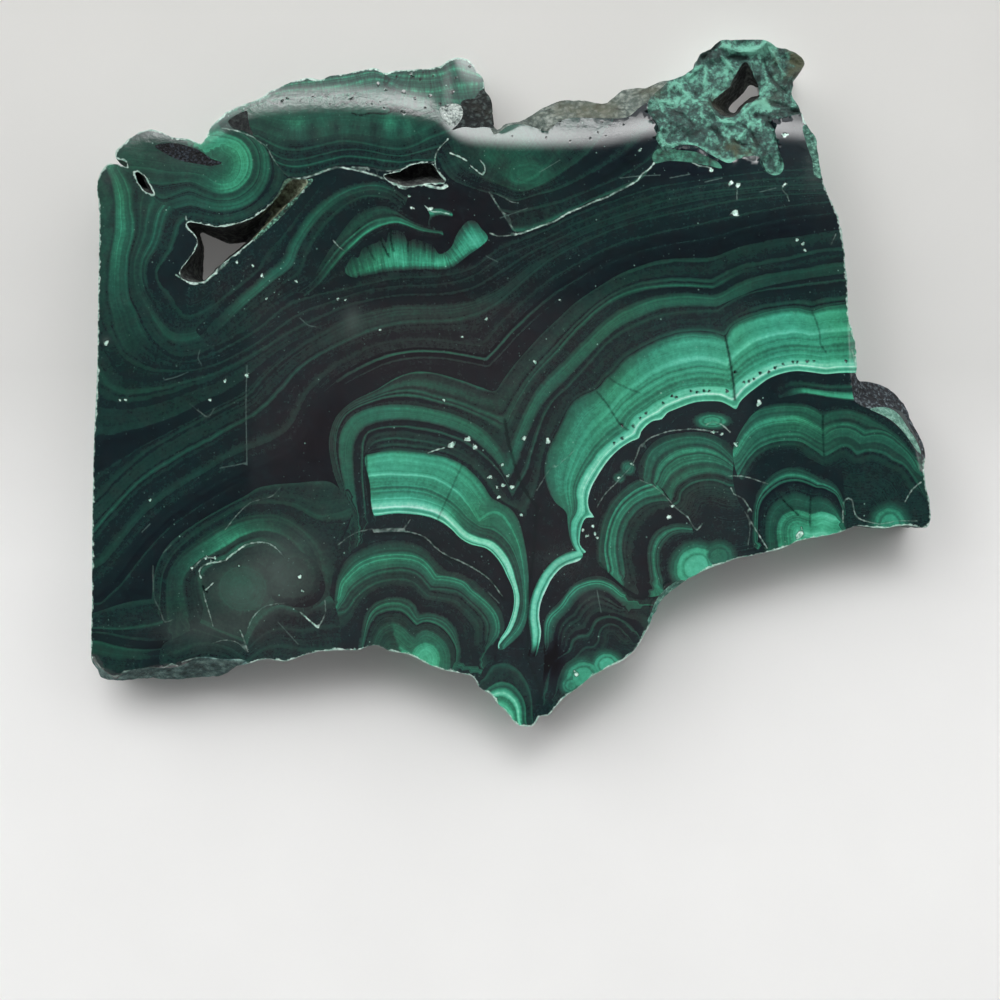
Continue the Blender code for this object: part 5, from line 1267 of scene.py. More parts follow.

# Where a layer is lighter or darker than its bands, and on the far lobe a painted sheen: centre, radii,
# change in lightness
LIFTS = {
    "sweep": [((110, 180), (10, 16), -0.6), ((150, 280), (14, 24), -0.5), ((700, 172), (60, 14), -0.4)],
    "eye_bank": [((130, 150), (22, 12), 0.8), ((262, 190), (14, 16), -0.6)],
    "upper_bank": [
        ((297, 126), (11, 8), 1.7), ((324, 127), (8, 9), 1.1), ((345, 128), (7, 10), 0.9),
        ((363, 128), (7, 8), 0.6), ((390, 126), (9, 11), 1.9), ((408, 128), (6, 9), 1.4),
        ((424, 132), (6, 8), 1.0), ((312, 130), (3, 12), -0.8), ((336, 128), (3, 10), -0.8),
        ((375, 128), (4, 10), -0.8), ((400, 128), (2.5, 10), -0.7), ((300, 146), (30, 8), -0.4),
        ((350, 150), (20, 8), -0.5), ((276, 142), (8, 8), 0.6),
    ],
    "worn_rim": [
        ((466, 66), (8, 6), 0.8), ((420, 82), (14, 10), 0.3), ((395, 92), (12, 6), -0.8),
        ((300, 92), (30, 6), -0.4),
    ],
    "inner_bank": [((530, 172), (30, 16), -0.3), ((452, 164), (8, 16), 0.8), ((491, 158), (8, 8), 1.0)],
    "feathers": [
        ((388, 256), (16, 8), 0.8), ((470, 238), (13, 12), 1.7), ((345, 278), (20, 10), -2.0),
        ((366, 262), (12, 9), -0.8), ((440, 262), (10, 5), 0.6), ((398, 246), (10, 8), 0.5),
        ((425, 256), (14, 7), 0.5), ((334, 284), (10, 8), -0.8),
    ],
    "mantle": [((520, 600), (30, 60), -0.3)],
    "great_band": [((572, 530), (16, 26), -1.2), ((850, 330), (12, 40), -0.5)],
    "right_bank": [((660, 470), (14, 14), 0.2), ((688, 450), (44, 24), 0.7)],
    "near_lobe": [((218, 538), (24, 14), 0.4), ((285, 500), (30, 12), -0.2)],
    "near_strips": [((160, 650), (18, 16), -1.4)],
    "facing_band": [((532, 658), (12, 11), -7.0)],
    "facing_lobe": [((549, 657), (12, 18), -4.0)],
    "left_lobes": [((500, 650), (20, 14), -1.6)],
    # a painted sheen on the far lobe
    "far_lobe": [((828, 520), (15, 9), 2.0)],
}

# Grain of each layer: fine layers per unit of growth and their strength, then strength of the fibres across
GRAIN = {
    "sweep": (5.0, 0.7, 0.16),
    "eye_bank": (6.0, 1.0, 0.2),
    "upper_bank": (5.0, 0.6, 0.35),
    "worn_rim": (5.0, 1.3, 1.0),
    "inner_bank": (6.0, 0.6, 0.4),
    "high_arch": (5.0, 0.6, 0.3),
    "outer_arch": (5.0, 0.4, 0.14),
    "hook": (3.0, 0.4, 0.4),
    "feathers": (4.0, 0.9, 0.9),
    "mantle": (7.0, 0.65, 0.16),
    "great_band": (7.0, 0.55, 0.1),
    "cut_block": (6.0, 0.6, 0.1),
    "facing_band": (4.0, 0.4, 0.14),
    "ribbon": (4.0, 0.5, 0.2),
    "left_lobes": (8.0, 0.8, 0.14),
    "pendant_lobe": (6.0, 0.6, 0.2),
    "facing_lobe": (9.0, 0.8, 0.14),
    "right_fan": (7.0, 0.8, 0.14),
    "right_bank": (8.0, 0.9, 0.16),
    "far_bank": (9.0, 0.8, 0.16),
    "far_lobe": (7.0, 0.7, 0.3),
    "near_lobe": (7.0, 0.6, 0.2),
    "near_strips": (5.0, 0.6, 0.14),
    "near_pocket": (5.0, 0.7, 0.2),
    "first_disc": (5.0, 0.4, 0.1),
    "second_disc": (5.0, 0.4, 0.1),
}


def between(a, b, low, high, t):
    """The straight blend from a, at low, to b, at high."""
    share = ((t - low) / (high - low))[:, None]
    return a * (1 - share) + b * share


def curve_piece(before, start, end, after, steps):
    """The points of a smooth curve from start to end, without the first, bent by the neighbours."""
    knots = [0.0]
    for a, b in ((before, start), (start, end), (end, after)):
        knots.append(knots[-1] + max(math.dist(a, b), 1e-6) ** 0.5)
    t = np.linspace(knots[1], knots[2], steps + 1)[1:]
    first = between(before, start, knots[0], knots[1], t)
    second = between(start, end, knots[1], knots[2], t)
    third = between(end, after, knots[2], knots[3], t)
    left = between(first, second, knots[0], knots[2], t)
    right = between(second, third, knots[1], knots[3], t)
    return between(left, right, knots[1], knots[2], t)


def open_curve(points, spacing=LINE_SPACING):
    """A smooth line through plan points. At a point given twice it has a corner."""
    runs = [[points[0]]]
    for previous, point in zip(points, points[1:]):
        if point == previous:
            runs.append([])
        runs[-1].append(point)
    line = [np.array([points[0]], float)]
    for run in runs:
        run = [np.array(point, float) for point in run]
        run = [2 * run[0] - run[1], *run, 2 * run[-1] - run[-2]]
        for before, start, end, after in zip(run, run[1:], run[2:], run[3:]):
            steps = max(1, round(math.dist(start, end) / spacing))
            line.append(curve_piece(before, start, end, after, steps))
    return np.concatenate(line)


def closed_curve(points, steps):
    """A smooth ring through plan points, with this many pieces from each point to the next."""
    points = np.array(points, float)
    ring = []
    for i, count in enumerate(steps):
        before, start, end, after = (points[(i + shift) % len(points)] for shift in (-1, 0, 1, 2))
        ring.append(curve_piece(before, start, end, after, count))
    return np.concatenate(ring)


def steps_round(points, spacing=EDGE_SPACING):
    """How many pieces each stretch of a ring needs."""
    return [max(1, round(math.dist(a, b) / spacing)) for a, b in zip(points, points[1:] + points[:1])]


def roughened(ring, amount, size):
    """A ring with small random bays, as on a broken edge."""
    rough = ring.copy()
    for point in rough:
        push = noise.noise_vector(Vector((point[0] / size, point[1] / size, 3.7)))
        fine = noise.noise_vector(Vector((point[0] * 2.3 / size, point[1] * 2.3 / size, 9.1)))
        point += amount * np.array((push.x + 0.5 * fine.x, push.y + 0.5 * fine.y))
    return rough


def inside(points, border):
    """Which plan points lie in a closed border."""
    found = np.zeros(len(points), bool)
    x, y = points[:, 0], points[:, 1]
    for (ax, ay), (bx, by) in zip(border, np.roll(border, -1, 0)):
        if ay != by:
            found ^= ((ay > y) != (by > y)) & (x < ax + (y - ay) * (bx - ax) / (by - ay))
    return found


def from_line(points, line, chunk=4000):
    """How far each plan point is from a line, below 0 on its right, and how far along the line that is."""
    starts = line[:-1]
    steps = line[1:] - starts
    lengths = np.hypot(*steps.T)
    normals = np.stack([-steps[:, 1], steps[:, 0]], 1) / lengths[:, None]
    corners = np.concatenate([normals[:1], normals[:-1] + normals[1:], normals[-1:]])
    reach = np.concatenate([[0], np.cumsum(lengths)])
    signed, along = np.empty(len(points)), np.empty(len(points))
    for first in range(0, len(points), chunk):
        here = points[first:first + chunk]
        offset = here[:, None] - starts
        share = np.clip((offset * steps).sum(2) / lengths ** 2, 0, 1)
        gap = offset - share[..., None] * steps
        squared = (gap ** 2).sum(2)
        nearest = squared.argmin(1)
        rows = np.arange(len(here))
        t = share[rows, nearest][:, None]
        normal = np.where(t >= 1, corners[nearest + 1], normals[nearest])
        normal = np.where(t <= 0, corners[nearest], normal)
        side = np.where((gap[rows, nearest] * normal).sum(1) < 0, -1.0, 1.0)
        signed[first:first + chunk] = side * np.sqrt(squared[rows, nearest])
        along[first:first + chunk] = reach[nearest] + t[:, 0] * lengths[nearest]
    return signed, along


def facing(fronts, i):
    """1 if growth went to the left of front i, -1 if to its right."""
    if i + 1 < len(fronts):
        return np.sign(np.median(from_line(fronts[i + 1], fronts[i])[0]))
    return -np.sign(np.median(from_line(fronts[i - 1], fronts[i])[0]))


def growth_at(points, fronts, beyond=12.0):
    """Where plan points lie in the growth of a layer: a whole number on each front."""
    away = np.array([facing(fronts, i) * from_line(points, front)[0] for i, front in enumerate(fronts)])
    gap = np.abs(away)
    rows = np.arange(len(points))
    nearest = gap.argmin(0)
    step = np.where(away[nearest, rows] >= 0, 1, -1)
    other = nearest + step
    outside = (other < 0) | (other >= len(fronts))
    other = np.clip(other, 0, len(fronts) - 1)
    here = gap[nearest, rows]
    share = np.where(outside, here / beyond, here / np.maximum(here + gap[other, rows], 1e-6))
    return nearest + step * share


def smooth_border(border, spacing):
    return closed_curve(border, steps_round(border, spacing))


FRONTS = {name: [open_curve(front) for front in fronts] for name, (_, fronts) in LAYERS.items()}
GUIDES = {name: fronts[len(fronts) // 2] for name, fronts in FRONTS.items()}
GUIDES["sweep"] = FRONTS["sweep"][SWEEP_GUIDE]
BORDERS = {name: smooth_border(border, LINE_SPACING) for name, (border, _) in LAYERS.items() if border}
PATCH_BORDERS = {name: smooth_border(border, PATCH_SPACING) for name, border in PATCHES.items()}


def seen_below(points, depth):
    """Plan points that lie under the points seen at this depth."""
    return PLAN_CENTRE + (np.array(points, float) - PLAN_CENTRE) * (1 + depth / VIEW_HEIGHT)


def soft_lumps(points, size, amount, seed):
    """Rounded random lumps of about this size in metres, from -amount to amount."""
    heights = [noise.noise(Vector((x * UNIT / size, y * UNIT / size, seed))) for x, y in points]
    return amount * np.array(heights)


def lumps_of(points, height, kinds):
    """Several sizes of lumps, one on another."""
    return sum(soft_lumps(points, size, height * share, seed) for size, share, seed in kinds)


def shoulder_drop(points, crust):
    """The hyperbola on which the polished face rolls over, beyond its crest."""
    crest = open_curve(SHOULDER_CREST, CREST_SPACING)
    beyond = np.maximum(0, np.interp(points[:, 0], crest[:, 0], crest[:, 1]) - points[:, 1]) * UNIT
    drop = SHOULDER_SLOPE * SHOULDER_REACH * (np.hypot(1, beyond / SHOULDER_REACH) - 1)
    deepest = np.where(crust, DEEPEST_CRUST_SHOULDER, DEEPEST_SHOULDER)
    return deepest * (1 - np.exp(-drop / deepest))


def rim_drop(points):
    """The slopes of the rims."""
    drop = np.zeros(len(points))
    for slope, line, closing in RIMS.values():
        within = inside(points, np.array(line + closing, float))
        drop[within] += slope * UNIT * np.abs(from_line(points[within], np.array(line, float))[0])
    return drop


def drop_at(points):
    """How far the upper surface lies below the polished face."""
    crust = inside(points, np.array(PATCHES["crust"], float))
    skin = inside(points, np.array(PATCHES["skin"], float))
    drop = shoulder_drop(points, crust) + rim_drop(points)
    drop[crust] += CRUST_DEPTH + lumps_of(points[crust], CRUST_LUMP, CRUST_LUMPS)
    drop[crust] += np.abs(lumps_of(points[crust], CRUST_LUMP, CRUST_BUMPS))
    drop[crust] += RIDGE_HEIGHT * (soft_lines(points[crust], CREASES) - soft_lines(points[crust], RIDGES))
    drop[skin] += lumps_of(points[skin], SKIN_LUMP, SKIN_LUMPS)
    return np.clip(drop, 0, DEEPEST_DROP)


def hexagon_points(low, high, spacing):
    """A triangular grid of points, shaken a little."""
    points = []
    row_height = spacing * math.sqrt(3) / 2
    for row in range(int((high[1] - low[1]) / row_height) + 1):
        for column in range(int((high[0] - low[0]) / spacing) + 1):
            x = low[0] + (column + 0.5 * (row % 2)) * spacing + random.uniform(-0.12, 0.12) * spacing
            points.append((x, low[1] + row * row_height + random.uniform(-0.12, 0.12) * spacing))
    return np.array(points)


def tree_of(points):
    tree = kdtree.KDTree(len(points))
    for i, point in enumerate(points):
        tree.insert((point[0], point[1], 0), i)
    tree.balance()
    return tree


def clear_of(points, tree, distance):
    """Which points are farther than a distance from the points of a tree."""
    return np.array([tree.find((x, y, 0))[2] > distance for x, y in points], bool)


class Sheet:
    """A flat triangulation of the stone between rings, with an edge along every line."""

    def __init__(self, outer, holes, lines, dots, grids):
        self.rings = [outer, *holes]
        self.points = []
        self.edges = []
        starts = []
        for ring in self.rings:
            starts.append(len(self.points))
            self.add_line(ring, closed=True)
        rims = tree_of(self.points)
        for line, closed in lines:
            self.add_clear_line(line, closed, rims)
        self.points += [np.array(dot, float) for dot in dots]
        taken = tree_of(self.points)
        for grid, spacing in grids:
            free = self.within(grid)
            grid = grid[free]
            self.points += list(grid[clear_of(grid, taken, POINT_CLEARANCE * spacing)])
        self.triangulate(starts)

    def within(self, points):
        """Which points are in the stone."""
        found = inside(points, self.rings[0])
        for hole in self.rings[1:]:
            found &= ~inside(points, hole)
        return found

    def add_line(self, line, closed):
        first = len(self.points)
        self.points += list(line)
        self.edges += [(first + i, first + i + 1) for i in range(len(line) - 1)]
        if closed:
            self.edges.append((first + len(line) - 1, first))

    def add_clear_line(self, line, closed, rims):
        """Adds those stretches of a line that lie in the stone, clear of its rims."""
        if closed:
            line = np.concatenate([line, line[:1]])
        kept = self.within(line)
        kept &= clear_of(line, rims, LINE_CLEARANCE)
        stretch = []
        for point, keep in zip(line, kept):
            if keep:
                stretch.append(point)
            if stretch and not keep:
                self.add_line(np.array(stretch), closed=False)
                stretch = []
        if stretch:
            self.add_line(np.array(stretch), closed=False)

    def triangulate(self, starts):
        coordinates = [Vector(point) for point in self.points]
        made, _, faces, origins, _, _ = delaunay_2d_cdt(coordinates, self.edges, [], 0, 1e-3)
        self.points = np.array([tuple(point) for point in made])
        faces = np.array([face for face in faces if len(face) == 3])
        middles = self.points[faces].mean(1)
        self.faces = faces[self.within(middles)]
        place = {}
        for new, old in enumerate(origins):
            for index in old:
                place[index] = new
        self.ring_points = [
            [place[start + i] for i in range(len(ring))] for start, ring in zip(starts, self.rings)
        ]


class Stone:
    """The mesh as it is gathered: places in metres, plan points for the pattern, faces and their wear."""

    def __init__(self):
        self.places = []
        self.plan = []
        self.faces = []
        self.wear = []
        self.rims = []
        self.face_points = 0
        self.count = 0

    def add_points(self, plan, heights, spread):
        """Adds points at plan points and heights. Spread moves them out from the view's axis."""
        first = self.count
        flat = (plan - PLAN_CENTRE) * UNIT * (1 + spread)[:, None] * (1, -1)
        self.places.append(np.column_stack([flat, heights]))
        self.plan.append(plan)
        self.count += len(plan)
        return first

    def add_faces(self, faces, wear):
        self.faces += [tuple(face) for face in faces]
        self.wear += [wear] * len(faces)

    def add_sheet(self, sheet, drops, upward, wear):
        """Adds a sheet at the upper surface, or the flat back."""
        heights = THICKNESS - drops if upward else np.zeros(len(drops))
        first = self.add_points(sheet.points, heights, drops / VIEW_HEIGHT)
        corners = sheet.faces + first
        a, b, c = (sheet.points[sheet.faces[:, i]] for i in range(3))
        across, down = b - a, c - a
        turned = across[:, 0] * down[:, 1] > across[:, 1] * down[:, 0]
        corners[turned == upward] = corners[turned == upward][:, ::-1]
        self.add_faces(corners, wear)
        return [[first + i for i in ring] for ring in sheet.ring_points]

    def add_wall(self, upper, lower, rows, roughness, wear, inward):
        """Rough rows of faces from an upper ring of points to a lower one of the same length."""
        places, plan = np.concatenate(self.places), np.concatenate(self.plan)
        top, bottom = places[upper], places[lower]
        previous = list(upper)
        for row in range(1, rows + 1):
            share = row / rows
            current = list(lower)
            if row < rows:
                spots = top * (1 - share) + bottom * share
                fine = [noise.noise_vector(Vector(spot) / FINE_WALL_LUMP) for spot in spots]
                coarse = [noise.noise_vector(Vector(spot) / COARSE_WALL_LUMP) for spot in spots]
                shove = np.array([tuple(a * 0.6 + b) for a, b in zip(fine, coarse)]) * roughness
                # up and down it strays less
                shove[:, 2] *= 0.4
                first = self.count
                self.places.append(spots + shove)
                self.plan.append(plan[upper] * (1 - share) + plan[lower] * share)
                self.count += len(spots)
                current = list(range(first, first + len(spots)))
            quads = []
            for i in range(len(previous)):
                quad = (previous[i - 1], current[i - 1], current[i], previous[i])
                quads.append(quad[::-1] if inward else quad)
            self.add_faces(quads, wear)
            previous = current


def owners(points):
    """The index of the layer that each plan point belongs to. A later layer covers an earlier one."""
    owner = np.zeros(len(points), int)
    for i, name in enumerate(LAYERS):
        if name in BORDERS:
            border = BORDERS[name]
            near = np.all((points >= border.min(0)) & (points <= border.max(0)), axis=1)
            near[near] = inside(points[near], border)
            owner[near] = i
    return owner


def kept_stretches(line, kept):
    """The stretches of a line whose points are kept."""
    stretches, stretch = [], []
    for point, keep in zip(line, kept):
        if keep:
            stretch.append(point)
        if len(stretch) > 1 and not keep:
            stretches.append(np.array(stretch))
        if not keep:
            stretch = []
    if len(stretch) > 1:
        stretches.append(np.array(stretch))
    return stretches


def drawn_lines():
    """Every line that the face's mesh follows, each with whether it is closed."""
    lines = []
    for i, fronts in enumerate(FRONTS.values()):
        for front in fronts:
            lines += [(stretch, False) for stretch in kept_stretches(front, owners(front) == i)]
    lines += [(border, True) for border in BORDERS.values()]
    lines += [(border, True) for border in PATCH_BORDERS.values()]
    lines += [(open_curve(line), False) for _, _, line in FISSURES + SEAMS]
    lines += [(open_curve(line), False) for line in SCRATCHES]
    return lines


def outline_ring():
    """The stone's outline. Only the sawn left edge is straight."""
    ring = closed_curve(OUTLINE, steps_round(OUTLINE))
    rough = roughened(ring, *OUTLINE_ROUGHNESS)
    right, top, bottom = SAWN_EDGE
    sawn = (ring[:, 0] < right) & (ring[:, 1] > top) & (ring[:, 1] < bottom)
    return np.where(sawn[:, None], ring, rough)


def gap_rings():
    """The mouth and the floor of every gap, with matching points."""
    rings = {}
    for name, (depth, mouth, floor) in GAPS.items():
        steps = steps_round(mouth, GAP_SPACING)
        upper = roughened(closed_curve(mouth, steps), *GAP_ROUGHNESS)
        lower = roughened(seen_below(closed_curve(floor, steps), depth), *GAP_ROUGHNESS)
        rings[name] = (upper, lower)
    return rings


def face_grids(ring):
    """Loose points for the face: closer together over the crust and the skin."""
    low, high = ring.min(0), ring.max(0)
    coarse = hexagon_points(low, high, FACE_SPACING)
    crust = PATCH_BORDERS["crust"]
    skin = PATCH_BORDERS["skin"]
    rough = inside(coarse, crust) | inside(coarse, skin)
    fine = [
        (points[inside(points, border)], CRUST_SPACING)
        for border in (crust, skin)
        for points in [hexagon_points(border.min(0), border.max(0), CRUST_SPACING)]
    ]
    return [(coarse[~rough], FACE_SPACING), *fine]


def spot_rim(angle, centre, radius, length):
    """How far the uneven rim of a chip lies from its centre, in the direction of an angle."""
    x, y = centre
    oval = radius / np.sqrt(np.cos(angle - x) ** 2 / length + np.sin(angle - x) ** 2 * length)
    return oval * (1 + 0.22 * np.sin(3 * angle + y) + 0.12 * np.sin(5 * angle + x + y))


def spot_distance(points, centre, radius, length=1.2):
    """How far plan points are from the rim of a chip, below 0 on it."""
    offset = points - centre
    return np.hypot(*offset.T) - spot_rim(np.arctan2(offset[:, 1], offset[:, 0]), centre, radius, length)


def spot_points(centre, radius, length=1.2):
    """The centre of a chip, and points on its rim and round it."""
    points = [centre]
    for share in (1.0, 1.7):
        for i in range(9):
            angle = math.tau * (i + share) / 9
            reach = share * spot_rim(angle, centre, radius, length)
            points.append((centre[0] + reach * math.cos(angle), centre[1] + reach * math.sin(angle)))
    return points


ALL_SPOTS = PALE_CHIPS + DARK_PITS


def chip_drop(points):
    """The small dents of chips and pits."""
    drop = np.zeros(len(points))
    for spot in ALL_SPOTS:
        drop[spot_distance(points, *spot) < -0.3 * spot[1]] += CHIP_DEPTH
    return drop


def gather_stone():
    """The whole stone: face, back, sides and gap walls."""
    stone = Stone()
    outline = outline_ring()
    gaps = gap_rings()
    stone.rims = [outline, *[upper for upper, _ in gaps.values()]]
    through = [name for name, (depth, _, _) in GAPS.items() if depth >= THICKNESS]
    dots = [dot for spot in ALL_SPOTS for dot in spot_points(*spot)]
    face = Sheet(outline, [upper for upper, _ in gaps.values()], drawn_lines(), dots, face_grids(outline))
    drops = drop_at(face.points) + chip_drop(face.points)
    top_rings = stone.add_sheet(face, drops, True, FACE_WEAR)
    stone.face_points = stone.count
    borders = [(border[::2], True) for border in BORDERS.values()]
    loose = hexagon_points(outline.min(0), outline.max(0), BACK_SPACING)
    back = Sheet(outline, [gaps[name][1] for name in through], borders, [], [(loose, BACK_SPACING)])
    back_rings = stone.add_sheet(back, drop_at(back.points), False, BACK_WEAR)
    stone.add_wall(top_rings[0], back_rings[0], SIDE_ROWS, SIDE_LUMP, SIDE_WEAR, True)
    floors = dict(zip(through, back_rings[1:]))
    for name, top_ring in zip(gaps, top_rings[1:]):
        if name not in floors:
            floors[name] = add_cleft_floor(stone, gaps[name][1], GAPS[name][0])
        stone.add_wall(top_ring, floors[name], WALL_ROWS, SIDE_LUMP * 0.7, WALL_WEAR, False)
    return stone


def add_cleft_floor(stone, ring, depth):
    """Closes a cleft that doesn't go through."""
    loose = hexagon_points(ring.min(0), ring.max(0), CLEFT_SPACING)
    floor = Sheet(ring, [], [], [], [(loose, CLEFT_SPACING)])
    return stone.add_sheet(floor, np.full(len(floor.points), depth), True, WALL_WEAR)[0]


def nearest_mark(points, marks):
    """How far plan points are from the rim of the nearest mark, below 0 on it, and that mark's strength."""
    found = np.full(len(points), FAR)
    strength = np.zeros(len(points))
    for half_width, amount, line in marks:
        line = open_curve(line)
        low, high = line.min(0) - MARK_REACH, line.max(0) + MARK_REACH
        near = np.flatnonzero(np.all((points > low) & (points < high), axis=1))
        gap = np.abs(from_line(points[near], line)[0]) - half_width
        closer = gap < found[near]
        found[near[closer]] = gap[closer]
        strength[near[closer]] = amount
    return found, strength


def soft_lines(points, lines):
    """The strongest of some soft lines at plan points."""
    found = np.zeros(len(points))
    for half_width, amount, line in lines:
        line = open_curve(line)
        gap = np.abs(from_line(points, line)[0])
        found = np.maximum(found, amount * np.exp(-(gap / half_width) ** 2))
    return found


def nearest_spot(points, spots):
    """How far plan points are from the rim of the nearest chip or pit, below 0 on it."""
    found = np.full(len(points), FAR)
    for spot in spots:
        found = np.minimum(found, spot_distance(points, *spot))
    return found


def eye_fields(points):
    """Each plan point's place in the nearest small round growth, 0 at the heart and 1 at the rim, and how
    strongly that growth shows."""
    share = np.full(len(points), 2.0)
    strength = np.zeros(len(points))
    for centre, radii, amount in EYES:
        place = np.hypot(*((points - centre) / radii).T)
        strength[place < share] = amount
        share = np.minimum(share, place)
    return share, strength


def soft_spots(points, spots):
    """The sum of soft spots at plan points."""
    total = np.zeros(len(points))
    for centre, radii, amount in spots:
        total += amount * np.exp(-(((points - centre) / radii) ** 2).sum(1))
    return total


def spread_to_corners(corner_points, plan, name):
    """Growth, place along the layer and lift for the corners of a layer's faces."""
    used, back = np.unique(corner_points, return_inverse=True)
    points = plan[used]
    growth = growth_at(points, FRONTS[name])
    along = from_line(points, GUIDES[name])[1]
    lift = soft_spots(points, LIFTS.get(name, []))
    return growth[back], along[back], lift[back]


def face_materials(middles, wear):
    """The material index of each face: its layer, or the patch that it lies in."""
    index = owners(middles)
    names = list(LAYERS)
    outer = (wear == FACE_WEAR) | (wear == SIDE_WEAR)
    for patch, border in PATCH_BORDERS.items():
        names.append(patch)
        within = outer.copy()
        within[outer] = inside(middles[outer], border)
        index[within] = len(names) - 1
    # gap walls and cleft floors take a dark finish, which is painted shade; the sloping arm takes a lighter
    # copy, which is painted light
    walls = wear == WALL_WEAR
    index[walls] = len(names)
    index[walls & inside(middles, np.array(LIT_GAP_SLOPE, float))] = len(names) + 1
    names += ["shaded_gap_wall", "lit_gap_slope"]
    return index, names


def set_attribute(mesh, name, domain, values):
    """Gives the mesh a field for its materials."""
    made = mesh.attributes.new(name, "FLOAT", domain)
    made.data.foreach_set("value", np.asarray(values, np.float32))


def set_marks(mesh, name, plan, marks):
    """Sets the distance to the nearest of some marks, and its strength."""
    distance, strength = nearest_mark(plan, marks)
    set_attribute(mesh, name, "POINT", distance)
    set_attribute(mesh, name + "_strength", "POINT", strength)


def rim_distance(points, rims):
    """How far plan points are from the nearest edge of the face, where a pale rim is painted: partly
    broken-out chips, partly painted highlight on the edge.
    """
    found = np.full(len(points), FAR)
    for ring in rims:
        found = np.minimum(found, np.abs(from_line(points, np.concatenate([ring, ring[:1]]))[0]))
    return found


def set_layer_fields(mesh, plan, corner_points, layers):
    """Sets growth, place along the layer and lift for every corner, from the layer of its face."""
    fields = np.zeros((3, len(corner_points)))
    for i, name in enumerate(LAYERS):
        chosen = layers == i
        if chosen.any():
            fields[:, chosen] = spread_to_corners(corner_points[chosen], plan, name)
    for name, values in zip(("growth", "along", "lift"), fields):
        set_attribute(mesh, name, "CORNER", values)


def set_mark_fields(mesh, plan, stone):
    """Sets how near every point is to the marks, and how hazy, earthy, brown or flecked the stone is; the
    brown is partly a painted reflection.
    """
    rim = np.full(len(plan), FAR)
    rim[:stone.face_points] = rim_distance(plan[:stone.face_points], stone.rims)
    set_attribute(mesh, "rim", "POINT", rim)
    for name, spots in (("pit", DARK_PITS), ("chip", PALE_CHIPS)):
        set_attribute(mesh, name, "POINT", nearest_spot(plan, spots))
    scratches = [(0.3, 1.0, line) for line in SCRATCHES]
    for name, marks in (("fissure", FISSURES), ("seam", SEAMS), ("scratch", scratches)):
        set_marks(mesh, name, plan, marks)
    crust = inside(plan, PATCH_BORDERS["crust"])
    for name, lines in (("ridge", RIDGES), ("crease", CREASES)):
        shown = np.zeros(len(plan))
        shown[crust] = soft_lines(plan[crust], lines)
        set_attribute(mesh, name, "POINT", shown)
    eye, strength = eye_fields(plan)
    set_attribute(mesh, "eye", "POINT", eye)
    set_attribute(mesh, "eye_strength", "POINT", strength)
    for name, spots in (("haze", HAZE), ("earth", EARTH), ("brown_and_reflection", BROWN_AND_REFLECTION), ("flecked", FLECKED)):
        set_attribute(mesh, name, "POINT", soft_spots(plan, spots))


def build_slab():
    """The slab as one mesh, with the fields that its materials read."""
    stone = gather_stone()
    places, plan = np.concatenate(stone.places), np.concatenate(stone.plan)
    places[:, :2] -= BOX_MIDDLE
    mesh = bpy.data.meshes.new("malachite_stone")
    mesh.from_pydata(places.tolist(), [], stone.faces)
    corner_points = np.empty(len(mesh.loops), int)
    mesh.loops.foreach_get("vertex_index", corner_points)
    sizes = np.array([len(face) for face in stone.faces])
    face_of_corner = np.repeat(np.arange(len(sizes)), sizes)
    first_corners = np.concatenate([[0], np.cumsum(sizes)[:-1]])
    middles = np.add.reduceat(plan[corner_points], first_corners) / sizes[:, None]
    set_layer_fields(mesh, plan, corner_points, owners(middles)[face_of_corner])
    wear = np.array(stone.wear)
    worn = np.clip(soft_spots(plan, WORN), 0, 1)
    set_attribute(mesh, "wear", "CORNER", np.maximum(wear[face_of_corner], worn[corner_points]))
    set_mark_fields(mesh, plan, stone)
    index, names = face_materials(middles, wear)
    for name in names:
        mesh.materials.append(MATERIALS[name])
    mesh.polygons.foreach_set("material_index", index.astype(np.int32))
    mesh.shade_smooth()
    mesh.set_sharp_from_angle(angle=SHARP_ANGLE)
    mesh.update()
    slab = bpy.data.objects.new("malachite_stone", mesh)
    bpy.context.scene.collection.objects.link(slab)
    return slab

# Colours by lightness step, as they look on a screen
TONES = [
    (8, 11, 14), (15, 21, 28), (22, 38, 40), (30, 60, 53), (34, 78, 66), (42, 102, 82), (56, 142, 112),
    (76, 168, 138), (108, 194, 164), (168, 213, 200), (214, 231, 224),
]
# The same steps where the stone is brown, and where a painted reflection turns it brown-grey
BROWN_AND_REFLECTION_TONES = [(9, 9, 11), (18, 18, 22), (29, 29, 33), (42, 54, 51), (44, 82, 70), (47, 104, 84)] + TONES[6:]
LIGHT_LEVEL = 0.86
STEPS = len(TONES) - 1

# Colours of the marks, the dust and the stains, as they look on a screen
# also the colour of the painted shadow beside fissures and chips
DARK_MARK_AND_SHADOW = (12, 24, 24)
FISSURE_GREEN = (104, 156, 138)
FISSURE_WHITE = (208, 232, 222)
SCRATCH_GREY = (112, 140, 132)
SPECK_GREEN = (122, 164, 150)
STONE_DUST = (96, 122, 112)
HAZE_GREY = (72, 86, 82)
IRON_STAIN = (84, 84, 66)

# How strongly light bends in malachite
STONE_IOR = 1.66

# Lightness of the rings of a small round growth, from its heart out
EYE_RINGS = [
    (0.0, 7.1), (0.14, 6.6), (0.24, 7.0), (0.34, 6.8), (0.39, 5.4), (0.43, 5.8), (0.48, 6.5), (0.56, 6.2),
    (0.60, 5.0), (0.65, 5.5), (0.70, 4.7), (0.75, 5.0), (0.80, 4.2), (0.86, 3.4), (0.92, 3.2), (1.0, 2.6),
]

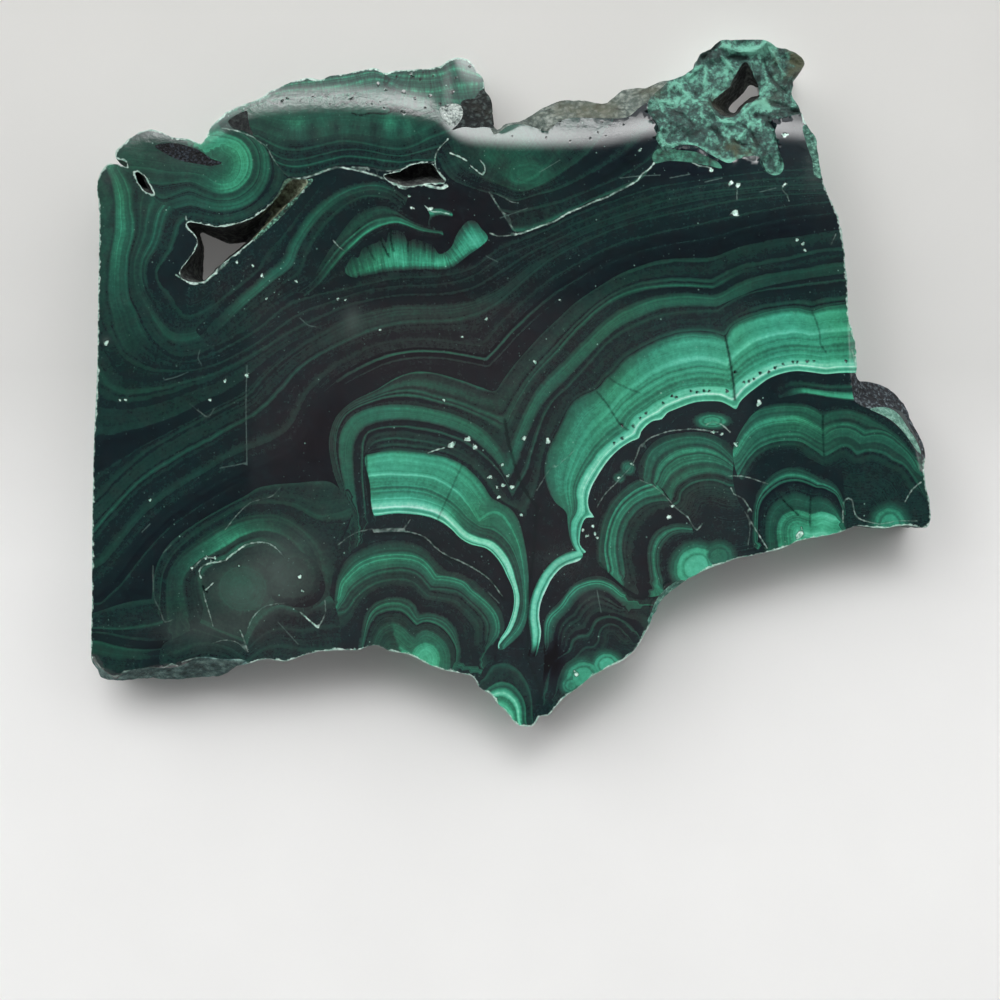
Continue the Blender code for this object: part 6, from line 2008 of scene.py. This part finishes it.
# Unpolished finishes: their dark, middle and light colour as they look on a screen, the size of their
# lumps in metres, how rough they are and, where it isn't the usual, what rough_stone names
ROUGH_STONES = {
    "skin": ((50, 62, 58), (92, 104, 98), (150, 158, 150), 0.0011, 0.62, {"cells": 0.3}),
    "violet_crystals": ((3, 4, 7), (8, 11, 16), (48, 57, 66), 0.0005, 0.75, {"cells": 0.5}),
    "brown_pocket": ((9, 12, 13), (21, 26, 27), (50, 58, 56), 0.0008, 0.7, {"relief": 0.8}),
    "dark_chip": ((6, 10, 11), (18, 25, 27), (66, 78, 76), 0.0009, 0.75, {"cells": 0.5}),
    "pitted_white": ((44, 56, 54), (160, 172, 168), (214, 222, 218), 0.0005, 0.5, {"cells": 0.3}),
    "dark_shelf": ((8, 11, 15), (28, 34, 41), (96, 108, 112), 0.0007, 0.6, {"cells": 0.5}),
    "light_shelf": ((44, 78, 68), (80, 124, 110), (140, 180, 166), 0.0007, 0.6, {"relief": 0.8}),
    "light_strip": (
        (8, 32, 27), (25, 74, 60), (58, 124, 102), 0.0008, 0.45, {"relief": 0.6, "cells": 0.2, "drift": 0.6},
    ),
    "gap_rim": ((12, 34, 30), (44, 84, 70), (120, 180, 156), 0.0006, 0.55, {"cells": 0.5}),
    "gap_moss": ((22, 34, 28), (48, 72, 58), (92, 132, 108), 0.0007, 0.6, {"cells": 0.3}),
    "crust": (
        (20, 42, 39), (43, 80, 73), (104, 172, 150), 0.0008, 0.55,
        {"cells": 0.2, "drift": 0.7, "stain": (66, 72, 50), "gloss": 0.35},
    ),
    # the gap walls' near-black is painted shade, and the sloping arm's lighter colours are painted light
    "shaded_gap_wall": ((16, 17, 19), (46, 48, 49), (92, 100, 94), 0.0008, 0.75, {}),
    "lit_gap_slope": ((40, 42, 34), (98, 104, 84), (150, 168, 142), 0.0009, 0.7, {"cells": 0.3}),
    "rough_strip": ((24, 52, 46), (56, 98, 86), (120, 176, 156), 0.0007, 0.5, {"cells": 0.3}),
    "near_left_break": ((24, 48, 46), (64, 94, 92), (128, 162, 154), 0.0013, 0.6, {"cells": 0.2}),
    "near_right_break": ((40, 82, 72), (90, 146, 130), (176, 220, 204), 0.0008, 0.6, {"cells": 0.3}),
}

# The table top's colour from its near to its far side, with painted light: lighter on the near side and
# darker on the far side. How far along, then its colour
TABLE_PAINTED_LIGHT = [
    (0.0, (0.87, 0.87, 0.86, 1)), (0.3, (0.85, 0.85, 0.84, 1)), (0.55, (0.68, 0.68, 0.665, 1)),
    (1.0, (0.69, 0.687, 0.665, 1)),
]
TABLE_NEAR = -0.065
TABLE_FAR = 0.058
TABLE_HALF_SIDE = 2

# The soft sky: radiance by place, and the window and its wings by the direction's height and width
FAR_SKY_RADIANCE = 0.7
NEAR_SKY_RADIANCE = 0.32
ZENITH_RADIANCE = 0.02
ZENITH_EDGE = (0.72, 0.86)
WINDOW_RADIANCE = 7.0
WINDOW_BOTTOM = (0.52, 0.66)
WINDOW_TOP = (0.71, 0.95)
WINDOW_SIDE = (0.20, 0.40)
LEFT_WING_RADIANCE = 4.4
RIGHT_WING_RADIANCE = 2.0
WING_INNER_SIDE = (0.32, 0.5)
WING_OUTER_SIDE = (0.75, 0.95)
WING_BOTTOM = (0.1, 0.25)
WING_TOP = (0.52, 0.75)

# The lamp over the face, a little above the camera, and the beams on the table in the gaps
LAMP_OVER_CAMERA = 0.002
FACE_LAMP_SIZE = (0.151, 0.120)
FACE_LAMP_RADIANCE = 0.12
FACE_LAMP_COLOUR = (1.0, 0.85, 0.9)
BEAM_ANGLE = 0.075
BEAM_SOURCE = 0.012
GAP_BEAMS = {"corner gap lamp": ((220, 258), 0.75), "crust gap lamp": ((745, 102), 2.2)}


def stone_colour(screen, light=LIGHT_LEVEL):
    """The colour of a surface that looks like this on the screen, under this much light."""
    linear = [(c / 255 / 12.92) if c <= 10 else ((c / 255 + 0.055) / 1.055) ** 2.4 for c in screen]
    return (*[min(1.0, c / light) for c in linear], 1.0)


def grey(level):
    return (level, level, level, 1)


def plug(tree, value, socket):
    """Links a socket, or sets a plain value."""
    if isinstance(value, bpy.types.NodeSocket):
        tree.links.new(value, socket)
    else:
        socket.default_value = value


def add(tree, kind, inputs=None, **settings):
    """Adds a node with its settings and inputs, by name or number."""
    made = tree.nodes.new("ShaderNode" + kind)
    for label, value in settings.items():
        setattr(made, label, value)
    for label, value in (inputs or {}).items():
        plug(tree, value, made.inputs[label])
    return made


def maths(tree, operation, *values, clamp=False):
    made = add(tree, "Math", operation=operation, use_clamp=clamp)
    for i, value in enumerate(values):
        plug(tree, value, made.inputs[i])
    return made.outputs[0]


def field(tree, name):
    """A field of the mesh, as a value."""
    return add(tree, "Attribute", attribute_name=name).outputs["Fac"]


def stretch(tree, value, low, high, to_low=0.0, to_high=1.0, smooth=False):
    """A value moved from one range to another, and kept within it."""
    made = add(tree, "MapRange", interpolation_type="SMOOTHSTEP" if smooth else "LINEAR")
    labels = ("Value", "From Min", "From Max", "To Min", "To Max")
    for label, amount in zip(labels, (value, low, high, to_low, to_high)):
        plug(tree, amount, made.inputs[label])
    return made.outputs["Result"]


def blend(tree, share, a, b, mode="MIX"):
    """Two colours mixed."""
    made = add(tree, "Mix", data_type="RGBA", blend_type=mode, clamp_factor=True)
    plug(tree, share, made.inputs[0])
    plug(tree, a, made.inputs[6])
    plug(tree, b, made.inputs[7])
    return made.outputs[2]


def mix_values(tree, share, a, b):
    made = add(tree, "Mix", data_type="FLOAT", clamp_factor=True)
    plug(tree, share, made.inputs[0])
    plug(tree, a, made.inputs[2])
    plug(tree, b, made.inputs[3])
    return made.outputs[0]


def ramp(tree, value, stops):
    """A colour ramp through (position, colour) stops."""
    made = add(tree, "ValToRGB", {"Fac": value})
    elements = made.color_ramp.elements
    for position, colour in stops[1:-1]:
        elements.new(position).color = colour
    elements[0].position, elements[0].color = stops[0]
    elements[-1].position, elements[-1].color = stops[-1]
    return made.outputs["Color"]


def grain(tree, size, detail=2.0, roughness=0.5, flatten=1.0, offset=0.0):
    """A random value in the stone, in lumps of about this size in metres. Flatten below 1 carries it down."""
    place = add(tree, "TexCoord").outputs["Object"]
    moved = add(tree, "Mapping", {"Vector": place, "Location": (offset, 0, 0), "Scale": (1, 1, flatten)})
    inputs = {"Vector": moved.outputs[0], "Scale": 1 / size, "Detail": detail, "Roughness": roughness}
    return add(tree, "TexNoise", inputs).outputs["Fac"]


def centred_grain(tree, size, detail=2.0, roughness=0.5, flatten=1.0, offset=0.0):
    """The same, round 0."""
    return maths(tree, "SUBTRACT", grain(tree, size, detail, roughness, flatten, offset), 0.5)


def cells(tree, place, size):
    """Random cells of about this size in metres: how far a place is from its cell's heart, and its colour."""
    made = add(tree, "TexVoronoi", {"Vector": place, "Scale": 1 / size, "Randomness": 1.0}, feature="F1")
    return made.outputs["Distance"], made.outputs["Color"]


def largest(tree, first, *others):
    for other in others:
        first = maths(tree, "MAXIMUM", first, other)
    return first


def new_group(name, inputs, outputs):
    """A node group with named inputs and outputs. Returns it with the sockets inside it."""
    tree = bpy.data.node_groups.new(name, "ShaderNodeTree")
    kinds = {"value": "NodeSocketFloat", "colour": "NodeSocketColor", "vector": "NodeSocketVector"}
    for label, kind, default in inputs:
        socket = tree.interface.new_socket(label, in_out="INPUT", socket_type=kinds[kind])
        socket.default_value = default
    for label, kind in outputs:
        tree.interface.new_socket(label, in_out="OUTPUT", socket_type=kinds[kind])
    source = tree.nodes.new("NodeGroupInput")
    sink = tree.nodes.new("NodeGroupOutput")
    return tree, source.outputs, sink.inputs


def use(tree, group, **inputs):
    """Puts a group in a tree. An underscore in an input's name stands for a space."""
    made = tree.nodes.new("ShaderNodeGroup")
    made.node_tree = group
    for label, value in inputs.items():
        plug(tree, value, made.inputs[label.replace("_", " ")])
    return made.outputs


def waviness_group():
    """Small bends in the growth layers."""
    inputs = [("Growth", "value", 0.0), ("Amount", "value", 0.1)]
    tree, given, made = new_group("layer waviness", inputs, [("Growth", "value")])
    coarse = centred_grain(tree, 0.0042, 1.0, flatten=0.2)
    fine = centred_grain(tree, 0.0011, 2.0, flatten=0.2, offset=0.3)
    both = maths(tree, "MULTIPLY_ADD", fine, 0.45, coarse)
    tree.links.new(maths(tree, "MULTIPLY_ADD", both, given["Amount"], given["Growth"]), made["Growth"])
    return tree


def fine_layers_group():
    """Thin layers parallel to the growth, stronger in some places than in others."""
    inputs = [("Growth", "value", 0.0), ("Fineness", "value", 5.0), ("Strength", "value", 1.0)]
    tree, given, made = new_group("fine layers", inputs, [("Shift", "value")])
    position = maths(tree, "MULTIPLY", given["Growth"], given["Fineness"])
    noise_inputs = {"W": position, "Scale": 1.0, "Detail": 2.5, "Roughness": 0.7}
    layers = add(tree, "TexNoise", noise_inputs, noise_dimensions="1D")
    centred = maths(tree, "SUBTRACT", layers.outputs["Fac"], 0.5)
    strength = stretch(tree, grain(tree, 0.005, 1.0, offset=0.7), 0.35, 0.65, 1.6, 3.4)
    shift = maths(tree, "MULTIPLY", centred, strength)
    tree.links.new(maths(tree, "MULTIPLY", shift, given["Strength"]), made["Shift"])
    return tree


def fibres_group():
    """Thin crystals that stand across the layers."""
    inputs = [("Along", "value", 0.0), ("Growth", "value", 0.0), ("Strength", "value", 0.3)]
    tree, given, made = new_group("cross fibres", inputs, [("Shift", "value")])
    across = maths(tree, "DIVIDE", given["Along"], 2.8)
    down = maths(tree, "MULTIPLY", given["Growth"], 0.8)
    place = add(tree, "CombineXYZ", {"X": across, "Y": down})
    noise_inputs = {"Vector": place.outputs[0], "Scale": 1.0, "Detail": 2.0, "Roughness": 0.6}
    fibres = add(tree, "TexNoise", noise_inputs, noise_dimensions="2D")
    centred = maths(tree, "SUBTRACT", fibres.outputs["Fac"], 0.5)
    strong = maths(tree, "MULTIPLY", centred, given["Strength"])
    tree.links.new(maths(tree, "MULTIPLY", strong, 4.0), made["Shift"])
    return tree


def eye_group():
    """Rings round the hearts of small round growths."""
    tree, given, made = new_group("growth hearts", [("Lightness", "value", 3.0)], [("Lightness", "value")])
    place = field(tree, "eye")
    bent = maths(tree, "MULTIPLY_ADD", centred_grain(tree, 0.0016, 1.0, offset=0.1), 0.12, place)
    light = ramp(tree, bent, [(position, grey(level / STEPS)) for position, level in EYE_RINGS])
    reach = stretch(tree, bent, 0.5, 1.0, 1.0, 0.0, smooth=True)
    share = maths(tree, "MULTIPLY", reach, field(tree, "eye_strength"))
    level = maths(tree, "MULTIPLY", light, STEPS)
    tree.links.new(mix_values(tree, share, given["Lightness"], level), made["Lightness"])
    return tree


def tones_group():
    """The colour of banded stone from its lightness, with drifts of hue, brown in the dark stone (random
    patches of the stone's own brown, and a painted reflection) and haze.
    """
    tree, given, made = new_group("stone tones", [("Lightness", "value", 3.0)], [("Colour", "colour")])
    grit = centred_grain(tree, 0.0004, 2.0, 0.6, offset=0.25)
    level = maths(tree, "MULTIPLY_ADD", grit, 1.5, given["Lightness"])
    share = maths(tree, "DIVIDE", level, STEPS, clamp=True)
    cool, brown_and_reflection = (
        ramp(tree, share, [(i / STEPS, stone_colour(tone)) for i, tone in enumerate(tones)])
        for tones in (TONES, BROWN_AND_REFLECTION_TONES)
    )
    patches = stretch(tree, grain(tree, 0.0022, 3.0, 0.6, offset=0.15), 0.4, 0.68, -0.1, 0.35)
    colour = blend(tree, maths(tree, "ADD", field(tree, "brown_and_reflection"), patches, clamp=True), cool, brown_and_reflection)
    hue = stretch(tree, grain(tree, 0.012, 2.0), 0.3, 0.7, 0.490, 0.510)
    value = stretch(tree, grain(tree, 0.0016, 3.0, offset=0.5), 0.25, 0.75, 0.86, 1.14)
    drift = add(tree, "HueSaturation", {"Hue": hue, "Saturation": 1.0, "Value": value, "Color": colour})
    cloudy = stretch(tree, grain(tree, 0.0035, 3.0, offset=0.65), 0.3, 0.65, 0.6, 1.0)
    haze = maths(tree, "MULTIPLY", field(tree, "haze"), cloudy, clamp=True)
    tree.links.new(blend(tree, haze, drift.outputs[0], stone_colour(HAZE_GREY)), made["Colour"])
    return tree


def near_line(tree, distance, wander, bend, full, gone, strength):
    """How much of a mark shows, from the distance to it: all where that is below full, none beyond gone."""
    bent = maths(tree, "MULTIPLY_ADD", wander, bend, distance)
    return stretch(tree, bent, full, gone, strength, 0.0)


def scattered_specks(tree):
    """Tiny pale specks, with finer dust where the polish is flecked."""
    place = add(tree, "TexCoord").outputs["Object"]
    reach, colour = cells(tree, place, 0.0019)
    picked = stretch(tree, add(tree, "SeparateColor", {"Color": colour}).outputs[0], 0.6, 0.95)
    speck = maths(tree, "MULTIPLY", stretch(tree, reach, 0.03, 0.08, 0.9, 0.0), picked)
    reach, colour = cells(tree, place, 0.00075)
    picked = stretch(tree, add(tree, "SeparateColor", {"Color": colour}).outputs[0], 0.5, 1.0)
    dust = maths(tree, "MULTIPLY", stretch(tree, reach, 0.05, 0.16, 0.5, 0.0), picked)
    strewn = stretch(tree, grain(tree, 0.006, 2.0, offset=0.35), 0.42, 0.62, 0.15, 0.9)
    strewn = maths(tree, "MULTIPLY_ADD", field(tree, "flecked"), 1.2, strewn)
    return largest(tree, speck, maths(tree, "MULTIPLY", dust, strewn, clamp=True))


def marks_group():
    """Pale fissures and rims, dark joints, pits, painted shadow beside fissures and chips, scratches and tiny
    specks over a colour. The pale rim is partly painted highlight.
    """
    outputs = [("Colour", "colour"), ("Rough", "value")]
    tree, given, made = new_group("fissures and specks", [("Colour", "colour", (0, 0, 0, 1))], outputs)
    wander = centred_grain(tree, 0.0005, 2.0, offset=0.9)
    broken = stretch(tree, grain(tree, 0.0016, 2.0, offset=0.2), 0.38, 0.52, 0.2, 1.0)
    fissure_shown = maths(tree, "POWER", field(tree, "fissure_strength"), 1.6)
    # dark stone: joints and pits, and painted shadow beside fissures and chips
    seam = near_line(tree, field(tree, "seam"), wander, 2.5, -0.6, 1.4, 1.0)
    seam = maths(tree, "MULTIPLY", seam, field(tree, "seam_strength"))
    fissure_painted_shadow = near_line(tree, field(tree, "fissure"), wander, 2.2, 0.2, 1.6, 0.6)
    fissure_painted_shadow = maths(tree, "MULTIPLY", fissure_painted_shadow, fissure_shown)
    chip_painted_shadow = near_line(tree, field(tree, "chip"), wander, 2.4, 0.2, 1.6, 0.6)
    pit = near_line(tree, field(tree, "pit"), wander, 2.0, -0.5, 0.7, 0.95)
    dark_marks_and_shadow = largest(tree, seam, fissure_painted_shadow, chip_painted_shadow, pit)
    colour = blend(tree, dark_marks_and_shadow, given["Colour"], stone_colour(DARK_MARK_AND_SHADOW))
    # pale stone: fissures and chips, and along the face's edge a pale rim that is partly broken stone and
    # partly painted highlight
    fissure = near_line(tree, field(tree, "fissure"), wander, 2.2, -0.4, 0.5, 1.0)
    fissure = maths(tree, "MULTIPLY", maths(tree, "MULTIPLY", fissure, broken), fissure_shown)
    chip = near_line(tree, field(tree, "chip"), wander, 2.4, -0.4, 0.3, 1.0)
    rim_width = stretch(tree, grain(tree, 0.0018, 3.0, 0.7, offset=0.45), 0.35, 0.7, -0.4, 2.6)
    from_rim = maths(tree, "SUBTRACT", field(tree, "rim"), rim_width)
    rim = near_line(tree, from_rim, wander, 1.6, -0.4, 0.5, 0.7)
    paleness = largest(tree, fissure, chip, rim)
    pale_stops = [(0.32, stone_colour(FISSURE_GREEN)), (0.62, stone_colour(FISSURE_WHITE))]
    colour = blend(tree, paleness, colour, ramp(tree, grain(tree, 0.0006, 2.0, offset=0.6), pale_stops))
    scratch = near_line(tree, field(tree, "scratch"), wander, 1.2, -0.4, 0.5, 0.36)
    colour = blend(tree, scratch, colour, stone_colour(SCRATCH_GREY))
    speck = scattered_specks(tree)
    tree.links.new(blend(tree, speck, colour, stone_colour(SPECK_GREEN)), made["Colour"])
    tree.links.new(largest(tree, paleness, speck, scratch), made["Rough"])
    return tree


def wear_group():
    """How polished or broken a surface is: its colour, roughness and small relief."""
    inputs = [("Colour", "colour", (0, 0, 0, 1)), ("Wear", "value", 0.0), ("Rough", "value", 0.0)]
    outputs = [("Colour", "colour"), ("Roughness", "value"), ("Normal", "vector")]
    tree, given, made = new_group("polish and wear", inputs, outputs)
    lumps = grain(tree, 0.0011, 4.0, 0.65)
    patchy = stretch(tree, grain(tree, 0.003, 2.0, offset=0.4), 0.3, 0.7, 0.15, 0.6)
    dust = maths(tree, "MULTIPLY", patchy, given["Wear"])
    tree.links.new(blend(tree, dust, given["Colour"], stone_colour(STONE_DUST)), made["Colour"])
    polish = stretch(tree, grain(tree, 0.004, 3.0, offset=0.8), 0.3, 0.7, 0.05, 0.11)
    worn = mix_values(tree, given["Wear"], polish, 0.62)
    marked = maths(tree, "MULTIPLY", given["Rough"], 0.8)
    tree.links.new(mix_values(tree, marked, worn, 0.5), made["Roughness"])
    height = maths(tree, "MULTIPLY", lumps, given["Wear"])
    bump = add(tree, "Bump", {"Strength": 0.7, "Distance": 0.0006, "Height": height})
    tree.links.new(bump.outputs[0], made["Normal"])
    return tree


def value_at(stops, growth):
    return float(np.interp(growth, [place for place, _ in stops], [value for _, value in stops]))


def profile(tree, growth, stops, span=3.0, most=30):
    """The share of the lightness steps at a growth. Long profiles are cut into several ramps."""
    result = None
    start = stops[0][0]
    last = stops[-1][0]
    while start < last - 1e-6:
        ahead = [at for at, _ in stops if at > start + 1e-6]
        end = min([start + span, last] + ahead[most - 3:most - 2])
        places = [start, *(at for at, _ in stops if start < at < end), end]
        colours = [((at - start) / (end - start), grey(value_at(stops, at) / STEPS)) for at in places]
        share = maths(tree, "DIVIDE", maths(tree, "SUBTRACT", growth, start), end - start)
        value = ramp(tree, share, colours)
        if result is None:
            result = value
        else:
            result = blend(tree, maths(tree, "GREATER_THAN", growth, start), result, value)
        start = end
    return result


def shader_of(material):
    material.use_nodes = True
    return material.node_tree, material.node_tree.nodes["Principled BSDF"]


def finish_surface(tree, shader, colour, roughness, normal):
    plug(tree, colour, shader.inputs["Base Color"])
    plug(tree, roughness, shader.inputs["Roughness"])
    plug(tree, normal, shader.inputs["Normal"])
    shader.inputs["IOR"].default_value = STONE_IOR


def banded_stone(name, groups):
    """Polished stone with one layer's bands."""
    material = bpy.data.materials.new("malachite " + name.replace("_", " "))
    tree, shader = shader_of(material)
    fineness, strength, fibres = GRAIN[name]
    growth = use(tree, groups["waviness"], Growth=field(tree, "growth"), Amount=0.14)["Growth"]
    along = field(tree, "along")
    bands, reached = None, None
    for place, tones in BANDS[name]:
        here = from_line(np.array([place], float), GUIDES[name])[1][0]
        following = profile(tree, growth, tones)
        if bands is None:
            bands = following
        else:
            bands = blend(tree, stretch(tree, along, reached, here, smooth=True), bands, following)
        reached = here
    level = maths(tree, "MULTIPLY", bands, STEPS)
    fine = use(tree, groups["fine_layers"], Growth=growth, Fineness=fineness, Strength=strength)["Shift"]
    across = use(tree, groups["fibres"], Along=along, Growth=growth, Strength=fibres)["Shift"]
    # fine structure shows most in the lighter stone
    shown = stretch(tree, level, 1.0, 5.0, 0.4, 1.0)
    texture = maths(tree, "MULTIPLY", maths(tree, "ADD", fine, across), shown)
    level = maths(tree, "ADD", maths(tree, "ADD", level, texture), field(tree, "lift"))
    level = use(tree, groups["eyes"], Lightness=level)["Lightness"]
    colour = use(tree, groups["tones"], Lightness=level)["Colour"]
    marked = use(tree, groups["marks"], Colour=colour)
    wear = field(tree, "wear")
    worn = use(tree, groups["wear"], Colour=marked["Colour"], Wear=wear, Rough=marked["Rough"])
    finish_surface(tree, shader, worn["Colour"], worn["Roughness"], worn["Normal"])
    return material


def rough_stone(name, dark, middle, light, size, roughness, options):
    """Unpolished stone: three colours in lumps of one size, with crystals and iron stains. Its options are
    the relief, the share of crystal cells, the slow drift of lightness, the stain and the gloss."""
    chosen = {"relief": 1.0, "cells": 0.0, "drift": 0.3, "stain": IRON_STAIN, "gloss": 0.2, **options}
    material = bpy.data.materials.new("malachite " + name.replace("_", " "))
    tree, shader = shader_of(material)
    lumps = grain(tree, size, 5.0, 0.68)
    place = add(tree, "TexCoord").outputs["Object"]
    push = grain_vector(tree, size * 1.5, size * 0.9)
    bent = add(tree, "VectorMath", {0: place, 1: push}, operation="ADD").outputs[0]
    facets = maths(tree, "SUBTRACT", 0.95, cells(tree, bent, size * 0.8)[0])
    height = mix_values(tree, chosen["cells"], lumps, facets)
    slow = maths(tree, "MULTIPLY", centred_grain(tree, size * 4, 2.0, offset=0.75), chosen["drift"])
    shade = maths(tree, "ADD", height, slow)
    shade = maths(tree, "MULTIPLY_ADD", field(tree, "ridge"), 0.22, shade)
    # painted shade: darker in the creases
    shade = maths(tree, "MULTIPLY_ADD", field(tree, "crease"), -0.24, shade)
    stops = zip((0.3, 0.47, 0.68), (dark, middle, light))
    colour = ramp(tree, shade, [(position, stone_colour(tone)) for position, tone in stops])
    patchy = stretch(tree, grain(tree, size * 3, 2.0, offset=0.3), 0.35, 0.6)
    stained = maths(tree, "MULTIPLY", field(tree, "earth"), patchy)
    colour = blend(tree, stained, colour, stone_colour(chosen["stain"]))
    fine = grain(tree, size * 0.35, 3.0, 0.7, offset=0.6)
    relief_height = maths(tree, "MULTIPLY_ADD", fine, 0.4, height)
    bump = add(tree, "Bump", {"Strength": chosen["relief"], "Distance": size * 0.8, "Height": relief_height})
    rough = stretch(tree, fine, 0.3, 0.7, roughness - 0.1, roughness + 0.15)
    finish_surface(tree, shader, colour, rough, bump.outputs[0])
    shader.inputs["Specular IOR Level"].default_value = chosen["gloss"]
    return material


def grain_vector(tree, size, amount):
    """A random push of up to this amount."""
    place = add(tree, "TexCoord").outputs["Object"]
    made = add(tree, "TexNoise", {"Vector": place, "Scale": 1 / size, "Detail": 2.0})
    centred = add(tree, "VectorMath", {0: made.outputs["Color"], 1: (0.5, 0.5, 0.5)}, operation="SUBTRACT")
    scaled = add(tree, "VectorMath", {0: centred.outputs[0], "Scale": 2 * amount}, operation="SCALE")
    return scaled.outputs[0]


def all_materials():
    groups = {
        "waviness": waviness_group(),
        "fine_layers": fine_layers_group(),
        "fibres": fibres_group(),
        "eyes": eye_group(),
        "tones": tones_group(),
        "marks": marks_group(),
        "wear": wear_group(),
    }
    made = {name: banded_stone(name, groups) for name in LAYERS}
    for name, finish in ROUGH_STONES.items():
        made[name] = rough_stone(name, *finish)
    return made


def plain_floor():
    """A pale table top, with painted light: its colour is a little lighter on the near side."""
    mesh = bpy.data.meshes.new("table_top")
    half = TABLE_HALF_SIDE
    corners = [(-half, -half, 0), (half, -half, 0), (half, half, 0), (-half, half, 0)]
    mesh.from_pydata(corners, [], [(0, 1, 2, 3)])
    floor = bpy.data.objects.new("table_top", mesh)
    bpy.context.scene.collection.objects.link(floor)
    material = bpy.data.materials.new("pale table")
    tree, shader = shader_of(material)
    place = add(tree, "TexCoord").outputs["Object"]
    up = add(tree, "SeparateXYZ", {"Vector": place}).outputs["Y"]
    # painted light: the colour ramp makes the near side lighter than the far side
    colour = ramp(tree, stretch(tree, up, TABLE_NEAR, TABLE_FAR), TABLE_PAINTED_LIGHT)
    shade = stretch(tree, grain(tree, 0.03, 2.0), 0.3, 0.7, 0.985, 1.015)
    colour = add(tree, "HueSaturation", {"Value": shade, "Color": colour}).outputs[0]
    plug(tree, colour, shader.inputs["Base Color"])
    shader.inputs["Roughness"].default_value = 0.7
    mesh.materials.append(material)
    return floor


def place_lamp(name, data, place, target):
    """Puts a lamp in the scene, turned to a target."""
    lamp = bpy.data.objects.new(name, data)
    lamp.location = place
    lamp.rotation_euler = (Vector(target) - Vector(place)).to_track_quat("-Z", "Y").to_euler()
    bpy.context.scene.collection.objects.link(lamp)
    return lamp


def face_lamp():
    """A rectangular lamp of an even radiance over the face, that the camera doesn't see."""
    width, depth = FACE_LAMP_SIZE
    data = bpy.data.lights.new("above", "AREA")
    data.shape = "RECTANGLE"
    data.size, data.size_y = FACE_LAMP_SIZE
    data.energy = FACE_LAMP_RADIANCE * math.pi * width * depth
    data.color = FACE_LAMP_COLOUR
    above = (*VIEW_AXIS, THICKNESS + VIEW_HEIGHT + LAMP_OVER_CAMERA)
    place_lamp("above", data, above, (*VIEW_AXIS, 0)).visible_camera = False


def gap_lamp(name, place, power):
    """A narrow soft beam from above on the table in a gap, at a plan point."""
    data = bpy.data.lights.new(name, "SPOT")
    data.energy = power
    data.spot_size = BEAM_ANGLE
    data.spot_blend = 0.7
    data.shadow_soft_size = BEAM_SOURCE
    target = (*((place - PLAN_CENTRE) * UNIT * (1, -1) + VIEW_AXIS), 0)
    place_lamp(name, data, (*VIEW_AXIS, THICKNESS + VIEW_HEIGHT), target)


def soft_sky():
    """Light from all sides but little from straight above, and a soft window with wings on the far side."""
    world = bpy.data.worlds.new("studio")
    bpy.context.scene.world = world
    world.use_nodes = True
    tree = world.node_tree
    direction = add(tree, "TexCoord").outputs["Generated"]
    parts = add(tree, "SeparateXYZ", {"Vector": direction}).outputs
    beside = maths(tree, "ABSOLUTE", parts["X"])
    far_side = stretch(tree, parts["Y"], 0.0, 0.2)

    def rising(value, edge, smooth=True):
        return stretch(tree, value, *edge, 0.0, 1.0, smooth)

    def falling(value, edge, smooth=True):
        return stretch(tree, value, *edge, 1.0, 0.0, smooth)

    def all_of(*shares):
        result = shares[0]
        for share in shares[1:]:
            result = maths(tree, "MULTIPLY", result, share)
        return result

    level = stretch(tree, parts["Y"], -0.5, 0.5, NEAR_SKY_RADIANCE, FAR_SKY_RADIANCE, smooth=True)
    ring = stretch(tree, parts["Z"], *ZENITH_EDGE, level, ZENITH_RADIANCE, smooth=True)
    window = all_of(
        rising(parts["Z"], WINDOW_BOTTOM), falling(parts["Z"], WINDOW_TOP),
        falling(beside, WINDOW_SIDE), far_side)
    wings = all_of(
        rising(beside, WING_INNER_SIDE), falling(beside, WING_OUTER_SIDE),
        rising(parts["Z"], WING_BOTTOM, False), falling(parts["Z"], WING_TOP, False), far_side)
    wing_radiance = stretch(tree, parts["X"], -0.1, 0.1, LEFT_WING_RADIANCE, RIGHT_WING_RADIANCE)
    strength = maths(tree, "MULTIPLY_ADD", window, WINDOW_RADIANCE, ring)
    strength = maths(tree, "MULTIPLY_ADD", wings, wing_radiance, strength)
    plug(tree, strength, tree.nodes["Background"].inputs["Strength"])
    tree.nodes["Background"].inputs["Color"].default_value = (1, 1, 1, 1)


def straight_camera():
    """Looks straight down on the face from the plan's middle."""
    data = bpy.data.cameras.new("camera")
    data.sensor_width = SENSOR_WIDTH
    data.lens = SENSOR_WIDTH * VIEW_HEIGHT / (PLAN_SIDE * UNIT)
    data.clip_start = 0.01
    camera = bpy.data.objects.new("camera", data)
    camera.location = (*VIEW_AXIS, THICKNESS + VIEW_HEIGHT)
    bpy.context.scene.collection.objects.link(camera)
    bpy.context.scene.camera = camera


MATERIALS = all_materials()
slab = build_slab()
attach(slab, "root")
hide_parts("malachite_slab")
plain_floor()
soft_sky()
face_lamp()
for beam, (place, power) in GAP_BEAMS.items():
    gap_lamp(beam, place, power)
straight_camera()
bpy.context.scene.view_settings.view_transform = "Standard"
